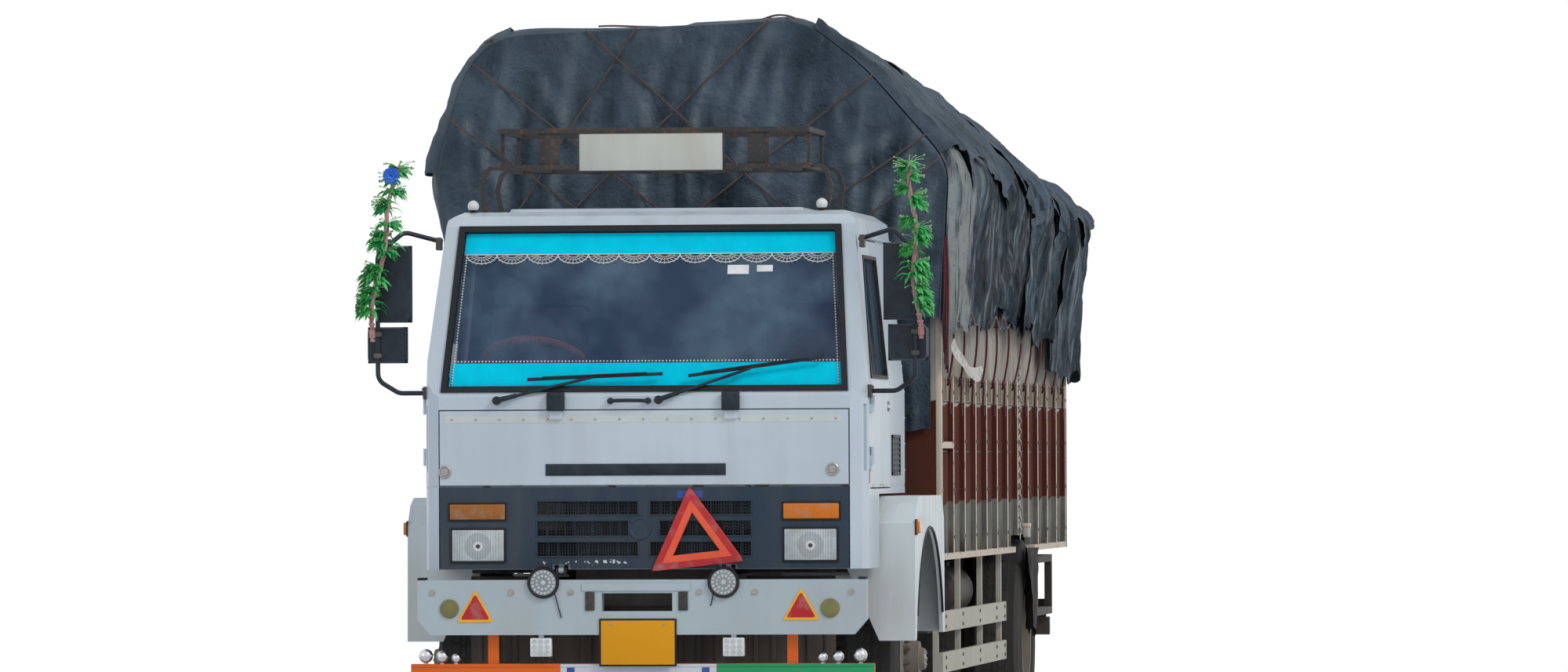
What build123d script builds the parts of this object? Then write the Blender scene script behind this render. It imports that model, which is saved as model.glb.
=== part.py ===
"""Two-axle cab-over lorry with a slatted load body, a lashed cover and roadside decoration.

Millimetres. The lorry faces -Y, +X is its own left side and +Z is up. The origin lies on the
ground under the middle of the lorry.
"""

import os
from math import asin, atan2, cos, degrees, radians, sin, sqrt

from build123d import *

os.makedirs("parts", exist_ok=True)

# Whole lorry
overall_length = 9350
wheelbase = 5334
front_axle_back = 1400  # bumper face to front axle
front_y = -overall_length / 2
front_axle_y = front_y + front_axle_back
rear_axle_y = front_axle_y + wheelbase
running_gap = 0.05  # radial clearance of a pin or spindle in its bore
seat_gap = 0.3  # gap between soft or curved faces that meet

# Wheels
tyre_radius = 520
tyre_width = 270
tread_width = 204
tyre_bulge_radius = 378  # radius at which the wall is widest
shoulder_width = 246
shoulder_radius = 482
bead_half_width = 112
bead_relief = 2  # draws the tyre's foot in from the rim's lip
rim_radius = 255
rim_wall = 11
rim_lip = 13
lip_thickness = 10
hub_z = tyre_radius
front_wheel_x = 965
twin_centre_x = 900
twin_half_spacing = 155
stub_radius = 40
spindle_radius = 50

# Chassis frame
rail_top_z = 940
rail_height = 250
rail_outer_x = 430
rail_flange = 75
rail_wall = 9
rail_front_back = 120
rail_rear_back = 9200
crossmember_height = 105
crossmember_length = 60
rail_bottom_z = rail_top_z - rail_height

# Front axle and steering
kingpin_x = 800
kingpin_radius = 25
eye_radius = 48
eye_height = 110
beam_depth = 80
beam_height = 80
beam_drop = 70
ear_thickness = 26
ear_gap = 2
tie_arm_length = 165
tie_pin_radius = 12
tie_rod_radius = 14

# Leaf springs
front_spring_x = 392
rear_spring_x = 510
spring_pin_radius = 14
hanger_plate = 8

# Cab
cab_front_back = 120
cab_rear_back = 1850
cab_half_width = 1040
cab_roof_half_width = 960
cab_bottom_z = 965
cab_rear_bottom_z = 1310
cab_nose_back = 680  # rear edge of the deep front part
belt_z = 1788
screen_foot = (136, 1790)  # back, z where the windscreen slope starts
screen_head = (386, 2570)  # back, z where it ends
roof_z = 2640
cab_wall = 45
cab_face_half_width = 964
cab_floor_thickness = 40
tilt_pivot_y = front_y + 150
tilt_pivot_z = 962
tilt_pin_radius = 10
lug_x = 392

# Load body
body_front_back = 2250
body_rear_back = 9300
body_half_width = 1150
sill_z = 980
floor_z = 1115
floor_depth = 40
wall_thickness = 30
wall_top_z = 2250
post_depth = 26
post_width = 42
post_top_z = 1880
tailboard_height = 850
cover_wall = 20
cover_hem_z = 2150


def back(distance):
    """Y of a place that lies this far behind the bumper face."""
    return front_y + distance


def facing(y):
    """Upright cross plane at y: sketch x is X, sketch y is Z, and extrusion goes forwards."""
    return Plane.XZ.offset(-y)


def slab(low, high, mode=Mode.ADD):
    """Box between two opposite corners, in the open part."""
    sizes = [high[i] - low[i] for i in range(3)]
    with Locations(tuple((low[i] + high[i]) / 2 for i in range(3))):
        Box(*sizes, mode=mode)


def rod(start, end, radius, mode=Mode.ADD):
    """Round bar from start to end, in the open part."""
    start, end = Vector(*start), Vector(*end)
    along = end - start
    with BuildSketch(Plane(origin=start, z_dir=along)) as disc:
        Circle(radius)
    extrude(disc.sketch, amount=along.length, mode=mode)


def tube_along(points, bend, radius, closed=False):
    """Bent round tube along points, in the open part: a bar for each run, a turned bend for each arc."""
    with BuildLine() as route:
        FilletPolyline(*points, radius=bend, close=closed)
    for edge in route.line.edges():
        if edge.geom_type == GeomType.LINE:
            rod(edge @ 0, edge @ 1, radius)
        else:
            with BuildSketch(Plane(origin=edge @ 0, z_dir=edge % 0)) as disc:
                Circle(radius)
            turn_axis = Axis(edge.arc_center, (edge % 0).cross(edge % 1))
            revolve(disc.sketch, axis=turn_axis, revolution_arc=degrees(edge.length / edge.radius))


def prism(plane, points, amount, mode=Mode.ADD):
    """Straight-sided outline on a plane, pushed out by amount, in the open part."""
    with BuildSketch(plane) as outline:
        with BuildLine():
            Polyline(*points, close=True)
        make_face()
    extrude(outline.sketch, amount=amount, mode=mode)


def wheel_plane(side, x, y):
    """Half-section plane of a wheel: sketch x points outwards, sketch y is the radius."""
    return Plane(origin=(side * x, y, hub_z), x_dir=(side, 0, 0), z_dir=(0, -side, 0))


def turned(plane, outlines, mode=Mode.ADD):
    """Closed outlines of (outwards, radius) points turned about the wheel's axis."""
    with BuildSketch(plane) as section:
        for outline in outlines:
            with BuildLine():
                Polyline(*outline, close=True)
            make_face()
    revolve(section.sketch, axis=Axis(plane.origin, plane.x_dir), mode=mode)


# Chassis frame: two channel rails, cross members and the spring hangers
front_spring = {"x": front_spring_x, "half_length": 700, "camber": 62, "leaf": 10, "count": 6,
                "step": 105, "width": 58, "seat_z": 500}
rear_spring = {"x": rear_spring_x, "half_length": 760, "camber": 70, "leaf": 12, "count": 8,
               "step": 88, "width": 76, "seat_z": 605}
for spring, axle in ((front_spring, front_axle_y), (rear_spring, rear_axle_y)):
    spring["y"] = axle
    spring["top_z"] = spring["seat_z"] + spring["leaf"] * spring["count"]
    spring["eye_z"] = spring["top_z"] + spring["camber"] - spring["leaf"] / 2
crossmember_backs = (200, 2400, 3600, 4800, 6000, 7500, 8300, 9150)

with BuildPart() as chassis_frame:
    inner = rail_outer_x - rail_wall
    lip = rail_outer_x - rail_flange
    prism(facing(back(rail_front_back)),
          [(rail_outer_x, rail_bottom_z), (rail_outer_x, rail_top_z), (lip, rail_top_z),
           (lip, rail_top_z - rail_wall), (inner, rail_top_z - rail_wall),
           (inner, rail_bottom_z + rail_wall), (lip, rail_bottom_z + rail_wall), (lip, rail_bottom_z)],
          rail_front_back - rail_rear_back)
    for spring in (front_spring, rear_spring):
        for end in (-1, 1):
            eye_y = spring["y"] + end * spring["half_length"]
            half = spring["width"] / 2 + 1
            for inside in (spring["x"] - half - hanger_plate, spring["x"] + half):
                slab((inside, eye_y - 38, spring["eye_z"] - 36),
                     (inside + hanger_plate, eye_y + 38, spring["eye_z"] + 40))
            slab((spring["x"] - half - hanger_plate, eye_y - 38, spring["eye_z"] + 40),
                 (spring["x"] + half + hanger_plate, eye_y + 38, spring["eye_z"] + 52))
            rod((spring["x"] - half - hanger_plate, eye_y, spring["eye_z"]),
                (spring["x"] + half + hanger_plate, eye_y, spring["eye_z"]),
                spring_pin_radius - running_gap)
    for end in (-1, 1):
        eye_y = rear_axle_y + end * rear_spring["half_length"]
        slab((rail_outer_x, eye_y - 38, rear_spring["eye_z"] - 36),
             (rear_spring_x - rear_spring["width"] / 2 - 1, eye_y + 38, rear_spring["eye_z"] + 52))
        front_eye_y = front_axle_y + end * front_spring["half_length"]
        slab((front_spring_x - 30, front_eye_y - 30, front_spring["eye_z"] + 52),
             (front_spring_x + 30, front_eye_y + 30, rail_bottom_z))
    for fork_x in (lug_x - 26, lug_x + 14):
        slab((fork_x, tilt_pivot_y - 16, rail_top_z - 2), (fork_x + 12, tilt_pivot_y + 16, tilt_pivot_z))
        rod((fork_x, tilt_pivot_y, tilt_pivot_z), (fork_x + 12, tilt_pivot_y, tilt_pivot_z), 16)
    rod((lug_x - 20, tilt_pivot_y, tilt_pivot_z), (lug_x + 20, tilt_pivot_y, tilt_pivot_z), tilt_pin_radius)
    mirror(about=Plane.YZ)
    for distance in crossmember_backs:
        slab((-inner, back(distance) - crossmember_length / 2, rail_top_z - 40 - crossmember_height),
             (inner, back(distance) + crossmember_length / 2, rail_top_z - 40))
chassis_frame.part.label = "chassis_frame"
export_step(chassis_frame.part, "parts/chassis_frame.step")

# Leaf springs: stacked arcs that shorten downwards, with an eye at each end of the main leaf


def leaf_stack(spring):
    """One semi-elliptic spring on the +X side, in the open part."""
    radius = (spring["half_length"] ** 2 + spring["camber"] ** 2) / (2 * spring["camber"])
    centre_z = spring["top_z"] + radius
    side_x = spring["x"] - spring["width"] / 2
    with BuildSketch(Plane.YZ.offset(side_x)) as stack:
        for number in range(spring["count"]):
            upper = radius + number * spring["leaf"]
            lower = upper + spring["leaf"]
            reach = asin((spring["half_length"] - 22 - number * spring["step"]) / radius)
            corners = [(spring["y"] + r * sin(a), centre_z - r * cos(a))
                       for r, a in ((upper, -reach), (upper, 0), (upper, reach),
                                    (lower, reach), (lower, 0), (lower, -reach))]
            with BuildLine():
                ThreePointArc(*corners[0:3])
                Line(corners[2], corners[3])
                ThreePointArc(*corners[3:6])
                Line(corners[5], corners[0])
            make_face()
    extrude(stack.sketch, amount=spring["width"])
    for end in (-1, 1):
        eye_y = spring["y"] + end * spring["half_length"]
        rod((side_x, eye_y, spring["eye_z"]), (side_x + spring["width"], eye_y, spring["eye_z"]), 30)
        rod((side_x, eye_y, spring["eye_z"]), (side_x + spring["width"], eye_y, spring["eye_z"]),
            spring_pin_radius, Mode.SUBTRACT)


with BuildPart() as leaf_springs:
    leaf_stack(front_spring)
    leaf_stack(rear_spring)
    mirror(about=Plane.YZ)
leaf_springs.part.label = "leaf_springs"
export_step(leaf_springs.part, "parts/leaf_springs.step")

# Front axle: forged drop beam with an eye for each kingpin
beam_end_top_z = hub_z + beam_height / 2
beam_mid_top_z = beam_end_top_z - beam_drop
eye_low_z = hub_z - eye_height / 2
eye_high_z = hub_z + eye_height / 2
with BuildPart() as front_axle:
    half_outline = [(0, beam_mid_top_z), (520, beam_mid_top_z), (650, beam_end_top_z),
                    (kingpin_x - 20, beam_end_top_z), (kingpin_x - 20, beam_end_top_z - beam_height),
                    (670, beam_end_top_z - beam_height), (540, beam_mid_top_z - beam_height),
                    (0, beam_mid_top_z - beam_height)]
    prism(facing(front_axle_y + beam_depth / 2), half_outline, beam_depth)
    flute = [(0, beam_mid_top_z - 18), (512, beam_mid_top_z - 18), (640, beam_end_top_z - 18),
             (700, beam_end_top_z - 18), (700, beam_end_top_z - beam_height + 18),
             (676, beam_end_top_z - beam_height + 18), (546, beam_mid_top_z - beam_height + 18),
             (0, beam_mid_top_z - beam_height + 18)]
    for face_y in (front_axle_y + beam_depth / 2, front_axle_y - beam_depth / 2 + 28):
        prism(facing(face_y), flute, 28, Mode.SUBTRACT)
    slab((front_spring_x - 45, front_axle_y - 60, beam_mid_top_z - 6),
         (front_spring_x + 45, front_axle_y + 60, front_spring["seat_z"]))
    rod((kingpin_x, front_axle_y, eye_low_z), (kingpin_x, front_axle_y, eye_high_z), eye_radius)
    rod((kingpin_x, front_axle_y, eye_low_z), (kingpin_x, front_axle_y, eye_high_z),
        kingpin_radius + running_gap, Mode.SUBTRACT)
    mirror(about=Plane.YZ)
front_axle.part.label = "front_axle"
export_step(front_axle.part, "parts/front_axle.step")

# Knuckles: a fork and kingpin, a stub axle and a straight arm back to the tie rod
knuckle_face_x = kingpin_x + eye_radius + ear_gap
knuckle_back_x = knuckle_face_x + 35
ear_low_z = eye_low_z - ear_gap - ear_thickness
ear_high_z = eye_high_z + ear_gap + ear_thickness
stub_end_x = front_wheel_x + 148
arm_top_z = ear_low_z + 16
tie_pin_top_z = arm_top_z + 44
for side, name in ((1, "knuckle_left"), (-1, "knuckle_right")):
    with BuildPart() as knuckle:
        rod((side * kingpin_x, front_axle_y, ear_low_z), (side * kingpin_x, front_axle_y, ear_high_z),
            kingpin_radius)
        for ear_z in (ear_low_z, ear_high_z - ear_thickness):
            rod((side * kingpin_x, front_axle_y, ear_z),
                (side * kingpin_x, front_axle_y, ear_z + ear_thickness), eye_radius - 4)
            prism(Plane.XY.offset(ear_z),
                  [(side * kingpin_x, front_axle_y - 44), (side * knuckle_back_x, front_axle_y - 44),
                   (side * knuckle_back_x, front_axle_y + 44), (side * kingpin_x, front_axle_y + 44)],
                  ear_thickness)
        prism(Plane.XY.offset(ear_low_z),
              [(side * knuckle_face_x, front_axle_y - 44), (side * knuckle_back_x, front_axle_y - 44),
               (side * knuckle_back_x, front_axle_y + 44), (side * knuckle_face_x, front_axle_y + 44)],
              ear_high_z - ear_low_z)
        rod((side * knuckle_back_x, front_axle_y, hub_z), (side * stub_end_x, front_axle_y, hub_z),
            stub_radius)
        prism(Plane.XY.offset(ear_low_z),
              [(side * kingpin_x - 20, front_axle_y), (side * kingpin_x + 20, front_axle_y),
               (side * kingpin_x + 20, front_axle_y + tie_arm_length + 18),
               (side * kingpin_x - 20, front_axle_y + tie_arm_length + 18)], arm_top_z - ear_low_z)
        rod((side * kingpin_x, front_axle_y + tie_arm_length, arm_top_z),
            (side * kingpin_x, front_axle_y + tie_arm_length, tie_pin_top_z), tie_pin_radius)
    knuckle.part.label = name
    export_step(knuckle.part, f"parts/{name}.step")

# Tie rod: stays square to the lorry while both arms turn; its right eye is the open pivot
tie_eye_low_z = arm_top_z + 6
tie_eye_high_z = tie_pin_top_z - 6
tie_z = (tie_eye_low_z + tie_eye_high_z) / 2
with BuildPart() as tie_rod:
    rod((-kingpin_x + 20, front_axle_y + tie_arm_length, tie_z),
        (kingpin_x - 20, front_axle_y + tie_arm_length, tie_z), tie_rod_radius)
    for side, clearance in ((1, running_gap), (-1, 2)):
        rod((side * kingpin_x, front_axle_y + tie_arm_length, tie_eye_low_z),
            (side * kingpin_x, front_axle_y + tie_arm_length, tie_eye_high_z), 26)
        rod((side * kingpin_x, front_axle_y + tie_arm_length, tie_eye_low_z),
            (side * kingpin_x, front_axle_y + tie_arm_length, tie_eye_high_z),
            tie_pin_radius + clearance, Mode.SUBTRACT)
tie_rod.part.label = "tie_rod"
export_step(tie_rod.part, "parts/tie_rod.step")

# Rear axle: banjo housing, tapered arms, spring seats and wheel spindles
pinion_reach = 330
pinion_z = hub_z + 30
housing_end_x = twin_centre_x - 300
spindle_end_x = twin_centre_x + 195
housing_steps = ((90, 200), (210, 95), (housing_end_x, 72), (housing_end_x, spindle_radius),
                 (spindle_end_x, spindle_radius))  # x from the middle, radius
with BuildPart() as rear_axle:
    turned(wheel_plane(1, 0, rear_axle_y),
           [[(-spindle_end_x, 0), *[(-x, r) for x, r in reversed(housing_steps)], *housing_steps,
             (spindle_end_x, 0)]])
    for x in (-rear_spring_x, rear_spring_x):
        slab((x - 45, rear_axle_y - 70, hub_z + 40), (x + 45, rear_axle_y + 70, rear_spring["seat_z"]))
    rod((0, rear_axle_y - pinion_reach, pinion_z), (0, rear_axle_y - 110, pinion_z), 82)
rear_axle.part.label = "rear_axle"
export_step(rear_axle.part, "parts/rear_axle.step")

# Engine, gearbox and radiator as plain blocks, with the silencer beside them
engine_front_back = 480
engine_rear_back = 1560
gearbox_rear_back = 2250
with BuildPart() as engine:
    slab((-310, back(engine_front_back), 640), (310, back(engine_rear_back), 1420))
    slab((-190, back(engine_rear_back), 660), (190, back(gearbox_rear_back), 960))
    slab((-345, back(300), 720), (345, back(380), 1290))
    for z in (760, 1240):
        slab((-300, back(380), z), (300, back(engine_front_back), z + 30))
    rod((-560, back(2300), 600), (-560, back(3000), 600), 110)
    slab((-rail_outer_x - 90, back(2560), 700), (-rail_outer_x, back(2620), 720))
    slab((-rail_outer_x - 20, back(2560), 700), (-rail_outer_x, back(2620), 820))
engine.part.label = "engine"
export_step(engine.part, "parts/engine.step")

# Propeller shaft from the gearbox to the rear axle
with BuildPart() as propshaft:
    pinion = (0, rear_axle_y - pinion_reach, pinion_z)
    output = (0, back(gearbox_rear_back), 700)
    rod((0, output[1] + 30, output[2]), (0, pinion[1] - 30, pinion[2]), 52)
    for place, step in ((output, 1), (pinion, -1)):
        rod(place, (0, place[1] + step * 35, place[2]), 70)
propshaft.part.label = "propshaft"
export_step(propshaft.part, "parts/propshaft.step")

# Wheels: tyres and rims are turned about the wheel's own axis


def tyre(plane):
    """One tyre, with walls that bulge past the beads and a flat tread, in the open part."""
    half = [(bead_half_width - bead_relief, rim_radius), (tyre_width / 2, tyre_bulge_radius),
            (shoulder_width / 2, shoulder_radius), (tread_width / 2, tyre_radius)]
    turned(plane, [[*half, *[(-out, radius) for out, radius in reversed(half)]]])


def barrel(centre):
    """Outline of one rim barrel with its two lips, about centre."""
    inner_radius = rim_radius - seat_gap - rim_wall
    seat_radius = rim_radius - seat_gap
    lip_radius = rim_radius + rim_lip
    edge = bead_half_width + 2
    end = edge + lip_thickness
    return [(centre - end, inner_radius), (centre - end, lip_radius), (centre - edge, lip_radius),
            (centre - edge, seat_radius), (centre + edge, seat_radius), (centre + edge, lip_radius),
            (centre + end, lip_radius), (centre + end, inner_radius)]


def hand_hole_ring(plane, circle, radius, low, high):
    """Hand holes round the wheel's axis, cut from low to high along it, in the open part."""
    with BuildSketch(Plane(origin=plane.origin + plane.x_dir * low, z_dir=plane.x_dir)) as holes:
        with PolarLocations(circle, hand_holes):
            Circle(radius)
    extrude(holes.sketch, amount=high - low, mode=Mode.SUBTRACT)


disc_radius = rim_radius - seat_gap - rim_wall
hand_holes = 10
front_hole_circle = 205
rear_hole_circle = 160
hole_radius = 22
front_disc = [(84, disc_radius), (100, disc_radius), (112, 170), (122, 130), (122, 92), (150, 88),
              (190, 84), (190, 56), (215, 50), (215, 0), (152, 0), (152, stub_radius + running_gap),
              (-60, stub_radius + running_gap), (-60, 85), (80, 95), (104, 130), (96, 170)]
front_drum = [(-75, 186), (-75, 204), (44, 204), (44, 86), (30, 86), (30, 186)]
rear_disc = [(-48, disc_radius), (48, disc_radius), (12, 205), (12, 100), (70, 96), (150, 90),
             (190, 84), (190, 60), (235, 54), (235, 0), (200, 0), (200, spindle_radius + running_gap),
             (-190, spindle_radius + running_gap), (-190, 96), (-12, 100), (-12, 205)]
rear_drum = [(-285, 190), (-285, 208), (-60, 208), (-60, 92), (-74, 92), (-74, 190)]
for side, name in ((1, "left"), (-1, "right")):
    front_plane = wheel_plane(side, front_wheel_x, front_axle_y)
    with BuildPart() as tyre_front:
        tyre(front_plane)
    tyre_front.part.label = f"tyre_front_{name}"
    export_step(tyre_front.part, f"parts/tyre_front_{name}.step")
    with BuildPart() as rim_front:
        turned(front_plane, [barrel(0), front_disc, front_drum])
        hand_hole_ring(front_plane, front_hole_circle, hole_radius, 60, 130)
    rim_front.part.label = f"rim_front_{name}"
    export_step(rim_front.part, f"parts/rim_front_{name}.step")
    with BuildPart() as tyres_rear:
        for shift in (-twin_half_spacing, twin_half_spacing):
            tyre(wheel_plane(side, twin_centre_x + shift, rear_axle_y))
    tyres_rear.part.label = f"tyres_rear_{name}"
    export_step(tyres_rear.part, f"parts/tyres_rear_{name}.step")
    with BuildPart() as rims_rear:
        rear_plane = wheel_plane(side, twin_centre_x, rear_axle_y)
        turned(rear_plane, [barrel(-twin_half_spacing), barrel(twin_half_spacing), rear_disc, rear_drum])
        hand_hole_ring(rear_plane, rear_hole_circle, hole_radius, -30, 30)
    rims_rear.part.label = f"rims_rear_{name}"
    export_step(rims_rear.part, f"parts/rims_rear_{name}.step")

# Bumper: deep beam with cut lower corners, a tow slot and its brackets to the rails
bumper_half_width = 1050
bumper_low_z = 663
bumper_top_z = 918
bumper_face_back = 12
bumper_rear_back = 92
slot_centre_x = -20
step_plate = ((-276, 867), (229, 903))  # x, z of the raised plate's lower right and upper left corners
with BuildPart() as bumper:
    prism(facing(back(bumper_rear_back)),
          [(-bumper_half_width, bumper_top_z), (bumper_half_width, bumper_top_z),
           (bumper_half_width, bumper_low_z + 70), (bumper_half_width - 60, bumper_low_z),
           (-bumper_half_width + 60, bumper_low_z), (-bumper_half_width, bumper_low_z + 70)],
          bumper_rear_back - bumper_face_back)
    slab((slot_centre_x - 165, back(0), 772), (slot_centre_x + 165, back(bumper_rear_back) + 5, 856),
         Mode.SUBTRACT)
    slab((step_plate[0][0], back(bumper_face_back) - 6, step_plate[0][1]),
         (step_plate[1][0], back(bumper_face_back), step_plate[1][1]))
    for side in (-1, 1):
        low_x, high_x = sorted((side * (rail_outer_x - 60), side * rail_outer_x))
        slab((low_x, back(bumper_rear_back), rail_bottom_z + 20),
             (high_x, back(rail_front_back), rail_top_z - 60))
bumper.part.label = "bumper"
export_step(bumper.part, "parts/bumper.step")

# Painted board under the bumper, on two hangers
board_top_z = 529
board_low_z = 335
board_half_width = 1085
with BuildPart() as lower_board:
    slab((-board_half_width, back(40), board_low_z), (board_half_width, back(60), board_top_z))
    for x in (-700, 700):
        slab((x - 25, back(60), board_low_z), (x + 25, back(72), bumper_low_z))
lower_board.part.label = "lower_board"
export_step(lower_board.part, "parts/lower_board.step")

# Auxiliary lamps: two round ones on the bumper's top edge and two square ones below it
with BuildPart() as bumper_lamps:
    for x in (-458, 385):
        rod((x, back(0), bumper_top_z + 2), (x, back(44), bumper_top_z + 2), 72)
        slab((x - 100, back(-5), bumper_top_z - 100), (x + 100, back(60), bumper_top_z), Mode.SUBTRACT)
    for x in (-472, 429):
        slab((x - 50, back(14), 562), (x + 50, back(60), bumper_low_z - 14))
        slab((x - 12, back(30), bumper_low_z - 14), (x + 12, back(50), bumper_low_z))
bumper_lamps.part.label = "bumper_lamps"
export_step(bumper_lamps.part, "parts/bumper_lamps.step")

# Front fenders: folded sheet over the wheel with a cut arch in the outer skirt
fender_inner_x = 860
fender_outer_x = 1205
fender_wall = 18
fender_top_z = 1298
arch_radius = 625
bracket_half = 20
bracket_low_z = 900
bracket_plate = 25
fender_brackets = ((860, 1266), (1930, 1285))  # back, top z under the fender's sheet
fender_outline = [(back(700), 620), (back(716), 1170), (back(800), 1262), (back(900), fender_top_z),
                  (back(1960), fender_top_z), (back(2080), 1190), (back(2100), 640)]
with BuildPart() as fenders:
    with BuildSketch(Plane.YZ.offset(fender_inner_x)) as whole:
        with BuildLine():
            Polyline(*fender_outline, close=True)
        make_face()
    extrude(whole.sketch, amount=fender_outer_x - fender_inner_x)
    with BuildSketch(Plane.YZ.offset(fender_inner_x)) as hollow:
        with BuildLine():
            Polyline((back(700) + fender_wall, 600), (back(716) + fender_wall, 1170 - 8),
                     (back(800) + 8, 1262 - fender_wall), (back(900) + 4, fender_top_z - fender_wall),
                     (back(1960) - 8, fender_top_z - fender_wall), (back(2080) - fender_wall, 1190 - 8),
                     (back(2100) - fender_wall, 600), close=True)
        make_face()
    extrude(hollow.sketch, amount=fender_outer_x - fender_inner_x - fender_wall, mode=Mode.SUBTRACT)
    rod((fender_outer_x - fender_wall - 5, front_axle_y, hub_z),
        (fender_outer_x + 5, front_axle_y, hub_z), arch_radius, Mode.SUBTRACT)
    slab((fender_outer_x - fender_wall - 5, front_axle_y - arch_radius, hub_z - 100),
         (fender_outer_x + 5, front_axle_y + arch_radius, hub_z + 110), Mode.SUBTRACT)
    prism(facing(back(2150)), [(850, 560), (850, 1010), (fender_inner_x, 1010), (1040, 610), (1040, 560)],
          1500, Mode.SUBTRACT)
    for distance, top_z in fender_brackets:
        slab((rail_outer_x, back(distance) - bracket_half, bracket_low_z),
             (fender_inner_x + 60, back(distance) + bracket_half, bracket_low_z + bracket_plate))
        slab((fender_inner_x + 20, back(distance) - bracket_half, bracket_low_z),
             (fender_inner_x + 60, back(distance) + bracket_half, top_z))
    mirror(about=Plane.YZ)
fenders.part.label = "fenders"
export_step(fenders.part, "parts/fenders.step")

# Tanks and boxes on the rails
tank_x = -760
tank_z = 700
tank_width = 520
tank_height = 420
tank_corner = 80
tank_front_back = 3200
tank_length = 1100
strap_wall = 4
strap_width = 60
strap_backs = (3450, 4050)
with BuildPart() as fuel_tank:
    with BuildSketch(facing(back(tank_front_back + tank_length))) as tank_section:
        with Locations((tank_x, tank_z)):
            RectangleRounded(tank_width, tank_height, tank_corner)
    extrude(tank_section.sketch, amount=tank_length)
    for distance in strap_backs:
        with BuildSketch(facing(back(distance) + strap_width)) as strap_section:
            with Locations((tank_x, tank_z)):
                RectangleRounded(tank_width + 2 * strap_wall, tank_height + 2 * strap_wall,
                                 tank_corner + strap_wall)
        extrude(strap_section.sketch, amount=strap_width)
        slab((tank_x + tank_width / 2, back(distance), tank_z - 60),
             (-rail_outer_x, back(distance) + strap_width, tank_z + 200))
fuel_tank.part.label = "fuel_tank"
export_step(fuel_tank.part, "parts/fuel_tank.step")

air_x = 950
air_z = 800
air_radius = 122
air_front_back = 4000
air_length = 950
dome = 46  # length of each domed end
hanger_backs = (4150, 4750)
with BuildPart() as air_tank:
    tank_start = (air_x, back(air_front_back), air_z)
    with BuildSketch(Plane(origin=tank_start, x_dir=(0, 1, 0), z_dir=(1, 0, 0))) as half_section:
        with BuildLine():
            Polyline((0, 0), (0, 0.45 * air_radius), (0.3 * dome, 0.78 * air_radius), (dome, air_radius),
                     (air_length - dome, air_radius), (air_length - 0.3 * dome, 0.78 * air_radius),
                     (air_length, 0.45 * air_radius), (air_length, 0), close=True)
        make_face()
    revolve(half_section.sketch, axis=Axis(tank_start, (0, 1, 0)))
    for distance in hanger_backs:
        slab((rail_outer_x, back(distance), air_z + 105), (air_x + 50, back(distance) + 40, air_z + 125))
        slab((air_x - 20, back(distance), air_z + 100), (air_x + 20, back(distance) + 40, air_z + 110))
air_tank.part.label = "air_tank"
export_step(air_tank.part, "parts/air_tank.step")

box_inner_x = 560
box_outer_x = 1080
box_backs = (2500, 3050)
box_low_z = 620
box_top_z = 880
lid_overhang = 8
lid_height = 20
with BuildPart() as battery_box:
    slab((box_inner_x, back(box_backs[0]), box_low_z), (box_outer_x, back(box_backs[1]), box_top_z))
    slab((box_inner_x - lid_overhang, back(box_backs[0]) - lid_overhang, box_top_z - lid_height / 2),
         (box_outer_x + lid_overhang, back(box_backs[1]) + lid_overhang, box_top_z + lid_height / 2))
    for distance in (box_backs[0] + 60, box_backs[1] - 120):
        slab((rail_outer_x, back(distance), box_top_z - 120), (box_inner_x, back(distance) + 60, box_top_z - 60))
battery_box.part.label = "battery_box"
export_step(battery_box.part, "parts/battery_box.step")

# Side guards: two boards on posts that hang from the load floor, on both sides
guard_x = 1120
guard_boards = ((425, 523), (625, 725))  # low z, high z
guard_backs = (2600, 3700, 4850, 5950)
with BuildPart() as side_guards:
    for low_z, high_z in guard_boards:
        slab((guard_x, back(guard_backs[0]), low_z), (guard_x + 25, back(guard_backs[-1]), high_z))
    for distance in guard_backs:
        y = back(min(distance, guard_backs[-1] - 50))
        slab((guard_x - 25, y, guard_boards[0][0]), (guard_x, y + 50, sill_z))
    mirror(about=Plane.YZ)
side_guards.part.label = "side_guards"
export_step(side_guards.part, "parts/side_guards.step")

# Rear carrier: an open steel box under the overhang and the underrun bar, with two tail lamps
carrier_fronts = 7350
carrier_rears = 9200
carrier_low_z = 610
carrier_top_z = 940
angle = 40
with BuildPart() as rear_carrier:
    for x in (560, 1100 - angle):
        for z in (carrier_low_z, carrier_top_z - angle):
            slab((x, back(carrier_fronts), z), (x + angle, back(carrier_rears), z + angle))
        for distance in (carrier_fronts, (carrier_fronts + carrier_rears) / 2, carrier_rears - angle):
            slab((x, back(distance), carrier_low_z), (x + angle, back(distance) + angle, carrier_top_z))
    for distance in (carrier_fronts, (carrier_fronts + carrier_rears) / 2, carrier_rears - angle):
        for z in (carrier_low_z, carrier_top_z - angle):
            slab((560, back(distance), z), (1100, back(distance) + angle, z + angle))
        slab((rail_outer_x, back(distance), carrier_top_z - 3 * angle),
             (560, back(distance) + angle, carrier_top_z - angle))
    slab((-1080, back(9225), 490), (1080, back(9285), 590))
    for x in (-rail_outer_x, rail_outer_x - 60):
        slab((x, back(9150), 560), (x + 60, back(9225), rail_bottom_z))
        slab((x, back(9200), 490), (x + 60, back(9225), rail_bottom_z))
    for x in (-1060, 860):
        slab((x, back(9230), 590), (x + 200, back(9280), 690))
rear_carrier.part.label = "rear_carrier"
export_step(rear_carrier.part, "parts/rear_carrier.step")

with BuildPart() as mud_flaps:
    slab((650, back(7305), 330), (1130, back(7313), sill_z))
    mirror(about=Plane.YZ)
mud_flaps.part.label = "mud_flaps"
export_step(mud_flaps.part, "parts/mud_flaps.step")

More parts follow.
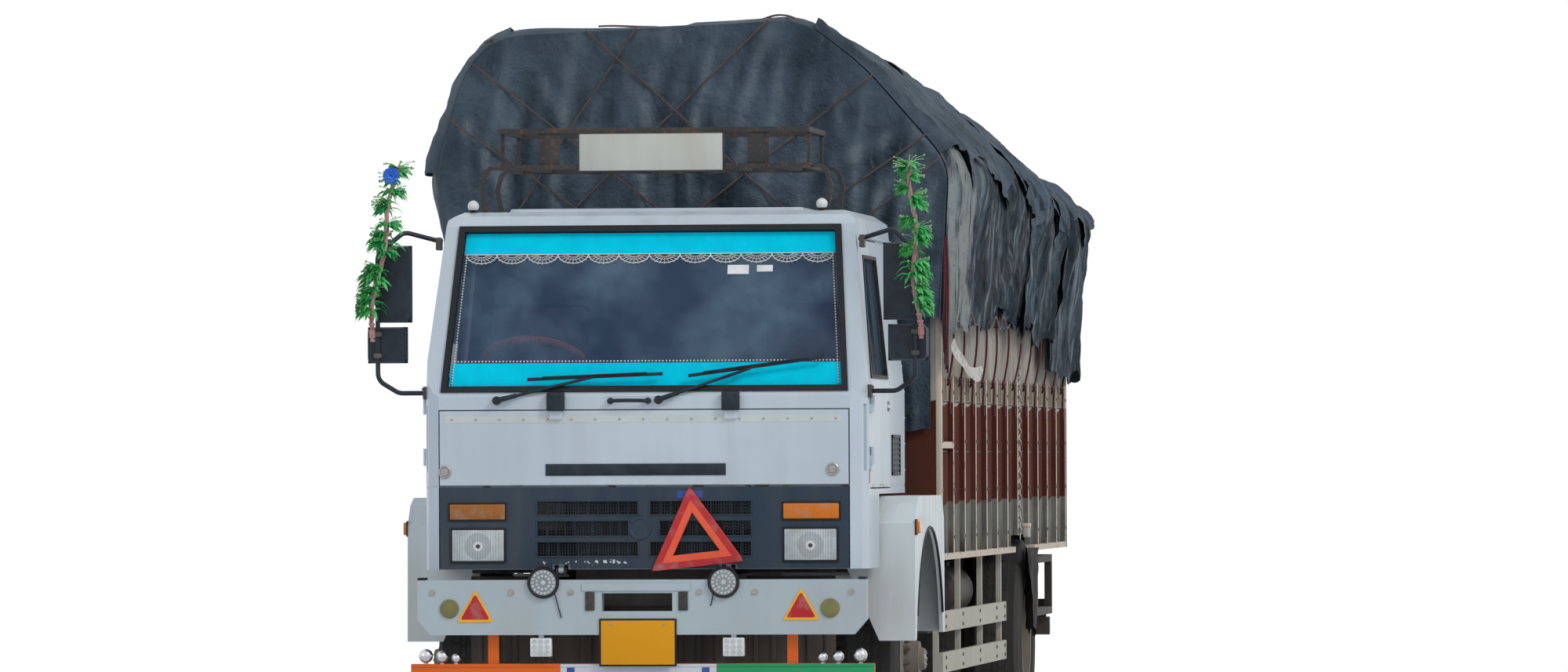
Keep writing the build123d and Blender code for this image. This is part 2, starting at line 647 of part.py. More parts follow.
# Load floor: planks over cross bearers and two runners on the rails
headboard_wall = 30
rear_frame_length = 60
floor_front_y = back(body_front_back) + headboard_wall
floor_rear_y = back(body_rear_back) - rear_frame_length
wall_inner_x = body_half_width - wall_thickness
post_outer_x = body_half_width + post_depth
bearer_top_z = floor_z - floor_depth
bearer_low_z = bearer_top_z - 100
bearer_length = 70
bearer_count = 14
wheel_clear = 560  # half-length kept clear over the rear wheels
with BuildPart() as load_floor:
    slab((-wall_inner_x, floor_front_y, bearer_top_z), (wall_inner_x, floor_rear_y, floor_z))
    for x in (-rail_outer_x, rail_outer_x - rail_flange):
        slab((x, floor_front_y, rail_top_z), (x + rail_flange, floor_rear_y, bearer_low_z))
    pitch = (floor_rear_y - floor_front_y - bearer_length) / (bearer_count - 1)
    for number in range(bearer_count):
        y = floor_front_y + number * pitch
        near_wheel = abs(y + bearer_length / 2 - rear_axle_y) < wheel_clear + bearer_length / 2
        reach = twin_centre_x - twin_half_spacing - tyre_width / 2 - 20 if near_wheel else wall_inner_x - 20
        slab((-reach, y, bearer_low_z), (reach, y + bearer_length, bearer_top_z))
load_floor.part.label = "load_floor"
export_step(load_floor.part, "parts/load_floor.step")

with BuildPart() as headboard:
    slab((-post_outer_x, back(body_front_back), sill_z), (post_outer_x, floor_front_y, wall_top_z))
    for x in (-700, 0, 700):
        slab((x - 30, back(body_front_back) - 30, sill_z), (x + 30, back(body_front_back), wall_top_z - 60))
headboard.part.label = "headboard"
export_step(headboard.part, "parts/headboard.step")

# Side walls: a long front panel and a shorter rear one on each side, both with outside posts
sill_height = 30
panel_split = 10
front_bays = 7
rear_bays = 5
wall_span = floor_rear_y - floor_front_y - panel_split
front_length = wall_span * front_bays / (front_bays + rear_bays)
panels = ((floor_front_y, front_length, front_bays),
          (floor_front_y + front_length + panel_split, wall_span - front_length, rear_bays))
hook_top_z = post_top_z
hook_drop = 118
hook_half = 62
hook_bar = 13
hook_depth = 16
cross_bar_z = 1525  # single bar across the first bay of the left panel
cross_bar_height = 32
with BuildPart() as side_walls:
    for start_y, length, bays in panels:
        slab((wall_inner_x, start_y, sill_z + sill_height), (body_half_width, start_y + length, wall_top_z))
        slab((wall_inner_x - 20, start_y, sill_z), (post_outer_x, start_y + length, sill_z + sill_height))
        for number in range(bays + 1):
            y = start_y + number * (length - post_width) / bays
            slab((body_half_width, y, sill_z + sill_height), (post_outer_x, y + post_width, post_top_z))
        for number in range(bays):
            middle = start_y + post_width / 2 + (number + 0.5) * (length - post_width) / bays
            low_z = hook_top_z - hook_drop
            inner_half = hook_half - hook_bar
            prism(Plane.YZ.offset(body_half_width),
                  [(middle - hook_half, low_z), (middle - hook_half, hook_top_z),
                   (middle + hook_half, hook_top_z), (middle + hook_half, low_z),
                   (middle + inner_half, low_z), (middle + inner_half, hook_top_z - hook_bar),
                   (middle - inner_half, hook_top_z - hook_bar), (middle - inner_half, low_z)], hook_depth)
    slab((wall_inner_x - 30, rear_axle_y - wheel_clear, sill_z - 10),
         (post_outer_x + 10, rear_axle_y + wheel_clear, bearer_top_z - 5), Mode.SUBTRACT)
    mirror(about=Plane.YZ)
    first_bay = (front_length - post_width) / front_bays
    slab((body_half_width, floor_front_y, cross_bar_z),
         (post_outer_x, floor_front_y + first_bay, cross_bar_z + cross_bar_height))
side_walls.part.label = "side_walls"
export_step(side_walls.part, "parts/side_walls.step")

# Rear frame: corner posts, threshold, header and the hinge ears of the tailboard
tailboard_gap = 6
tailboard_wall = 32
tail_hinge_z = 1016
tail_hinge_y = back(body_rear_back) + 18
tail_hinge_xs = (-850, 0, 850)
barrel_radius = 13
barrel_half = 50
tail_pin_radius = 8
ear_wall = 10
tail_low_z = tail_hinge_z + barrel_radius + tailboard_gap
with BuildPart() as rear_frame:
    for x in (-post_outer_x, post_outer_x - 116):
        slab((x, floor_rear_y, sill_z), (x + 116, back(body_rear_back), wall_top_z))
    slab((-post_outer_x, floor_rear_y, wall_top_z - 70), (post_outer_x, back(body_rear_back), wall_top_z))
    slab((-post_outer_x, floor_rear_y, sill_z), (post_outer_x, back(body_rear_back), bearer_top_z))
    for x in tail_hinge_xs:
        for ear_x in (x - barrel_half - 1 - ear_wall, x + barrel_half + 1):
            slab((ear_x, back(body_rear_back), tail_hinge_z - barrel_radius),
                 (ear_x + ear_wall, tail_hinge_y, tail_hinge_z + barrel_radius))
            rod((ear_x, tail_hinge_y, tail_hinge_z), (ear_x + ear_wall, tail_hinge_y, tail_hinge_z),
                barrel_radius)
        rod((x - barrel_half - 6, tail_hinge_y, tail_hinge_z),
            (x + barrel_half + 6, tail_hinge_y, tail_hinge_z), tail_pin_radius)
rear_frame.part.label = "rear_frame"
export_step(rear_frame.part, "parts/rear_frame.step")

with BuildPart() as tailboard:
    tail_y = back(body_rear_back) + tailboard_gap
    slab((-body_half_width, tail_y, tail_low_z),
         (body_half_width, tail_y + tailboard_wall - 10, tail_low_z + tailboard_height))
    for z in (tail_low_z, tail_low_z + tailboard_height - 60):
        slab((-body_half_width, tail_y + tailboard_wall - 10, z),
             (body_half_width, tail_y + tailboard_wall, z + 60))
    for number in range(7):
        x = -body_half_width + number * (2 * body_half_width - post_width) / 6
        slab((x, tail_y + tailboard_wall - 10, tail_low_z),
             (x + post_width, tail_y + tailboard_wall, tail_low_z + tailboard_height))
    for x in tail_hinge_xs:
        rod((x - barrel_half, tail_hinge_y, tail_hinge_z), (x + barrel_half, tail_hinge_y, tail_hinge_z),
            barrel_radius)
        slab((x - barrel_half, tail_hinge_y - 6, tail_hinge_z),
             (x + barrel_half, tail_hinge_y + 6, tail_low_z))
        rod((x - barrel_half, tail_hinge_y, tail_hinge_z), (x + barrel_half, tail_hinge_y, tail_hinge_z),
            tail_pin_radius + running_gap, Mode.SUBTRACT)
tailboard.part.label = "tailboard"
export_step(tailboard.part, "parts/tailboard.step")

# Cover: straight-sided sections from the front sheet to the rear one, hollow and open below.
# Columns: back, then x and z of the side, shoulder and top on the right (-X), and the same on the left.
cover_sections = (
    (2180, (-1322, 2890), (-1180, 3380), (-1000, 3570), (520, 3640), (830, 3400), (1250, 2920)),
    (2900, (-1322, 2890), (-1180, 3400), (-980, 3590), (500, 3650), (850, 3420), (1270, 2920)),
    (4600, (-1310, 2860), (-1150, 3320), (-920, 3500), (470, 3540), (880, 3370), (1285, 2900)),
    (6600, (-1300, 2820), (-1110, 3230), (-860, 3400), (450, 3430), (900, 3260), (1310, 2860)),
    (8700, (-1290, 2780), (-1080, 3040), (-820, 3150), (440, 3180), (930, 3010), (1326, 2820)),
    (9350, (-1270, 2740), (-1060, 2960), (-800, 3060), (430, 3080), (920, 2930), (1310, 2790)),
)
cover_hem_x = 1205


def cover_outline(row, inset, low_z, foot_x):
    """Closed outline of a cover section, moved inwards by inset, with its feet at low_z."""
    points = [(-foot_x + inset, low_z)]
    for x, z in row[1:]:
        points.append((x + inset if x < 0 else x - inset, z - inset))
    points.append((foot_x - inset, low_z))
    return points


def cover_between(distance):
    """Section row at any distance, interpolated between its neighbours."""
    rows = [row for row in cover_sections if row[0] <= distance]
    later = [row for row in cover_sections if row[0] > distance]
    near, far = (rows[-1], later[0]) if later else (cover_sections[-2], cover_sections[-1])
    share = (distance - near[0]) / (far[0] - near[0])
    return (distance, *[tuple(a + (b - a) * share for a, b in zip(p, q))
                        for p, q in zip(near[1:], far[1:])])


def cover_solid(rows, inset, low_z, mode):
    """Ruled solid through the sections, in the open part."""
    faces = []
    for row in rows:
        with BuildSketch(facing(back(row[0]))) as section:
            with BuildLine():
                Polyline(*cover_outline(row, inset, low_z, cover_hem_x), close=True)
            make_face()
        faces.append(section.sketch.face())
    loft(faces, ruled=True, mode=mode)


with BuildPart() as tarp_cover:
    cover_solid(cover_sections, 0, cover_hem_z, Mode.ADD)
    first = cover_between(cover_sections[0][0] + cover_wall)
    last = cover_between(cover_sections[-1][0] - cover_wall)
    cover_solid((first, *cover_sections[1:-1], last), cover_wall, cover_hem_z - 50, Mode.SUBTRACT)
tarp_cover.part.label = "tarp_cover"
export_step(tarp_cover.part, "parts/tarp_cover.step")

# Hoops that carry the cover, standing on the wall tops
hoop_backs = (2290, 3700, 5100, 6500, 7900, 9200)
hoop_width = 34
hoop_depth = 30
with BuildPart() as tarp_hoops:
    for distance in hoop_backs:
        faces = []
        for station in (distance, distance + hoop_depth):
            row = cover_between(station)
            outer = cover_outline(row, cover_wall + seat_gap, wall_top_z, 0)[1:-1]
            inner = cover_outline(row, cover_wall + seat_gap + hoop_width, wall_top_z, 0)[1:-1]
            with BuildSketch(facing(back(station))) as section:
                with BuildLine():
                    Polyline((-body_half_width, wall_top_z), *outer, (body_half_width, wall_top_z),
                             (wall_inner_x, wall_top_z), *inner[::-1], (-wall_inner_x, wall_top_z),
                             close=True)
                make_face()
            faces.append(section.sketch.face())
        loft(faces, ruled=True)
tarp_hoops.part.label = "tarp_hoops"
export_step(tarp_hoops.part, "parts/tarp_hoops.step")

# Cab: one thin-walled volume, cut into the panels that are pressed and bolted as pieces
screen_angle = atan2(screen_head[0] - screen_foot[0], screen_head[1] - screen_foot[1])
roof_split_z = 2560
door_front_back = 300
door_rear_back = 1200
door_low_z = 1341
door_top_z = 2500
door_gap = 6
hatch_low_z = 1358
hatch_top_z = 1704
hatch_gap = 6
pocket_depth = 30
grille_low_z = 968
grille_top_z = 1347
side_reach = cab_half_width + 100


# Door hinges: a barrel with its pin on the pillar and a bored barrel above it on the door
door_barrel = 11
door_pin = 6
door_barrel_height = 40
door_hinge_zs = (1450, 1690)
door_hinge_x = cab_half_width + 12
door_hinge_y = back(door_front_back) - 4


def door_hinge(side, on_door):
    """The door's or the pillar's half of both hinges, in the open part."""
    reach = 14 if on_door else -14
    for z in door_hinge_zs:
        low_z = z + door_barrel_height + 0.5 if on_door else z
        high_z = low_z + door_barrel_height
        x = side * door_hinge_x
        root_x = side * (cab_half_width - 5)
        rod((x, door_hinge_y, low_z), (x, door_hinge_y, high_z), door_barrel)
        prism(Plane.XY.offset(low_z),
              [(x, door_hinge_y), (x, door_hinge_y + reach), (root_x, door_hinge_y + reach),
               (root_x, door_hinge_y + (10 if on_door else -1))], high_z - low_z)
        if on_door:
            rod((x, door_hinge_y, low_z - 1), (x, door_hinge_y, high_z + 1), door_pin + running_gap,
                Mode.SUBTRACT)
        else:
            rod((x, door_hinge_y, low_z), (x, door_hinge_y, high_z + door_barrel_height), door_pin)


def pillar_back(z):
    """Distance behind the bumper face of the door's front edge line at height z."""
    slope = (screen_head[0] - screen_foot[0]) / (screen_head[1] - screen_foot[1])
    return door_front_back + max(0, z - belt_z) * slope


def cab_volume(inset):
    """Solid inside of the cab's skin, moved inwards by inset and open below."""
    side = [(cab_front_back, 880), (cab_front_back, 1770), screen_foot, screen_head, (440, 2618),
            (540, roof_z), (cab_rear_back - 60, roof_z), (cab_rear_back, roof_z - 50), (cab_rear_back, 880)]
    front = [(-cab_half_width, 880), (-cab_half_width, belt_z), (-cab_roof_half_width, 2600),
             (-cab_roof_half_width + 60, roof_z), (cab_roof_half_width - 60, roof_z),
             (cab_roof_half_width, 2600), (cab_half_width, belt_z), (cab_half_width, 880)]
    plan = [(-cab_face_half_width, cab_front_back), (cab_face_half_width, cab_front_back),
            (1016, 150), (cab_half_width, 240), (cab_half_width, cab_rear_back),
            (-cab_half_width, cab_rear_back), (-cab_half_width, 240), (-1016, 150)]
    with BuildPart() as volume:
        with BuildSketch(Plane.YZ.offset(-side_reach)) as outline:
            with BuildLine():
                Polyline(*[(back(distance), z) for distance, z in side], close=True)
            make_face()
            offset(amount=-inset, kind=Kind.INTERSECTION, mode=Mode.REPLACE)
        extrude(outline.sketch, amount=2 * side_reach)
        with BuildSketch(facing(back(cab_rear_back + 100))) as outline:
            with BuildLine():
                Polyline(*front, close=True)
            make_face()
            offset(amount=-inset, kind=Kind.INTERSECTION, mode=Mode.REPLACE)
        extrude(outline.sketch, amount=cab_rear_back + 200, mode=Mode.INTERSECT)
        with BuildSketch(Plane.XY.offset(800)) as outline:
            with BuildLine():
                Polyline(*[(x, back(distance)) for x, distance in plan], close=True)
            make_face()
            offset(amount=-inset, kind=Kind.INTERSECTION, mode=Mode.REPLACE)
        extrude(outline.sketch, amount=2000, mode=Mode.INTERSECT)
    return volume.part


def cab_layer(outer_inset, inner_inset):
    """Skin between two depths below the cab's outer surface, with its stepped lower edge."""
    with BuildPart() as layer:
        add(cab_volume(outer_inset))
        add(cab_volume(inner_inset), mode=Mode.SUBTRACT)
        slab((-side_reach, back(0), 800), (side_reach, back(cab_rear_back + 100), cab_bottom_z),
             Mode.SUBTRACT)
        slab((-side_reach, back(cab_nose_back), 800),
             (side_reach, back(cab_rear_back + 100), cab_rear_bottom_z), Mode.SUBTRACT)
    return layer.part


cab_skin = cab_layer(0, cab_wall)
front_region = [(back(0), 800), (back(cab_nose_back), 800), (back(cab_nose_back), door_low_z - door_gap),
                (back(door_front_back), door_low_z - door_gap), (back(door_front_back), belt_z),
                (back(pillar_back(roof_split_z)), roof_split_z), (back(0), roof_split_z)]
door_region = [(back(door_front_back) + door_gap, door_low_z), (back(door_front_back) + door_gap, belt_z),
               (back(pillar_back(door_top_z)) + door_gap, door_top_z), (back(door_rear_back), door_top_z),
               (back(door_rear_back), door_low_z)]
window_low_z = 1850
window_top_z = 2430
window_region = [(back(pillar_back(window_low_z)) + 70, window_low_z),
                 (back(pillar_back(window_top_z)) + 60, window_top_z),
                 (back(door_rear_back) - 70, window_top_z), (back(door_rear_back) - 70, window_low_z)]

# Windscreen opening, on the sloping plane of the screen
screen_centre = ((screen_foot[0] + screen_head[0]) / 2, (screen_foot[1] + screen_head[1]) / 2)
screen_plane = Plane(origin=(0, back(screen_centre[0]), screen_centre[1]), x_dir=(1, 0, 0),
                     z_dir=(0, -cos(screen_angle), sin(screen_angle)))
screen_half_height = 391
screen_low_half = 938
screen_high_half = 882
glass_gap = 10
seal_cover = 18
seal_proud = 9


def screen_outline(grow):
    """Corners of the windscreen opening grown by this much, on the screen plane."""
    return [(-screen_low_half - grow, -screen_half_height - grow),
            (screen_low_half + grow, -screen_half_height - grow),
            (screen_high_half + grow, screen_half_height + grow),
            (-screen_high_half - grow, screen_half_height + grow)]


hatch_thickness = 24
corner_slot = ((175, 1420), (215, 1730))  # back, z of the lower front and upper rear corners
corner_slot_x = 1012
hatch_face_back = cab_front_back - 4
hatch_hinge_y = back(cab_front_back) - 12
hatch_pin = 4
hatch_hinge_z = 1740
hatch_hinge_xs = (-410, 410)
hatch_ear = 8
with BuildPart() as cab_front:
    add(cab_skin)
    prism(Plane.YZ.offset(-side_reach), front_region, 2 * side_reach, Mode.INTERSECT)
    prism(screen_plane.offset(20), screen_outline(0), -100, Mode.SUBTRACT)
    slab((-cab_face_half_width, back(cab_front_back) - 20, 900),
         (cab_face_half_width, back(cab_front_back) + pocket_depth, hatch_top_z + hatch_gap), Mode.SUBTRACT)
    for low_z, high_z in ((cab_bottom_z + 40, grille_top_z - 35), (hatch_low_z + 40, hatch_top_z - 35)):
        slab((-cab_face_half_width + 60, back(cab_front_back) - 20, low_z),
             (cab_face_half_width - 60, back(cab_front_back) + cab_wall + 20, high_z), Mode.SUBTRACT)
    for side in (-1, 1):
        x = side * lug_x
        slab((x - 32, back(cab_front_back), cab_bottom_z - 5),
             (x + 32, back(cab_front_back) + cab_wall + 5, tilt_pivot_z + 24), Mode.SUBTRACT)
        slab((x - 12, tilt_pivot_y, tilt_pivot_z - 8), (x + 12, tilt_pivot_y + 15, cab_bottom_z + 30))
        rod((x - 12, tilt_pivot_y, tilt_pivot_z), (x + 12, tilt_pivot_y, tilt_pivot_z), 17)
        rod((x - 13, tilt_pivot_y, tilt_pivot_z), (x + 13, tilt_pivot_y, tilt_pivot_z),
            tilt_pin_radius + running_gap, Mode.SUBTRACT)
    for x in hatch_hinge_xs:
        for ear_x in (x - 31 - hatch_ear, x + 31):
            slab((ear_x, hatch_hinge_y - 12, hatch_hinge_z - 14),
                 (ear_x + hatch_ear, back(cab_front_back) + 5, hatch_hinge_z + 14))
        rod((x - 34, hatch_hinge_y, hatch_hinge_z), (x + 34, hatch_hinge_y, hatch_hinge_z), hatch_pin)
    for side in (-1, 1):
        low_x, high_x = sorted((side * corner_slot_x, side * side_reach))
        slab((low_x, back(corner_slot[0][0]), corner_slot[0][1]),
             (high_x, back(corner_slot[1][0]), corner_slot[1][1]), Mode.SUBTRACT)
        door_hinge(side, False)
cab_front.part.label = "cab_front"
export_step(cab_front.part, "parts/cab_front.step")

vent_backs = (1250, 1450)
vent_low_z = 1400
vent_slots = 5
vent_height = 20
vent_pitch = 39
vent_depth = 16
with BuildPart() as cab_shell:
    add(cab_skin)
    prism(Plane.YZ.offset(-side_reach), front_region, 2 * side_reach, Mode.SUBTRACT)
    prism(Plane.YZ.offset(-side_reach),
          [(back(door_front_back) - 10, door_low_z - door_gap), (back(door_front_back) - 10, belt_z),
           (back(pillar_back(door_top_z)) - 10, door_top_z + door_gap),
           (back(door_rear_back) + door_gap, door_top_z + door_gap),
           (back(door_rear_back) + door_gap, door_low_z - door_gap)], 2 * side_reach, Mode.SUBTRACT)
    slab((-side_reach, back(0), roof_split_z), (side_reach, back(cab_rear_back + 100), roof_z + 50),
         Mode.SUBTRACT)
    for side in (-1, 1):
        low_x, high_x = sorted((side * (cab_half_width - vent_depth), side * side_reach))
        for number in range(vent_slots):
            low_z = vent_low_z + number * vent_pitch
            slab((low_x, back(vent_backs[0]), low_z), (high_x, back(vent_backs[1]), low_z + vent_height),
                 Mode.SUBTRACT)
cab_shell.part.label = "cab_shell"
export_step(cab_shell.part, "parts/cab_shell.step")

with BuildPart() as cab_roof:
    add(cab_skin)
    slab((-side_reach, back(0), roof_split_z), (side_reach, back(cab_rear_back + 100), roof_z + 50),
         Mode.INTERSECT)
    with BuildSketch(Plane.XY.offset(roof_z)) as crown:
        with Locations((0, back(1120))):
            RectangleRounded(1400, 1100, 60)
    extrude(crown.sketch, amount=16, taper=30)
cab_roof.part.label = "cab_roof"
export_step(cab_roof.part, "parts/cab_roof.step")

hump_half_width = 375
hump_wall = 28
hump_front_back = 430
hump_rear_back = 1640
hump_top_z = 1500
cab_floor_top_z = cab_rear_bottom_z + cab_floor_thickness
with BuildPart() as cab_floor:
    slab((-cab_half_width + cab_wall, back(cab_front_back) + cab_wall, cab_rear_bottom_z),
         (cab_half_width - cab_wall, back(cab_rear_back) - cab_wall, cab_floor_top_z))
    for side in (-1, 1):
        prism(Plane.XY.offset(cab_rear_bottom_z),
              [(side * (cab_face_half_width - 40), back(cab_front_back)),
               (side * side_reach, back(cab_front_back)), (side * side_reach, back(260)),
               (side * (cab_half_width - cab_wall), back(260))], cab_floor_thickness, Mode.SUBTRACT)
    slab((-hump_half_width, back(hump_front_back), cab_rear_bottom_z),
         (hump_half_width, back(hump_rear_back), hump_top_z))
    slab((-hump_half_width + hump_wall, back(hump_front_back) + hump_wall, cab_rear_bottom_z - 10),
         (hump_half_width - hump_wall, back(hump_rear_back) - hump_wall, hump_top_z - hump_wall),
         Mode.SUBTRACT)
cab_floor.part.label = "cab_floor"
export_step(cab_floor.part, "parts/cab_floor.step")

with BuildPart() as windscreen:
    prism(screen_plane.offset(-18), screen_outline(-glass_gap), -8)
windscreen.part.label = "windscreen"
export_step(windscreen.part, "parts/windscreen.step")

with BuildPart() as windscreen_seal:
    prism(screen_plane, screen_outline(seal_cover), seal_proud)
    prism(screen_plane, screen_outline(0), -30)
    prism(screen_plane.offset(20), screen_outline(-glass_gap - 8), -20.5, Mode.SUBTRACT)
    prism(screen_plane.offset(20), screen_outline(-glass_gap), -60, Mode.SUBTRACT)
windscreen_seal.part.label = "windscreen_seal"
export_step(windscreen_seal.part, "parts/windscreen_seal.step")

# Doors with their windows cut, a handle bar across its recess, and the fixed panes in them
handle_backs = (1060, 1165)
handle_zs = (1698, 1746)
handle_recess = 18
handle_proud = 6
for side, name in ((1, "left"), (-1, "right")):
    half_space = Plane.YZ.offset(0 if side == 1 else -side_reach)
    with BuildPart() as door:
        add(cab_skin)
        prism(half_space, door_region, side_reach, Mode.INTERSECT)
        prism(half_space, window_region, side_reach, Mode.SUBTRACT)
        door_hinge(side, True)
        low_x, high_x = sorted((side * (cab_half_width - handle_recess), side * side_reach))
        slab((low_x, back(handle_backs[0]), handle_zs[0]), (high_x, back(handle_backs[1]), handle_zs[1]),
             Mode.SUBTRACT)
        low_x, high_x = sorted((side * (cab_half_width - handle_recess / 2),
                                side * (cab_half_width + handle_proud)))
        middle_z = (handle_zs[0] + handle_zs[1]) / 2
        slab((low_x, back(handle_backs[0]) - handle_proud, middle_z - 8),
             (high_x, back(handle_backs[1]) + handle_proud, middle_z + 8))
    door.part.label = f"door_{name}"
    export_step(door.part, f"parts/door_{name}.step")
    with BuildPart() as pane:
        add(cab_layer(18, 25))
        prism(half_space, window_region, side_reach, Mode.INTERSECT)
    pane.part.label = f"door_glass_{name}"
    export_step(pane.part, f"parts/door_glass_{name}.step")

# Front hatch over the heater bay, hung from two hinge blocks
with BuildPart() as front_hatch:
    slab((-cab_face_half_width + hatch_gap, back(hatch_face_back), hatch_low_z),
         (cab_face_half_width - hatch_gap, back(hatch_face_back) + hatch_thickness, hatch_top_z))
    for x in hatch_hinge_xs:
        slab((x - 30, hatch_hinge_y - 5, hatch_top_z - 40),
             (x + 30, back(hatch_face_back), hatch_hinge_z - 2))
        rod((x - 30, hatch_hinge_y, hatch_hinge_z), (x + 30, hatch_hinge_y, hatch_hinge_z), 2 * hatch_pin)
        rod((x - 31, hatch_hinge_y, hatch_hinge_z), (x + 31, hatch_hinge_y, hatch_hinge_z),
            hatch_pin + running_gap, Mode.SUBTRACT)
front_hatch.part.label = "front_hatch"
export_step(front_hatch.part, "parts/front_hatch.step")

# Grille panel with three rows of slots on each side and lamp pockets
slot_rows = ((1220, 1281, 30), (1122, 1190, 75), (1028, 1092, 30))  # low z, high z, inner x
slot_outer_x = 500
slot_bars = 9
bar_width = 5
bar_depth = 6
lamp_places = ((779, 1078, 245, 146), (782, 1234, 260, 72))  # x, z, width, height
with BuildPart() as grille_panel:
    slab((-cab_face_half_width + 6, back(cab_front_back), grille_low_z),
         (cab_face_half_width - 6, back(cab_front_back) + pocket_depth, grille_top_z))
    for low_z, high_z, inner_x in slot_rows:
        slab((inner_x, back(cab_front_back) - 5, low_z),
             (slot_outer_x, back(cab_front_back) + pocket_depth + 5, high_z), Mode.SUBTRACT)
        slab((-slot_outer_x, back(cab_front_back) - 5, low_z),
             (-inner_x, back(cab_front_back) + pocket_depth + 5, high_z), Mode.SUBTRACT)
    bar_rear_y = back(cab_front_back) + pocket_depth
    for low_z, high_z, inner_x in slot_rows:
        for side in (-1, 1):
            for number in range(1, slot_bars + 1):
                x = side * (inner_x + number * (slot_outer_x - inner_x) / (slot_bars + 1))
                slab((x - bar_width / 2, bar_rear_y - bar_depth, low_z),
                     (x + bar_width / 2, bar_rear_y, high_z))
    for x, z, width, height in lamp_places:
        for side in (-1, 1):
            slab((side * x - width / 2, back(cab_front_back) - 5, z - height / 2),
                 (side * x + width / 2, back(cab_front_back) + 20, z + height / 2), Mode.SUBTRACT)
    for side in (-1, 1):
        slab((side * lug_x - 45, back(cab_front_back) - 5, grille_low_z - 5),
             (side * lug_x + 45, back(cab_front_back) + pocket_depth + 5, grille_low_z + 22), Mode.SUBTRACT)
grille_panel.part.label = "grille_panel"
export_step(grille_panel.part, "parts/grille_panel.step")

with BuildPart() as front_lamps:
    for x, z, width, height in lamp_places:
        for side in (-1, 1):
            slab((side * x - width / 2, back(cab_front_back) - 10, z - height / 2),
                 (side * x + width / 2, back(cab_front_back) + 20, z + height / 2))
front_lamps.part.label = "front_lamps"
export_step(front_lamps.part, "parts/front_lamps.step")

# Wipers: spindle, arm and blade in one piece each
wiper_rows = (((-690, 1752), (-230, 1862), (-547, 1850), (88, 1874)),
              ((70, 1752), (500, 1898), (209, 1864), (840, 1948)))  # spindle, arm tip, blade ends: x, z


def screen_back(z, proud):
    """Distance behind the bumper face of a point this proud of the windscreen slope at height z."""
    rise = (z - screen_foot[1]) / (screen_head[1] - screen_foot[1])
    return screen_foot[0] + (screen_head[0] - screen_foot[0]) * rise - proud


with BuildPart() as wipers:
    face_y = back(cab_front_back)
    for spindle, tip, *blade in wiper_rows:
        rod((spindle[0], face_y, spindle[1]), (spindle[0], face_y - 26, spindle[1]), 14)
        rod((spindle[0], face_y - 18, spindle[1]), (tip[0], back(screen_back(tip[1], 26)), tip[1]), 7)
        rod(*[(x, back(screen_back(z, 22)), z) for x, z in blade], 8)
wipers.part.label = "wipers"
export_step(wipers.part, "parts/wipers.step")

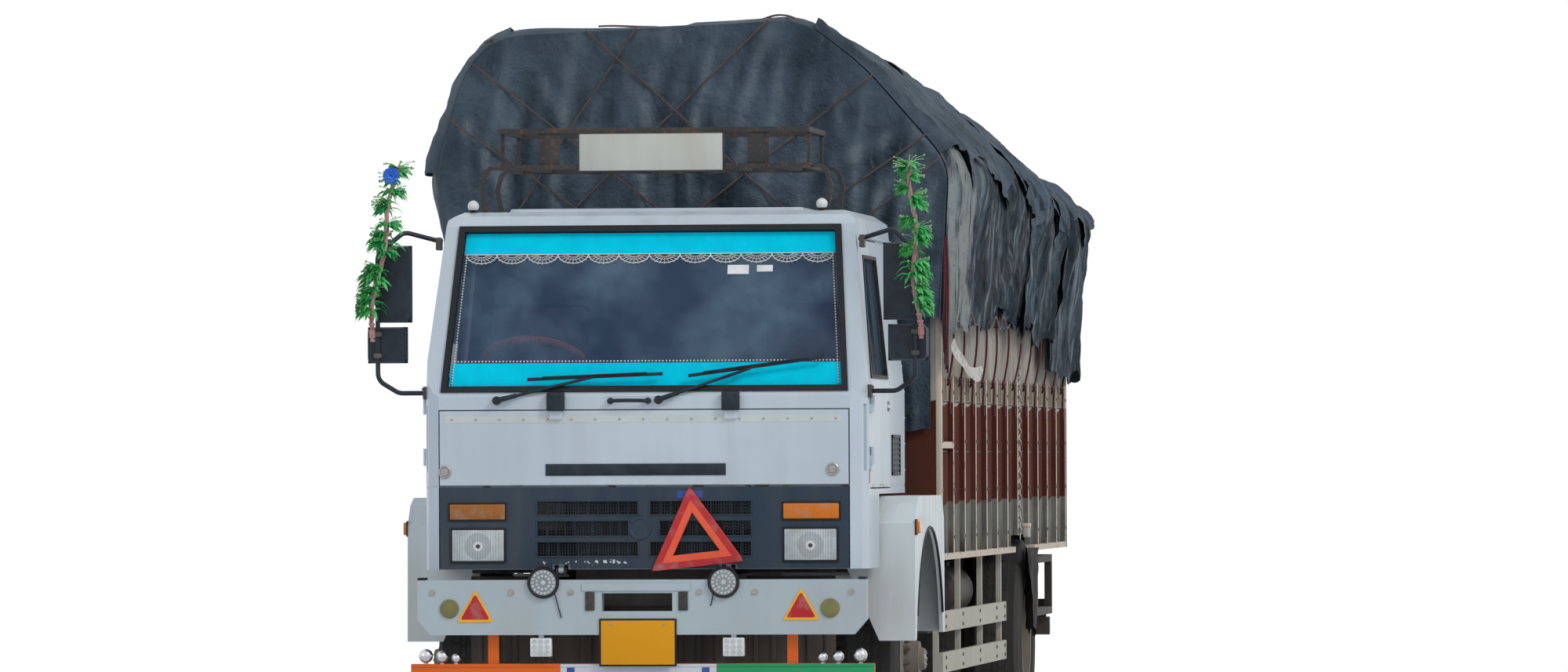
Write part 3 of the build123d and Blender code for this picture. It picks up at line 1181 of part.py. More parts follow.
# Roof rack: two square-bar rings on bowed legs, slats, side plates and a bare sign board
rack_half_width = 725
rack_front_back = 520
rack_rear_back = 1180
rack_low_z = 2850
rack_high_z = 3020
rack_bar = 12
rack_leg = 10
rack_post = 8
rack_plate_x = 495
rack_slats = 6
rack_slat_reach = 600
sign_left_x = -355
sign_right_x = 334
sign_low_z = 2826
sign_top_z = 3010
ball_lamp_xs = (-860, 790)
ball_lamp_back = 550
ball_radius = 26
ball_stem = 6
ball_z = 30  # centre above the roof
rack_foot_x = 808
with BuildPart() as roof_rack:
    for z in (rack_low_z, rack_high_z):
        slab((-rack_half_width - rack_bar, back(rack_front_back) - rack_bar, z - rack_bar),
             (rack_half_width + rack_bar, back(rack_rear_back) + rack_bar, z + rack_bar))
        slab((-rack_half_width + rack_bar, back(rack_front_back) + rack_bar, z - 2 * rack_bar),
             (rack_half_width - rack_bar, back(rack_rear_back) - rack_bar, z + 2 * rack_bar), Mode.SUBTRACT)
    for side in (-1, 1):
        post_x = side * rack_half_width
        for distance in (rack_front_back + 70, rack_rear_back - 70):
            y = back(distance)
            leg = [(rack_foot_x - 12, roof_z), (rack_foot_x + 12, roof_z), (rack_foot_x + 30, rack_low_z - 90),
                   (rack_foot_x + 10, rack_low_z - 16), (rack_foot_x - 20, rack_low_z + 8),
                   (rack_half_width, rack_low_z + 8), (rack_half_width, rack_low_z - 8),
                   (rack_foot_x - 30, rack_low_z - 8), (rack_foot_x - 8, rack_low_z - 26),
                   (rack_foot_x + 10, rack_low_z - 90)]
            prism(facing(y + rack_leg), [(side * x, z) for x, z in leg], 2 * rack_leg)
            slab((post_x - rack_post, y - rack_post, rack_low_z), (post_x + rack_post, y + rack_post, rack_high_z))
        plate_x = side * rack_plate_x
        slab((plate_x - 50, back(rack_front_back) - 5, rack_low_z),
             (plate_x + 50, back(rack_front_back) + 5, rack_high_z))
    for number in range(rack_slats):
        x = -rack_slat_reach + number * 2 * rack_slat_reach / (rack_slats - 1)
        slab((x - 30, back(rack_front_back), rack_low_z - 8), (x + 30, back(rack_rear_back), rack_low_z + 8))
    board_face = back(rack_front_back) - 17
    slab((sign_left_x, board_face, sign_low_z), (sign_right_x, board_face + 8, sign_top_z))
    for x in (sign_left_x + 55, sign_right_x - 55):
        slab((x - 15, board_face + 8, sign_low_z + 14), (x + 15, back(rack_front_back), sign_top_z - 10))
    ball_low_z = ball_z - ball_radius
    for x in ball_lamp_xs:
        foot = (x, back(ball_lamp_back), roof_z)
        with BuildSketch(Plane(origin=foot, x_dir=(1, 0, 0), z_dir=(0, -1, 0))) as bulb:
            with BuildLine():
                Polyline((0, 0), (ball_stem, 0), (ball_stem, ball_low_z), (0.75 * ball_radius, ball_low_z + 5),
                         (ball_radius, ball_z), (0.75 * ball_radius, ball_z + 17), (8, ball_z + ball_radius),
                         (0, ball_z + ball_radius), close=True)
            make_face()
        revolve(bulb.sketch, axis=Axis(foot, (0, 0, 1)))
roof_rack.part.label = "roof_rack"
export_step(roof_rack.part, "parts/roof_rack.step")

# Mirrors: a bent tube loop on each side of the cab with a tall head and a wide one behind it
mirror_tube = 11
mirror_arm_x = 1262
mirror_arm_back = 205
mirror_heads = ((1190, 2300, 165, 360), (1224, 2015, 190, 170))  # x, z, width, height
with BuildPart() as mirrors:
    arm_y = back(mirror_arm_back)
    tube_along([(985, back(390), 2500), (1150, back(300), 2545), (mirror_arm_x, arm_y, 2440),
                (mirror_arm_x, arm_y, 1850), (1170, back(250), 1790),
                (cab_half_width - 12, back(262), 1790)], 60, mirror_tube)
    for x, z, width, height in mirror_heads:
        with BuildSketch(facing(arm_y + 62)) as head:
            with Locations((x, z)):
                RectangleRounded(width, height, 30)
        extrude(head.sketch, amount=50, taper=8)
        rod((mirror_arm_x, arm_y, z), (mirror_arm_x, arm_y + 16, z), 9)
    add(cab_volume(0), mode=Mode.SUBTRACT)
    mirror(about=Plane.YZ)
mirrors.part.label = "mirrors"
export_step(mirrors.part, "parts/mirrors.step")

# Plastic garlands tied to the mirror arms: stacked bushy cones
garland_reach = 1360
garland_radius = 66
garland_low_z = 2010
garland_top_z = 2870
garland_steps = ((0, 14), (0.12, 30), (0.2, 66), (0.3, 30), (0.42, 62), (0.52, 28), (0.64, 58), (0.74, 24),
                 (0.86, 46), (0.94, 20), (1, 8))  # share of the height, radius
with BuildPart() as garlands:
    garland_x = garland_reach - garland_radius
    between = garland_radius + mirror_tube + seat_gap
    garland_y = back(mirror_arm_back) - sqrt(between ** 2 - (garland_x - mirror_arm_x) ** 2)
    with BuildSketch(Plane(origin=(garland_x, garland_y, 0), x_dir=(1, 0, 0), z_dir=(0, -1, 0))) as bushes:
        with BuildLine():
            height = garland_top_z - garland_low_z
            Polyline((0, garland_low_z),
                     *[(radius, garland_low_z + share * height) for share, radius in garland_steps],
                     (0, garland_top_z), close=True)
        make_face()
    revolve(bushes.sketch, axis=Axis((garland_x, garland_y, 0), (0, 0, 1)))
    mirror(about=Plane.YZ)
garlands.part.label = "garlands"
export_step(garlands.part, "parts/garlands.step")

# Seats: one each side of the engine cover and a bench across the back
seat_x = 655
cushion_z = 1700
with BuildPart() as seats:
    for x in (-seat_x, seat_x):
        slab((x - 180, back(950), cab_floor_top_z), (x + 180, back(1300), cushion_z))
        with BuildSketch(Plane.YZ.offset(x - 240)) as padding:
            with BuildLine():
                Polyline((back(880), cushion_z), (back(870), cushion_z + 90), (back(1270), cushion_z + 70),
                         (back(1370), cushion_z + 560), (back(1470), cushion_z + 540),
                         (back(1390), cushion_z), close=True)
            make_face()
        extrude(padding.sketch, amount=480)
    slab((-960, back(1660), cab_floor_top_z), (960, back(1800), 1760))
seats.part.label = "seats"
export_step(seats.part, "parts/seats.step")

# Dashboard with the steering column and wheel
dash_half_width = 945
dash_front_y = back(cab_front_back) + cab_wall
wheel_x = -590
wheel_centre = Vector(wheel_x, back(680), 1930)
wheel_tilt = 28
with BuildPart() as dashboard:
    with BuildSketch(Plane.YZ.offset(-dash_half_width)) as fascia:
        with BuildLine():
            Polyline((dash_front_y, 1480), (dash_front_y, 1740), (back(210), 1765), (back(360), 1750),
                     (back(400), 1700), (back(360), 1480), close=True)
        make_face()
    extrude(fascia.sketch, amount=2 * dash_half_width)
    column_dir = Vector(0, sin(radians(wheel_tilt)), cos(radians(wheel_tilt)))
    rim_plane = Plane(origin=wheel_centre, z_dir=column_dir)
    with BuildSketch(Plane(origin=wheel_centre + Vector(235, 0, 0), x_dir=(1, 0, 0),
                           z_dir=column_dir.cross(Vector(1, 0, 0)))) as rim_section:
        RegularPolygon(15, 8)
    revolve(rim_section.sketch, axis=Axis(wheel_centre, column_dir))
    rod(wheel_centre - column_dir * 20, wheel_centre + column_dir * 16, 45)
    for turn in (30, 150, 270):
        spoke = Vector(cos(radians(turn)), 0, 0) + column_dir.cross(Vector(1, 0, 0)) * sin(radians(turn))
        rod(wheel_centre, wheel_centre + spoke * 232, 9)
    rod(wheel_centre, (wheel_x, back(300), 1640), 26)
dashboard.part.label = "dashboard"
export_step(dashboard.part, "parts/dashboard.step")

# Warning triangle that stands against the grille
triangle_tip = (214, 1351)
triangle_left = (36, 955)
triangle_right = (470, 1002)
with BuildPart() as warning_triangle:
    with BuildSketch(facing(back(cab_front_back))) as frame_outline:
        with BuildLine():
            Polyline(triangle_tip, triangle_left, triangle_right, close=True)
        make_face()
        fillet(frame_outline.vertices(), 14)
        offset(amount=-62, kind=Kind.INTERSECTION, mode=Mode.SUBTRACT)
    extrude(frame_outline.sketch, amount=16)
warning_triangle.part.label = "warning_triangle"
export_step(warning_triangle.part, "parts/warning_triangle.step")
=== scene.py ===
"""Finish of a decorated two-axle cab-over lorry with a slatted body under a lashed cover.

Metres. The lorry faces -Y, its own left side is +X and the ground is z = 0. Each sub-assembly is a class
that builds its meshes round the fixed frame and gives them their finish.
"""

import logging
import math
import random
from dataclasses import dataclass, field
from enum import Enum
from typing import Iterable, Optional, Sequence, Union

import bmesh
import bpy
from mathutils import Matrix, Vector, noise


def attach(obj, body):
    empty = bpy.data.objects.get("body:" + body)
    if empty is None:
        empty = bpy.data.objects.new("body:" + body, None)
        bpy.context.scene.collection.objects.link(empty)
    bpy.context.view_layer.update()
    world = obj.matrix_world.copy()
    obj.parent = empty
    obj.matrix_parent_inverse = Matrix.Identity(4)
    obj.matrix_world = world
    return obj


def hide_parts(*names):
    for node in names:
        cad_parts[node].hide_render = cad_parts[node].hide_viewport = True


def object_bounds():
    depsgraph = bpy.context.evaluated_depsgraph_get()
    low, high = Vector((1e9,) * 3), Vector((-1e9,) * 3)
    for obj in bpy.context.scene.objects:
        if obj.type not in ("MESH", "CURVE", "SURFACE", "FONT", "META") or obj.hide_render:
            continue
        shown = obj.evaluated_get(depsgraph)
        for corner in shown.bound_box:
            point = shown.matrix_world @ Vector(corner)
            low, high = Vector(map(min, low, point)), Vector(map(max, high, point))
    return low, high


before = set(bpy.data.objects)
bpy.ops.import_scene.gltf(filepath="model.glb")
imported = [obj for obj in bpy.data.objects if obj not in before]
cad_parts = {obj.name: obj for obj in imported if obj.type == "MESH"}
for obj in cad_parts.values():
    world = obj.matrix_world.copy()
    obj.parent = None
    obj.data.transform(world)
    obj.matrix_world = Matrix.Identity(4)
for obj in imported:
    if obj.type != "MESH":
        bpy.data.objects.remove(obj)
CAD_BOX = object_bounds()
FRONT_Y = CAD_BOX[0].y  # bumper face
HUB_Z = 0.52  # height of the wheels' middles
FRONT_AXLE_BACK = 1.4  # axles, measured back from the bumper face
REAR_AXLE_BACK = 6.734
Point = Sequence[float]
Colour = tuple[float, float, float]
Mesh = bmesh.types.BMesh
Socket = bpy.types.NodeSocket
Value = Union[Socket, float, Colour]  # what a node's input takes

logging.basicConfig(level=logging.INFO, format="%(levelname)s %(message)s")
log = logging.getLogger("lorry")


def behind(distance: float) -> float:
    """Y of a place this far behind the bumper face."""
    return FRONT_Y + distance


def linear(red: int, green: int, blue: int) -> Colour:
    """Linear colour of a shade given as 0 to 255 screen values.

    Args:
        red: Red from 0 to 255.
        green: Green from 0 to 255.
        blue: Blue from 0 to 255.

    Returns:
        Linear red, green and blue.
    """
    def channel(value: int) -> float:
        """Linear value of one screen channel."""
        share = value / 255
        return share / 12.92 if share <= 0.04045 else ((share + 0.055) / 1.055) ** 2.4
    return channel(red), channel(green), channel(blue)


def ridge(turn: float, sharpness: float = 1.6) -> float:
    """Rounded ridge, 1 at whole turns and 0 between them."""
    return (0.5 + 0.5 * math.cos(math.tau * turn)) ** sharpness


class Side(Enum):
    """The lorry's own sides, with the sign of X."""

    LEFT = 1
    RIGHT = -1

    @property
    def word(self) -> str:
        """Plain word for names."""
        return self.name.lower()


class Shader:
    """Node tree of one material, with short calls for the nodes that the finishes use."""

    def __init__(self, name: str) -> None:
        """Starts an empty material called name.

        Args:
            name: The material's name.
        """
        self.material = bpy.data.materials.new(name)
        self.material.use_nodes = True
        self.tree = self.material.node_tree
        self.tree.nodes.clear()
        self.out = self.tree.nodes.new("ShaderNodeOutputMaterial")
        self._place: Optional[bpy.types.NodeSocket] = None

    def node(self, kind: str, **settings: object) -> bpy.types.Node:
        """Adds a node.

        Args:
            kind: Node type without its ShaderNode prefix.
            settings: Node properties to set.

        Returns:
            The new node.
        """
        made = self.tree.nodes.new("ShaderNode" + kind)
        for key, value in settings.items():
            setattr(made, key, value)
        return made

    def feed(self, socket: Socket, value: Value) -> None:
        """Links a socket to a socket, or sets its value from a number or colour.

        Args:
            socket: Input to feed.
            value: Output to link, or a number or colour to set.
        """
        if isinstance(value, bpy.types.NodeSocket):
            self.tree.links.new(value, socket)
        elif isinstance(value, (tuple, list)) and len(value) == 3 and socket.type == "RGBA":
            socket.default_value = (*value, 1)
        else:
            socket.default_value = value

    @property
    def place(self) -> bpy.types.NodeSocket:
        """Object coordinates.

        Returns:
            Output of the object coordinates.
        """
        if self._place is None:
            self._place = self.node("TexCoord").outputs["Object"]
        return self._place

    def stretched(self, scale: Point) -> bpy.types.NodeSocket:
        """Object coordinates multiplied by scale, for streaks and grain.

        Args:
            scale: Factor along each axis.

        Returns:
            The scaled coordinates.
        """
        mapping = self.node("Mapping")
        self.feed(mapping.inputs["Vector"], self.place)
        mapping.inputs["Scale"].default_value = scale
        return mapping.outputs["Vector"]

    def noise(self, scale: float, detail: float = 3, vector: Optional[Socket] = None,
              roughness: float = 0.55) -> Socket:
        """Grey noise value between 0 and 1.

        Args:
            scale: Scale, higher is finer.
            detail: Octaves.
            vector: Coordinates, the object's own when left out.
            roughness: How much each octave keeps.

        Returns:
            The noise value.
        """
        made = self.node("TexNoise")
        self.feed(made.inputs["Vector"], vector or self.place)
        made.inputs["Scale"].default_value = scale
        made.inputs["Detail"].default_value = detail
        made.inputs["Roughness"].default_value = roughness
        return made.outputs["Fac"]

    def wave(self, scale: float, distortion: float = 0, direction: str = "X",
             vector: Optional[Socket] = None) -> Socket:
        """Grey sine bands.

        Args:
            scale: Scale, higher is finer.
            distortion: How far noise bends the bands.
            direction: Axis that they follow.
            vector: Coordinates, the object's own when left out.

        Returns:
            The bands' value.
        """
        made = self.node("TexWave", bands_direction=direction)
        self.feed(made.inputs["Vector"], vector or self.place)
        made.inputs["Scale"].default_value = scale
        made.inputs["Distortion"].default_value = distortion
        return made.outputs["Fac"]

    def span(self, value: Value, low: float, high: float, to_low: float = 0,
             to_high: float = 1) -> Socket:
        """Value remapped from one range to another and clamped.

        Args:
            value: Value to remap.
            low: Input that gives to_low.
            high: Input that gives to_high.
            to_low: Result at low.
            to_high: Result at high.

        Returns:
            The remapped value.
        """
        made = self.node("MapRange")
        for name, number in (("From Min", low), ("From Max", high), ("To Min", to_low), ("To Max", to_high)):
            made.inputs[name].default_value = number
        self.feed(made.inputs["Value"], value)
        return made.outputs["Result"]

    def math(self, operation: str, first: Value, second: Value = 0.0) -> Socket:
        """Result of a math node.

        Args:
            operation: Blender's name of the operation.
            first: First input.
            second: Second input.

        Returns:
            The result.
        """
        made = self.node("Math", operation=operation)
        self.feed(made.inputs[0], first)
        self.feed(made.inputs[1], second)
        return made.outputs[0]

    def axis(self, letter: str) -> Socket:
        """One object coordinate.

        Args:
            letter: X, Y or Z.

        Returns:
            That coordinate.
        """
        split = self.node("SeparateXYZ")
        self.feed(split.inputs[0], self.place)
        return split.outputs[letter]

    def mix(self, share: Value, first: Value, second: Value) -> Socket:
        """Colour between first and second.

        Args:
            share: 0 gives first, 1 gives second.
            first: First colour.
            second: Second colour.

        Returns:
            The mixed colour.
        """
        made = self.node("Mix", data_type="RGBA")
        self.feed(made.inputs["Factor"], share)
        self.feed(made.inputs[6], first)
        self.feed(made.inputs[7], second)
        return made.outputs[2]

    def between(self, letter: str, low: float, high: float, soft: float = 0.002) -> Socket:
        """Mask that is 1 where an object coordinate lies between low and high.

        Args:
            letter: X, Y or Z.
            low: Lower end.
            high: Upper end.
            soft: Half width of the soft edge.

        Returns:
            The mask.
        """
        value = self.axis(letter)
        rise = self.span(value, low - soft, low + soft)
        fall = self.span(value, high - soft, high + soft, 1, 0)
        return self.math("MULTIPLY", rise, fall)

    def bump(self, height: Value, strength: float, distance: float,
             under: Optional[Socket] = None) -> Socket:
        """Normal from a height.

        Args:
            height: Height to read.
            strength: Strength of the relief.
            distance: Depth of the relief.
            under: Normal that it adds to.

        Returns:
            The normal.
        """
        made = self.node("Bump")
        made.inputs["Strength"].default_value = strength
        made.inputs["Distance"].default_value = distance
        self.feed(made.inputs["Height"], height)
        if under is not None:
            self.feed(made.inputs["Normal"], under)
        return made.outputs["Normal"]

    def group(self, tree: bpy.types.NodeTree, **values: Value) -> bpy.types.Node:
        """Places a node group and feeds its inputs.

        Args:
            tree: Node group to place.
            values: Value of each input, by name.

        Returns:
            The placed node.
        """
        made = self.node("Group")
        made.node_tree = tree
        for key, value in values.items():
            self.feed(made.inputs[key.replace("_", " ")], value)
        return made

    def surface(self, **values: Value) -> bpy.types.Material:
        """Ends the tree in a Principled shader with these inputs.

        Args:
            values: Socket names, with underscores for spaces, and their values.

        Returns:
            The finished material.
        """
        shader = self.node("BsdfPrincipled")
        values.setdefault("Specular_IOR_Level", 0.28)
        for key, value in values.items():
            self.feed(shader.inputs[key.replace("_", " ")], value)
        self.tree.links.new(shader.outputs[0], self.out.inputs["Surface"])
        return self.material


class Groups:
    """Shader node groups that several finishes share, each built once."""

    def __init__(self) -> None:
        """Builds the three groups."""
        self.grime = self._grime()
        self.chips = self._chips()
        self.weave = self._weave()

    @staticmethod
    def _start(name: str, inputs: Sequence[tuple[str, str]],
               outputs: Sequence[tuple[str, str]]) -> tuple[bpy.types.NodeTree, bpy.types.Node,
                                                            bpy.types.Node]:
        """Empty group with its sockets.

        Args:
            name: Group name.
            inputs: Names and socket types of the inputs.
            outputs: Names and socket types of the outputs.

        Returns:
            The tree, its input node and its output node.
        """
        tree = bpy.data.node_groups.new(name, "ShaderNodeTree")
        for in_out, sockets in (("INPUT", inputs), ("OUTPUT", outputs)):
            for label, kind in sockets:
                tree.interface.new_socket(name=label, in_out=in_out, socket_type="NodeSocket" + kind)
        return tree, tree.nodes.new("NodeGroupInput"), tree.nodes.new("NodeGroupOutput")

    @staticmethod
    def _range(tree: bpy.types.NodeTree, value: Socket, low: float, high: float, to_low: float = 0,
               to_high: float = 1) -> Socket:
        """Clamped map range inside a group.

        Args:
            tree: Group to add to.
            value: Value to remap.
            low: Input that gives to_low.
            high: Input that gives to_high.
            to_low: Result at low.
            to_high: Result at high.

        Returns:
            The remapped value.
        """
        made = tree.nodes.new("ShaderNodeMapRange")
        tree.links.new(value, made.inputs["Value"])
        for name, number in (("From Min", low), ("From Max", high), ("To Min", to_low), ("To Max", to_high)):
            made.inputs[name].default_value = number
        return made.outputs["Result"]

    @staticmethod
    def _noise(tree: bpy.types.NodeTree, vector: Socket, scale: float, detail: float,
               stretch: Point = (1, 1, 1)) -> Socket:
        """Noise inside a group, on stretched coordinates.

        Args:
            tree: Group to add to.
            vector: Coordinates.
            scale: Scale, higher is finer.
            detail: Octaves.
            stretch: Factor along each axis.

        Returns:
            The noise value.
        """
        mapping = tree.nodes.new("ShaderNodeMapping")
        mapping.inputs["Scale"].default_value = stretch
        tree.links.new(vector, mapping.inputs["Vector"])
        made = tree.nodes.new("ShaderNodeTexNoise")
        tree.links.new(mapping.outputs["Vector"], made.inputs["Vector"])
        made.inputs["Scale"].default_value = scale
        made.inputs["Detail"].default_value = detail
        return made.outputs["Fac"]

    @staticmethod
    def _math(tree: bpy.types.NodeTree, operation: str, first: Value, second: Value) -> Socket:
        """Math inside a group.

        Args:
            tree: Group to add to.
            operation: Blender's name of the operation.
            first: First input.
            second: Second input.

        Returns:
            The result.
        """
        made = tree.nodes.new("ShaderNodeMath")
        made.operation = operation
        for socket, value in zip(made.inputs, (first, second)):
            if isinstance(value, bpy.types.NodeSocket):
                tree.links.new(value, socket)
            else:
                socket.default_value = value
        return made.outputs[0]

    def _grime(self) -> bpy.types.NodeTree:
        """Road dust that thickens downwards, with clouds and streaks that run down the sheet.

        Returns:
            The node group.
        """
        tree, given, out = self._start(
            "road_grime", (("Vector", "Vector"), ("Paint", "Color"), ("Dust", "Color"), ("Amount", "Float")),
            (("Color", "Color"), ("Mask", "Float")))
        split = tree.nodes.new("ShaderNodeSeparateXYZ")
        tree.links.new(given.outputs["Vector"], split.inputs[0])
        low = self._range(tree, split.outputs["Z"], 1.5, 0.35, 0.12, 0.75)
        clouds = self._noise(tree, given.outputs["Vector"], 2.3, 6)
        streaks = self._noise(tree, given.outputs["Vector"], 9, 4, (1, 1, 0.08))
        blotch = self._range(tree, self._math(tree, "MULTIPLY", clouds, streaks), 0.16, 0.42)
        mask = self._math(tree, "MULTIPLY", self._math(tree, "ADD", blotch, low), given.outputs["Amount"])
        clamp = self._range(tree, mask, 0, 1)
        mix = tree.nodes.new("ShaderNodeMix")
        mix.data_type = "RGBA"
        tree.links.new(clamp, mix.inputs["Factor"])
        tree.links.new(given.outputs["Paint"], mix.inputs[6])
        tree.links.new(given.outputs["Dust"], mix.inputs[7])
        tree.links.new(mix.outputs[2], out.inputs["Color"])
        tree.links.new(clamp, out.inputs["Mask"])
        return tree

    def _chips(self) -> bpy.types.NodeTree:
        """Paint chips and rust spots as a second colour with a hard edge.

        Returns:
            The node group.
        """
        tree, given, out = self._start(
            "paint_chips", (("Vector", "Vector"), ("Paint", "Color"), ("Bare", "Color"), ("Amount", "Float")),
            (("Color", "Color"), ("Mask", "Float")))
        spots = self._noise(tree, given.outputs["Vector"], 52, 7)
        patches = self._noise(tree, given.outputs["Vector"], 2.1, 3)
        both = self._math(tree, "ADD", spots, self._math(tree, "MULTIPLY", patches, 0.5))
        level = self._math(tree, "SUBTRACT", 1.15, given.outputs["Amount"])
        mask = self._range(tree, self._math(tree, "SUBTRACT", both, level), 0, 0.015)
        mix = tree.nodes.new("ShaderNodeMix")
        mix.data_type = "RGBA"
        tree.links.new(mask, mix.inputs["Factor"])
        tree.links.new(given.outputs["Paint"], mix.inputs[6])
        tree.links.new(given.outputs["Bare"], mix.inputs[7])
        tree.links.new(mix.outputs[2], out.inputs["Color"])
        tree.links.new(mask, out.inputs["Mask"])
        return tree

    def _weave(self) -> bpy.types.NodeTree:
        """Crossed threads of a coarse cloth as a height.

        Returns:
            The node group.
        """
        tree, given, out = self._start("coarse_weave", (("Vector", "Vector"), ("Threads", "Float")),
                                       (("Height", "Float"),))
        heights = []
        for direction in "XZ":
            wave = tree.nodes.new("ShaderNodeTexWave")
            wave.bands_direction = direction
            tree.links.new(given.outputs["Vector"], wave.inputs["Vector"])
            tree.links.new(given.outputs["Threads"], wave.inputs["Scale"])
            wave.inputs["Distortion"].default_value = 0.4
            heights.append(wave.outputs["Fac"])
        tree.links.new(self._math(tree, "MULTIPLY", *heights), out.inputs["Height"])
        return tree


GROUPS = Groups()
DUST = linear(150, 138, 120)
RUST = linear(92, 52, 32)


@dataclass(frozen=True)
class PaintedSteel:
    """Sprayed or brushed paint on sheet steel, dusty and chipped."""

    name: str
    colour: Colour
    bare: Colour = RUST
    dust: Colour = DUST
    dust_amount: float = 0.35
    chip_amount: float = 0.16
    roughness: float = 0.42
    coat: float = 0.0
    wave: float = 0.35  # dents of the sheet
    scraped: tuple[float, ...] = ()  # low x, high x, low z, high z of a zone with more chips
    scrape_amount: float = 0.3

    def material(self) -> bpy.types.Material:
        """Builds the material.

        Returns:
            The finished material.
        """
        shader = Shader(self.name)
        shade = shader.mix(shader.span(shader.noise(1.1, 4), 0.3, 0.7), self.colour,
                           tuple(channel * 0.9 for channel in self.colour))
        amount = self.chip_amount
        if self.scraped:
            zone = shader.math("MULTIPLY", shader.between("X", *self.scraped[:2], 0.05),
                               shader.between("Z", *self.scraped[2:], 0.012))
            amount = shader.math("MULTIPLY_ADD", zone, self.scrape_amount)
            amount.node.inputs[2].default_value = self.chip_amount
        chips = shader.group(GROUPS.chips, Vector=shader.place, Paint=shade, Bare=self.bare, Amount=amount)
        grime = shader.group(GROUPS.grime, Vector=shader.place, Paint=chips.outputs["Color"],
                             Dust=self.dust, Amount=self.dust_amount)
        rough = shader.span(shader.math("ADD", grime.outputs["Mask"], chips.outputs["Mask"]), 0, 1,
                            self.roughness, 0.85)
        dents = shader.bump(shader.noise(1.7, 2), self.wave, 0.01)
        chipped = shader.bump(chips.outputs["Mask"], 0.4, -0.0004, dents)
        normal = shader.bump(shader.noise(240, 2), 0.06, 0.0005, chipped)
        return shader.surface(Base_Color=grime.outputs["Color"], Roughness=rough, Normal=normal,
                              Coat_Weight=self.coat, Coat_Roughness=0.2)


@dataclass(frozen=True)
class CabPaint:
    """White cab paint with darker washes and rust along the seams."""

    name: str = "cab_white"
    colour: Colour = linear(196, 206, 214)
    rust_lines: tuple[float, ...] = (1.352,)  # heights of seams that bleed rust

    def material(self) -> bpy.types.Material:
        """Builds the material.

        Returns:
            The finished material.
        """
        shader = Shader(self.name)
        shade = shader.mix(shader.span(shader.noise(0.9, 5), 0.32, 0.68), self.colour,
                           linear(182, 194, 204))
        washes = shader.noise(6, 4, shader.stretched((1, 1, 0.12)))
        shade = shader.mix(shader.span(washes, 0.58, 0.78, 0, 0.3), shade, linear(150, 148, 140))
        chips = shader.group(GROUPS.chips, Vector=shader.place, Paint=shade, Bare=linear(104, 66, 44),
                             Amount=0.03)
        seams = None
        for height in self.rust_lines:
            seam = shader.between("Z", height - 0.01, height + 0.004, 0.006)
            seams = seam if seams is None else shader.math("ADD", seams, seam)
        bleed = shader.math("MULTIPLY", seams, shader.span(shader.noise(13, 7), 0.53, 0.6))
        rusty = shader.mix(bleed, chips.outputs["Color"], RUST)
        grime = shader.group(GROUPS.grime, Vector=shader.place, Paint=rusty, Dust=linear(150, 146, 136),
                             Amount=0.2)
        rough = shader.span(grime.outputs["Mask"], 0, 1, 0.34, 0.8)
        dents = shader.bump(shader.noise(1.4, 2), 0.4, 0.012)
        normal = shader.bump(shader.noise(180, 2), 0.05, 0.0004, dents)
        return shader.surface(Base_Color=grime.outputs["Color"], Roughness=rough, Normal=normal,
                              Coat_Weight=0.25, Coat_Roughness=0.15)


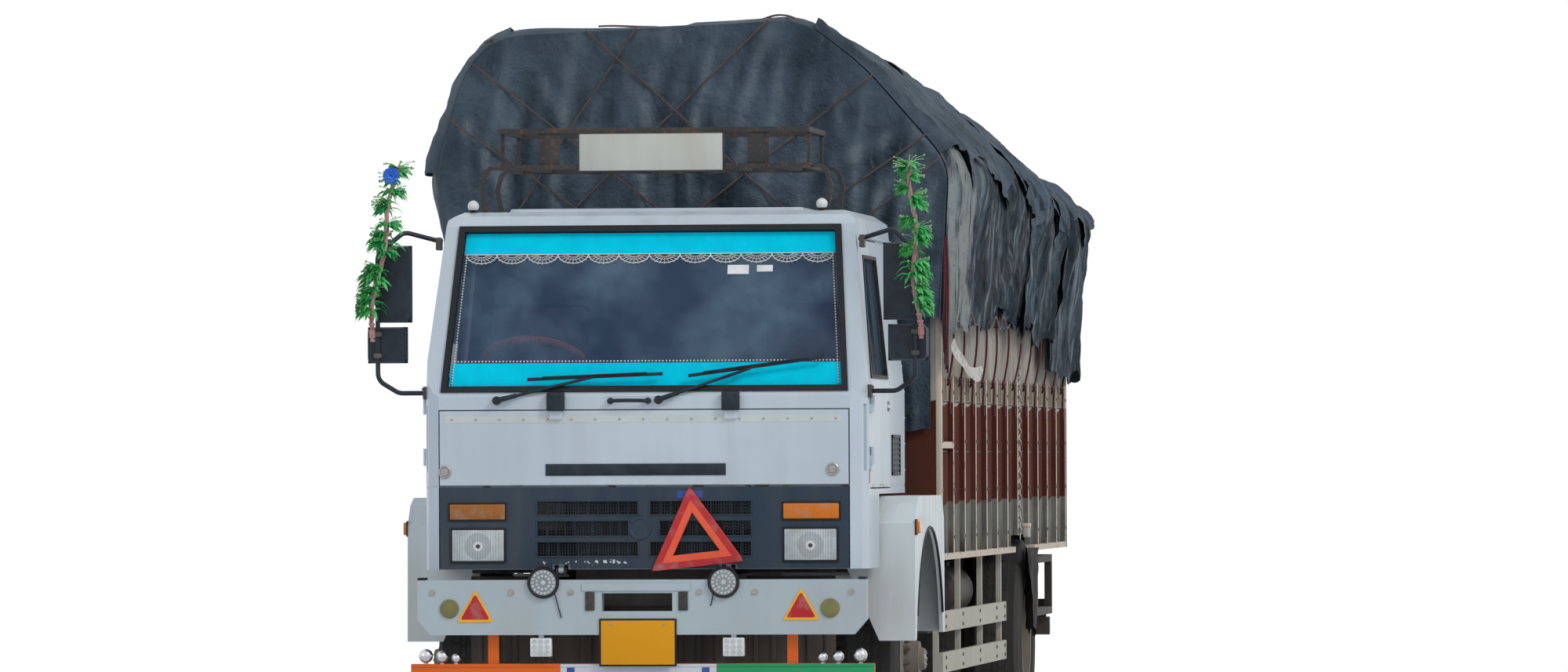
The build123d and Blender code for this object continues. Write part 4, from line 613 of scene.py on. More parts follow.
@dataclass(frozen=True)
class BodyPaint:
    """Body planks: grey below, a brown band with a scalloped edge, bleached beige above; cream post faces."""

    name: str
    low_z: float = 1.267
    high_z: float = 1.754
    post_face: float = 1.1755  # the posts' outer faces, beyond this half width, are cream
    sill_z: float = 1.0115
    hook_face: float = 1.1505
    bay: float = 0.5757
    first_bay: float = 2.3
    posts_cream: bool = True

    def material(self) -> bpy.types.Material:
        """Builds the material.

        Returns:
            The finished material.
        """
        shader = Shader(self.name)
        ragged = shader.span(shader.noise(14, 4), 0.3, 0.7, -0.006, 0.006)
        if self.posts_cream:
            turn = shader.math("MULTIPLY", shader.math("SUBTRACT", shader.axis("Y"), behind(self.first_bay)),
                               math.pi / self.bay)
            scallop = shader.math("MULTIPLY", shader.math("ABSOLUTE", shader.math("SINE", turn)), 0.022)
            ragged = shader.math("ADD", ragged, scallop)
        height = shader.math("ADD", shader.axis("Z"), ragged)
        grey = shader.mix(shader.span(shader.noise(5, 6), 0.35, 0.7), linear(120, 120, 114),
                          linear(92, 91, 86))
        # dark vertical streaks on the grey near the bottom of the wall
        specks = shader.span(shader.noise(16, 4, shader.stretched((1, 1, 0.2))), 0.5, 0.56)
        low_dark_streaks = shader.math("MULTIPLY", specks, shader.span(shader.axis("Z"), 1.03, 1.16, 1, 0))
        grey = shader.mix(shader.math("MULTIPLY", low_dark_streaks, 0.8), grey, linear(44, 42, 38))
        brown = shader.mix(shader.span(shader.noise(3, 6, shader.stretched((1, 1, 0.3))), 0.3, 0.72),
                           linear(88, 41, 31), linear(70, 34, 27))
        beige = shader.mix(shader.span(shader.noise(4, 6, shader.stretched((1, 1, 0.2))), 0.35, 0.7),
                           linear(166, 162, 152), linear(140, 134, 124))
        lower = shader.mix(shader.span(height, self.low_z - 0.003, self.low_z + 0.003), grey, brown)
        walls = shader.mix(shader.span(height, self.high_z - 0.003, self.high_z + 0.003), lower, beige)
        if self.posts_cream:
            reach = shader.math("ABSOLUTE", shader.axis("X"))
            hooks = shader.math("MULTIPLY", shader.span(reach, self.hook_face - 0.0004, self.hook_face),
                                shader.span(height, self.high_z + 0.008, self.high_z + 0.012))
            walls = shader.mix(hooks, walls, linear(150, 140, 126))
            cream = shader.mix(shader.span(shader.noise(26, 5), 0.6, 0.66), linear(204, 190, 174),
                               linear(118, 98, 86))
            faces = shader.math("MAXIMUM", shader.span(reach, self.post_face - 0.0004, self.post_face),
                                shader.span(shader.axis("Z"), self.sill_z, self.sill_z - 0.001))
            walls = shader.mix(faces, walls, cream)
        chips = shader.group(GROUPS.chips, Vector=shader.place, Paint=walls, Bare=linear(70, 60, 52),
                             Amount=0.09)
        grime = shader.group(GROUPS.grime, Vector=shader.place, Paint=chips.outputs["Color"], Dust=DUST,
                             Amount=0.07)
        grain = shader.noise(34, 5, shader.stretched((1, 0.12, 1)))
        normal = shader.bump(grain, 0.3, 0.002, shader.bump(shader.noise(2.1, 2), 0.4, 0.01))
        return shader.surface(Base_Color=grime.outputs["Color"], Roughness=0.92, Normal=normal,
                              Specular_IOR_Level=0.06)


@dataclass(frozen=True)
class Planks:
    """Worn load floor planks, with dark gaps along their length."""

    name: str = "floor_timber"
    plank: float = 0.19

    def material(self) -> bpy.types.Material:
        """Builds the material.

        Returns:
            The finished material.
        """
        shader = Shader(self.name)
        grain = shader.noise(9, 8, shader.stretched((6, 0.5, 6)))
        colour = shader.mix(shader.span(grain, 0.3, 0.7), linear(128, 104, 80), linear(82, 66, 52))
        gaps = shader.span(shader.wave(0.5 / self.plank, 0, "X"), 0.0, 0.03, 1, 0)
        colour = shader.mix(gaps, colour, linear(30, 25, 22))
        normal = shader.bump(grain, 0.4, 0.003)
        return shader.surface(Base_Color=colour, Roughness=0.85, Normal=normal)


@dataclass(frozen=True)
class Tarpaulin:
    """Weathered cover cloth: slate, with a painted highlight on the tops of its folds and painted shade in
    its creases, bleached patches and a coarse weave.
    """

    name: str = "cover_cloth"
    dark: Colour = linear(43, 55, 65)
    worn: Colour = linear(84, 98, 110)
    # pale colour of the painted highlights on the folds
    ridge: Colour = linear(136, 146, 152)
    bleached: Colour = linear(146, 150, 148)
    bleached_share: float = 0.0
    bleached_back: float = 2.9  # the patches fade out behind this
    streaks: float = 0.0  # share of painted highlight streaks down the folds, with narrow dark lines among them
    highlight: float = 0.4  # how far a painted highlight lightens the tops of folds

    def material(self) -> bpy.types.Material:
        """Builds the material.

        Returns:
            The finished material.
        """
        shader = Shader(self.name)
        shade = shader.mix(shader.span(shader.noise(1.6, 8), 0.34, 0.68), self.dark, self.worn)
        clouds = shader.noise(3.4, 9, shader.stretched((1, 1, 0.45)))
        shade = shader.mix(shader.span(clouds, 0.46, 0.68, 0, 0.6), shade, linear(92, 106, 118))
        if self.bleached_share > 0:
            patches = shader.noise(4.2, 8, shader.stretched((1, 1.2, 0.4)))
            near = shader.span(shader.axis("Y"), behind(self.bleached_back),
                               behind(self.bleached_back + 0.4), 1, 0)
            edge = 0.66 - 0.3 * self.bleached_share
            share = shader.math("MULTIPLY", shader.span(patches, edge, edge + 0.07, 0, 0.9), near)
            shade = shader.mix(share, shade, self.bleached)
        # painted highlight streaks down the folds, with narrow dark lines among them
        if self.streaks > 0:
            lines = shader.noise(6.5, 6, shader.stretched((1, 1.5, 0.16)))
            shade = shader.mix(shader.span(lines, 0.56, 0.64, 0, self.streaks), shade, self.ridge)
            narrow = shader.noise(17, 4, shader.stretched((1, 1.2, 0.1)))
            shade = shader.mix(shader.span(narrow, 0.58, 0.66, 0, self.streaks), shade, linear(150, 158, 162))
            shade = shader.mix(shader.span(narrow, 0.44, 0.36, 0, 0.8), shade, linear(16, 21, 26))
        # painted highlight on the convex tops of folds and painted shade in the concave creases, read from
        # the mesh's pointiness
        fold = shader.node("NewGeometry").outputs["Pointiness"]
        shade = shader.mix(shader.span(fold, 0.503, 0.54, 0, self.highlight), shade, self.ridge)
        shade = shader.mix(shader.span(fold, 0.497, 0.465, 0, 0.6), shade, linear(22, 29, 35))
        scuffs = shader.noise(38, 9, shader.stretched((1, 1, 0.4)))
        shade = shader.mix(shader.span(scuffs, 0.6, 0.74, 0, 0.4), shade, linear(112, 118, 120))
        weave = shader.group(GROUPS.weave, Vector=shader.place, Threads=160.0)
        creases = shader.bump(shader.noise(7, 9, roughness=0.62), 1.0, 0.06)
        fine = shader.bump(scuffs, 0.35, 0.002, creases)
        normal = shader.bump(weave.outputs["Height"], 0.25, 0.0008, fine)
        return shader.surface(Base_Color=shade, Roughness=shader.span(clouds, 0.3, 0.8, 0.5, 0.8),
                              Normal=normal, Specular_IOR_Level=0.1)


@dataclass(frozen=True)
class Rubber:
    """Black rubber with dust in it."""

    name: str
    colour: Colour = linear(38, 38, 40)
    dust_amount: float = 0.3
    roughness: float = 0.8

    def material(self) -> bpy.types.Material:
        """Builds the material.

        Returns:
            The finished material.
        """
        shader = Shader(self.name)
        grime = shader.group(GROUPS.grime, Vector=shader.place, Paint=self.colour,
                             Dust=linear(120, 112, 100), Amount=self.dust_amount)
        normal = shader.bump(shader.noise(90, 4), 0.25, 0.001)
        return shader.surface(Base_Color=grime.outputs["Color"], Roughness=self.roughness, Normal=normal)


@dataclass(frozen=True)
class Moulded:
    """Moulded plastic with a fine grain, faded in places."""

    name: str
    colour: Colour
    faded: Colour
    roughness: float = 0.5
    coat: float = 0.0
    grain: float = 0.15
    shine: float = 0.28

    def material(self) -> bpy.types.Material:
        """Builds the material.

        Returns:
            The finished material.
        """
        shader = Shader(self.name)
        shade = shader.mix(shader.span(shader.noise(12, 5), 0.35, 0.7), self.colour, self.faded)
        normal = shader.bump(shader.noise(320, 2), self.grain, 0.0004)
        return shader.surface(Base_Color=shade, Roughness=self.roughness, Normal=normal,
                              Specular_IOR_Level=self.shine, Coat_Weight=self.coat, Coat_Roughness=0.12)


@dataclass(frozen=True)
class Metal:
    """Bare or plated metal with light wear."""

    name: str
    colour: Colour
    roughness: float = 0.2
    wear: float = 0.2

    def material(self) -> bpy.types.Material:
        """Builds the material.

        Returns:
            The finished material.
        """
        shader = Shader(self.name)
        wear = shader.noise(30, 6)
        rough = shader.span(wear, 0.35, 0.7, self.roughness, self.roughness + self.wear)
        shade = shader.mix(shader.span(wear, 0.55, 0.75), self.colour,
                           tuple(channel * 0.7 for channel in self.colour))
        return shader.surface(Base_Color=shade, Metallic=1.0, Roughness=rough,
                              Normal=shader.bump(wear, 0.08, 0.0004))


@dataclass(frozen=True)
class Glass:
    """Window glass: tinted, dusty at its edges, clear enough to see the inside."""

    name: str
    clear: float = 0.7

    def material(self) -> bpy.types.Material:
        """Builds the material.

        Returns:
            The finished material.
        """
        shader = Shader(self.name)
        dust = shader.noise(3, 6)
        alpha = shader.span(dust, 0.4, 0.75, 1 - self.clear, 1 - self.clear * 0.75)
        shade = shader.mix(shader.span(dust, 0.4, 0.75), linear(30, 70, 104), linear(104, 134, 156))
        return shader.surface(Base_Color=shade, Roughness=0.05, Alpha=alpha, Specular_IOR_Level=0.45)


@dataclass(frozen=True)
class HeadlampGlass:
    """Old headlamp: grey ribbed glass over a cloudy dish, the dish a painted reflection brightest towards the
    middle, and the bulb cap in the middle ringed by a painted glint.
    """

    name: str
    centre: tuple[float, float]  # x and z of the bulb

    def material(self) -> bpy.types.Material:
        """Builds the material.

        Returns:
            The finished material.
        """
        shader = Shader(self.name)
        across = shader.math("SUBTRACT", shader.axis("X"), self.centre[0])
        up = shader.math("SUBTRACT", shader.axis("Z"), self.centre[1])
        square = shader.math("ADD", shader.math("MULTIPLY", across, across), shader.math("MULTIPLY", up, up))
        radius = shader.math("SQRT", square)
        # the reflector dish as a painted reflection: cloudy grey, brightest towards the middle, darker inside
        # its rim
        dish = shader.mix(shader.span(shader.noise(17, 4, shader.stretched((1, 1, 1.6))), 0.34, 0.66),
                          linear(176, 184, 186), linear(112, 118, 120))
        dish = shader.mix(shader.span(radius, 0.035, 0.1, 0.0, 0.45), linear(196, 202, 204), dish)
        dish = shader.mix(shader.span(radius, 0.060, 0.064), shader.mix(0.5, dish, linear(132, 138, 140)),
                          dish)
        # bulb cap: dark in the middle, ringed by a painted glint
        bulb = shader.mix(shader.span(radius, 0.009, 0.0115), linear(52, 54, 56), linear(214, 216, 214))
        colour = shader.mix(shader.span(radius, 0.021, 0.024), bulb, dish)
        ribs = shader.wave(26, 0.1, "X")
        colour = shader.mix(shader.span(ribs, 0.8, 1.0, 0, 0.35), colour, linear(84, 92, 96))
        haze = shader.span(shader.noise(9, 5), 0.5, 0.75, 0, 0.5)
        colour = shader.mix(haze, colour, linear(150, 146, 132))
        return shader.surface(Base_Color=colour, Roughness=0.14, Normal=shader.bump(ribs, 0.35, 0.003),
                              Coat_Weight=0.3, Coat_Roughness=0.05)


@dataclass(frozen=True)
class Lens:
    """Lamp lens: a moulded clear or coloured lens over a bright reflector, with ribs."""

    name: str
    colour: Colour
    ribs: float = 90
    roughness: float = 0.12
    metallic: float = 0.0

    def material(self) -> bpy.types.Material:
        """Builds the material.

        Returns:
            The finished material.
        """
        shader = Shader(self.name)
        ribs = shader.wave(self.ribs, 0.2, "X")
        shade = shader.mix(shader.span(ribs, 0.1, 0.9), self.colour,
                           tuple(channel * 0.72 for channel in self.colour))
        smear = shader.span(shader.noise(16, 5), 0.5, 0.75, 0, 0.5)
        shade = shader.mix(smear, shade, linear(150, 146, 138))
        return shader.surface(Base_Color=shade, Roughness=self.roughness, Metallic=self.metallic,
                              Normal=shader.bump(ribs, 0.3, 0.002), Coat_Weight=0.25, Coat_Roughness=0.04)


@dataclass(frozen=True)
class Woven:
    """Upholstery or rope: a coloured weave with worn tops."""

    name: str
    colour: Colour
    worn: Colour
    threads: float = 120.0

    def material(self) -> bpy.types.Material:
        """Builds the material.

        Returns:
            The finished material.
        """
        shader = Shader(self.name)
        shade = shader.mix(shader.span(shader.noise(18, 6), 0.38, 0.66), self.colour, self.worn)
        weave = shader.group(GROUPS.weave, Vector=shader.place, Threads=self.threads)
        return shader.surface(Base_Color=shade, Roughness=0.88, Sheen_Weight=0.3,
                              Normal=shader.bump(weave.outputs["Height"], 0.5, 0.0015))


class Bench:
    """Mesh making with bmesh operators, shared by the sub-assemblies."""

    @staticmethod
    def finish(name: str, mesh: bmesh.types.BMesh, finish: bpy.types.Material, body: str,
               smooth: float = 35, weld: bool = False,
               extra: Sequence[bpy.types.Material] = ()) -> bpy.types.Object:
        """Turns a bmesh into a piece that rides on a body.

        Args:
            name: Piece name.
            mesh: Shape, freed here.
            finish: Material of faces with index 0.
            body: CAD body that carries the piece.
            smooth: Angle in degrees below which edges shade round.
            weld: Whether doubled vertices are merged first.
            extra: Materials of the next face indices.

        Returns:
            The new object.
        """
        if weld:
            bmesh.ops.remove_doubles(mesh, verts=mesh.verts, dist=0.0002)
        bmesh.ops.recalc_face_normals(mesh, faces=mesh.faces)
        for face in mesh.faces:
            face.smooth = True
        limit = math.radians(smooth)
        for edge in mesh.edges:
            edge.smooth = len(edge.link_faces) == 2 and edge.calc_face_angle(0) < limit
        data = bpy.data.meshes.new(name)
        mesh.to_mesh(data)
        mesh.free()
        for material in (finish, *extra):
            data.materials.append(material)
        made = bpy.data.objects.new(name, data)
        bpy.context.scene.collection.objects.link(made)
        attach(made, body)
        return made

    @staticmethod
    def block(mesh: Mesh, low: Point, high: Point, bevel: float = 0.0, segments: int = 2,
              turn: Optional[Matrix] = None) -> list:
        """Adds a box between two corners, with rounded edges.

        Args:
            mesh: Shape that receives it.
            low: Lowest corner.
            high: Highest corner.
            bevel: Width of the rounding.
            segments: Rounding steps.
            turn: Optional matrix applied about the box's centre.

        Returns:
            The new vertices.
        """
        size = [high[i] - low[i] for i in range(3)]
        centre = Vector([(high[i] + low[i]) / 2 for i in range(3)])
        place = Matrix.Translation(centre) @ (turn or Matrix.Identity(4)) @ Matrix.Diagonal((*size, 1))
        made = bmesh.ops.create_cube(mesh, size=1, matrix=place)["verts"]
        if bevel:
            edges = list({edge for vertex in made for edge in vertex.link_edges})
            result = bmesh.ops.bevel(mesh, geom=edges, offset=bevel, offset_type="OFFSET", affect="EDGES",
                                     segments=segments, profile=0.5, material=-1, clamp_overlap=True)
            made = list({vertex for face in result["faces"] for vertex in face.verts})
        return made

    @staticmethod
    def toward(direction: Vector, origin: Point) -> Matrix:
        """Matrix that turns +Z to a direction and moves it to origin."""
        turn = Vector((0, 0, 1)).rotation_difference(Vector(direction).normalized()).to_matrix().to_4x4()
        return Matrix.Translation(Vector(origin)) @ turn

    @classmethod
    def rod(cls, mesh: Mesh, start: Point, end: Point, radius: float, sides: int = 12,
            end_radius: Optional[float] = None) -> list:
        """Adds a round bar or cone between two points and returns its vertices.

        Args:
            mesh: Mesh to add to.
            start: First end.
            end: Second end.
            radius: Radius at the first end.
            sides: Faces round it.
            end_radius: Radius at the second end, the same when left out.

        Returns:
            The new vertices.
        """
        start, end = Vector(start), Vector(end)
        along = end - start
        return bmesh.ops.create_cone(
            mesh, cap_ends=True, segments=sides, radius1=radius,
            radius2=radius if end_radius is None else end_radius, depth=along.length,
            matrix=cls.toward(along, (start + end) / 2))["verts"]

    @classmethod
    def lathe(cls, mesh: Mesh, outline: Sequence[tuple[float, float]], origin: Point, axis: Point,
              steps: int = 32) -> None:
        """Adds a turned form.

        Args:
            mesh: Shape that receives it.
            outline: Pairs of distance along the axis and radius.
            origin: Zero of the axis.
            axis: Direction of the axis.
            steps: Steps round the turn.
        """
        place = cls.toward(Vector(axis), origin)
        verts = [mesh.verts.new(place @ Vector((radius, 0, along))) for along, radius in outline]
        edges = [mesh.edges.new(pair) for pair in zip(verts, verts[1:])]
        before = set(mesh.verts) - set(verts)
        bmesh.ops.spin(mesh, geom=verts + edges, cent=Vector(origin), axis=Vector(axis).normalized(),
                       angle=math.tau, steps=steps, use_merge=True, use_duplicate=False)
        fresh = [vertex for vertex in mesh.verts if vertex not in before]
        bmesh.ops.remove_doubles(mesh, verts=fresh, dist=0.0001)

    @staticmethod
    def sheet(mesh: Mesh, corners: Sequence[Point], thickness: float = 0.0) -> list:
        """Adds a flat face through corners, given a thickness along its normal when asked.

        Args:
            mesh: Mesh to add to.
            corners: Corners in order.
            thickness: Thickness along the normal, 0 for a bare face.

        Returns:
            The vertices.
        """
        face = mesh.faces.new([mesh.verts.new(corner) for corner in corners])
        face.normal_update()
        if thickness:
            push = face.normal * thickness
            made = bmesh.ops.extrude_face_region(mesh, geom=[face])["geom"]
            verts = [item for item in made if isinstance(item, bmesh.types.BMVert)]
            bmesh.ops.translate(mesh, verts=verts, vec=push)
            return list(face.verts) + verts
        return list(face.verts)

    @staticmethod
    def tubes(mesh: Mesh, runs: Iterable[Sequence[Point]], radius: float, sides: int = 3, soft: bool = False,
              closed: bool = False) -> None:
        """Adds round tubes along runs of points.

        Args:
            mesh: Shape that receives them.
            runs: Point lists, one a tube.
            radius: Tube radius.
            sides: Bevel resolution of the round.
            soft: Whether the run is a smooth curve through its control points.
            closed: Whether each run is a ring.
        """
        data = bpy.data.curves.new("run", "CURVE")
        data.dimensions = "3D"
        data.bevel_depth = radius
        data.bevel_resolution = sides
        data.use_fill_caps = not closed
        data.resolution_u = 6
        for run in runs:
            spline = data.splines.new("NURBS" if soft else "POLY")
            spline.points.add(len(run) - 1)
            for point, place in zip(spline.points, run):
                point.co = (*place, 1)
            if soft:
                spline.order_u = 3
                spline.use_endpoint_u = not closed
            spline.use_cyclic_u = closed
        holder = bpy.data.objects.new("run", data)
        made = bpy.data.meshes.new_from_object(holder)
        mesh.from_mesh(made)
        bpy.data.objects.remove(holder)
        bpy.data.curves.remove(data)
        bpy.data.meshes.remove(made)

    @staticmethod
    def paint(names: Iterable[str], finish: bpy.types.Material) -> None:
        """Gives CAD nodes a finish.

        Args:
            names: Node names.
            finish: Material for them.
        """
        for name in names:
            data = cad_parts[name].data
            data.materials.clear()
            data.materials.append(finish)
            for polygon in data.polygons:
                polygon.material_index = 0


class Finishes:
    """Every material of the lorry, made once."""

    def __init__(self) -> None:
        """Builds the materials."""
        self.cab = CabPaint().material()
        self.fender = PaintedSteel("fender_white", linear(214, 222, 224), dust_amount=0.26,
                                   chip_amount=0.05).material()
        self.bumper = PaintedSteel("bumper_white", linear(176, 191, 198), dust_amount=0.24,
                                   chip_amount=0.07, roughness=0.36).material()
        self.chassis = PaintedSteel("chassis_black", linear(30, 30, 33), dust_amount=0.14,
                                    roughness=0.6, wave=0.1).material()
        self.engine = PaintedSteel("engine_grey", linear(48, 49, 50), dust_amount=0.25).material()
        self.tank = PaintedSteel("tank_grey", linear(48, 54, 60), dust_amount=0.12).material()
        self.cream = PaintedSteel("cream_boards", linear(184, 182, 170), chip_amount=0.12,
                                  dust_amount=0.3, roughness=0.7).material()
        self.rack = PaintedSteel("rusty_rack", linear(50, 50, 52), chip_amount=0.3, dust_amount=0.12,
                                 roughness=0.62, bare=linear(88, 62, 52)).material()
        self.board = PaintedSteel("sign_board", linear(198, 200, 192), chip_amount=0.1,
                                  scraped=(-0.4, 0.4, 2.82, 2.845), scrape_amount=0.12).material()
        self.grille = PaintedSteel("grille_blue_grey", linear(28, 50, 68), bare=linear(206, 212, 214),
                                   chip_amount=0.0, dust_amount=0.1, roughness=0.5, wave=0.15,
                                   scraped=(-0.6, -0.06, 0.985, 1.012), scrape_amount=0.3).material()
        self.rim = PaintedSteel("wheel_grey", linear(78, 80, 82), chip_amount=0.14, dust_amount=0.5,
                                roughness=0.6, wave=0.1).material()
        self.nut = PaintedSteel("nut_steel", linear(60, 60, 60), chip_amount=0.14).material()
        self.body = BodyPaint("body_walls").material()
        self.head = BodyPaint("headboard_planks", posts_cream=False).material()
        self.tail = BodyPaint("tail_planks", low_z=1.2, high_z=1.62, posts_cream=False).material()
        self.cream_post = PaintedSteel("post_cream", linear(212, 196, 180), bare=linear(120, 92, 78),
                                       chip_amount=0.13, dust_amount=0.3, roughness=0.7).material()
        self.timber = Planks().material()
        self.tarp = Tarpaulin().material()
        self.rubber = Rubber("black_rubber").material()
        self.tyre = Rubber("tyre_rubber", linear(34, 35, 38), 0.14, 0.85).material()
        self.seal = Rubber("window_seal", linear(14, 19, 26), 0.05, 0.55).material()
        self.torn = Rubber("torn_flap_rubber", linear(22, 26, 32), 0.2, 0.7).material()
        self.black = Moulded("black_plastic", linear(24, 32, 40), linear(42, 52, 62)).material()
        self.trim = Moulded("cab_trim", linear(66, 76, 86), linear(84, 94, 102), 0.7).material()
        self.amber = Lens("amber_lens", linear(222, 120, 0), 60).material()
        self.amber_dull = Lens("amber_dull", linear(164, 98, 26), 60).material()
        self.clear = Lens("clear_lens", linear(205, 208, 208), 70).material()
        self.lamp_dish = Moulded("lamp_dish", linear(148, 154, 156), linear(118, 124, 128), 0.3).material()
        self.red_lens = Lens("red_lens", linear(165, 20, 22), 60).material()
        self.chrome = Metal("chrome", (0.62, 0.63, 0.64), 0.09, 0.12).material()
        self.mirror = Metal("mirror_glass", (0.8, 0.82, 0.84), 0.02, 0.02).material()
        self.dull_steel = Metal("dull_steel", (0.36, 0.35, 0.34), 0.4, 0.25).material()
        self.glass = Glass("window_glass").material()
        self.reflector = Lens("red_reflector", linear(196, 18, 34), 220, 0.25).material()
        self.yellow = Moulded("yellow_plastic", linear(245, 182, 22), linear(232, 168, 20), 0.4).material()
        self.plate = PaintedSteel("blank_plate", linear(222, 152, 0), dust_amount=0.0, chip_amount=0.02,
                                  wave=0.05).material()
        self.olive = Moulded("olive_reflector", linear(128, 122, 74), linear(104, 100, 66), 0.3).material()
        self.orange = Moulded("triangle_orange", linear(238, 98, 66), linear(226, 84, 58), 0.4).material()
        self.triangle_red = Lens("triangle_red", linear(204, 34, 42), 260, 0.25).material()
        self.cyan = Moulded("cyan_film", linear(0, 206, 232), linear(0, 194, 222), 0.6, shine=0.05).material()
        self.lace = Woven("white_lace", linear(236, 236, 232), linear(212, 210, 204), 300).material()
        self.seat = Woven("seat_cloth", linear(96, 52, 46), linear(120, 74, 62)).material()
        self.wheel_cover = Woven("wheel_cover", linear(206, 62, 34), linear(176, 44, 30), 260).material()
        self.rope = Woven("brown_rope", linear(98, 76, 68), linear(76, 58, 52), 700).material()
        self.maroon = Woven("maroon_rope", linear(96, 24, 34), linear(70, 20, 28), 700).material()
        self.rag = Woven("white_rag", linear(216, 210, 200), linear(180, 172, 160), 900).material()
        self.leaf = Moulded("garland_green", linear(14, 150, 74), linear(104, 206, 112), 0.35).material()
        self.seed = Moulded("garland_seeds", linear(150, 196, 140), linear(84, 150, 96), 0.5).material()
        self.stem = Moulded("garland_stem", linear(190, 152, 148), linear(146, 96, 96), 0.5).material()
        self.petal = Moulded("garland_petal", linear(60, 110, 214), linear(90, 140, 230), 0.35).material()
        self.white_plastic = Moulded("white_plastic", linear(226, 228, 228), linear(200, 200, 198),
                                     0.3, 0.4).material()
        self.board_orange = PaintedSteel("board_orange", linear(220, 96, 10), dust_amount=0.04,
                                         chip_amount=0.06).material()
        self.board_white = PaintedSteel("board_white", linear(206, 214, 220), dust_amount=0.15,
                                        chip_amount=0.06).material()
        self.board_blue = PaintedSteel("board_blue", linear(26, 66, 152), dust_amount=0.15,
                                       chip_amount=0.06).material()
        self.board_green = PaintedSteel("board_green", linear(6, 150, 92), dust_amount=0.05,
                                        chip_amount=0.06).material()
        self.strip = PaintedSteel("tape_strip", linear(204, 208, 206), chip_amount=0.06,
                                  dust_amount=0.2).material()
        self.mesh = Moulded("grille_mesh", linear(28, 36, 44), linear(52, 62, 70), 0.5).material()


@dataclass
class Studio:
    """Camera, light, floor and backdrop."""

    camera_x: float = 5.72
    camera_back: float = -43.1
    camera_z: float = 1.456
    yaw: tuple[float, float] = (-0.1163, 0.9932)
    pitch: float = 0.776
    roll: float = -0.25
    lens: float = 215.3
    floor_size: float = 160.0

    def build(self) -> None:
        """Makes everything that isn't the lorry."""
        bpy.context.scene.view_settings.view_transform = "Standard"
        self.add_camera()
        self.add_world()
        self.add_lamps()
        self.add_floor()

    def add_camera(self) -> None:
        """Camera at the photo's view."""
        data = bpy.data.cameras.new("photo_view")
        data.lens = self.lens
        data.sensor_width = 36
        data.clip_end = 400
        camera = bpy.data.objects.new("photo_view", data)
        bpy.context.scene.collection.objects.link(camera)
        pitch = math.radians(self.pitch)
        flat = math.cos(pitch)
        look = Vector((self.yaw[0] * flat, self.yaw[1] * flat, math.sin(pitch)))
        turn = look.to_track_quat("-Z", "Y").to_matrix().to_4x4()
        camera.matrix_world = (Matrix.Translation((self.camera_x, behind(self.camera_back), self.camera_z))
                               @ turn @ Matrix.Rotation(math.radians(self.roll), 4, "Z"))
        bpy.context.scene.camera = camera

    @staticmethod
    def add_world() -> None:
        """White behind the lorry, soft grey light on it."""
        world = bpy.data.worlds.new("studio")
        world.use_nodes = True
        tree = world.node_tree
        tree.nodes.clear()
        path = tree.nodes.new("ShaderNodeLightPath")
        seen = path.outputs["Is Camera Ray"]
        for name in ("Is Glossy Ray", "Is Transmission Ray"):
            add = tree.nodes.new("ShaderNodeMath")
            add.operation = "MAXIMUM"
            tree.links.new(seen, add.inputs[0])
            tree.links.new(path.outputs[name], add.inputs[1])
            seen = add.outputs[0]
        strength = tree.nodes.new("ShaderNodeMapRange")
        strength.inputs["To Min"].default_value = 0.62
        strength.inputs["To Max"].default_value = 1.0
        tree.links.new(seen, strength.inputs["Value"])
        light = tree.nodes.new("ShaderNodeBackground")
        tint = tree.nodes.new("ShaderNodeMix")
        tint.data_type = "RGBA"
        tree.links.new(seen, tint.inputs["Factor"])
        tint.inputs[6].default_value = (0.88, 0.97, 1.08, 1)
        tint.inputs[7].default_value = (1, 1, 1, 1)
        tree.links.new(tint.outputs[2], light.inputs["Color"])
        tree.links.new(strength.outputs[0], light.inputs["Strength"])
        out = tree.nodes.new("ShaderNodeOutputWorld")
        tree.links.new(light.outputs[0], out.inputs["Surface"])
        bpy.context.scene.world = world

    @staticmethod
    def add_lamps() -> None:
        """A broad soft sun from the front left and a weaker one from the right."""
        for name, direction, strength, angle in (("key", (0.66, -0.45, 0.66), 1.2, 16),
                                                 ("fill", (-0.6, -0.6, 0.35), 0.2, 40)):
            data = bpy.data.lights.new(name, "SUN")
            data.energy = strength
            data.color = (1, 0.965, 0.91)
            data.angle = math.radians(angle)
            lamp = bpy.data.objects.new(name, data)
            lamp.rotation_euler = Vector(direction).to_track_quat("Z", "Y").to_euler()
            bpy.context.scene.collection.objects.link(lamp)

    def add_floor(self) -> None:
        """Pale floor that keeps the shadow and fades to white away from the lorry."""
        mesh = bmesh.new()
        bmesh.ops.create_grid(mesh, x_segments=1, y_segments=1, size=self.floor_size)
        data = bpy.data.meshes.new("studio_floor")
        mesh.to_mesh(data)
        mesh.free()
        shader = Shader("floor_paint")
        reach = shader.node("VectorMath", operation="LENGTH")
        shader.feed(reach.inputs[0], shader.stretched((0.5, 1, 0)))
        far = shader.span(reach.outputs["Value"], 4, 13)
        paint = shader.node("BsdfDiffuse")
        paint.inputs["Color"].default_value = (0.86, 0.86, 0.86, 1)
        white = shader.node("Emission")
        mix = shader.node("MixShader")
        path = shader.node("LightPath")
        share = shader.math("MULTIPLY", far, path.outputs["Is Camera Ray"])
        shader.feed(mix.inputs[0], share)
        shader.tree.links.new(paint.outputs[0], mix.inputs[1])
        shader.tree.links.new(white.outputs[0], mix.inputs[2])
        shader.tree.links.new(mix.outputs[0], shader.out.inputs["Surface"])
        data.materials.append(shader.material)
        floor = bpy.data.objects.new("studio_floor", data)
        bpy.context.scene.collection.objects.link(floor)


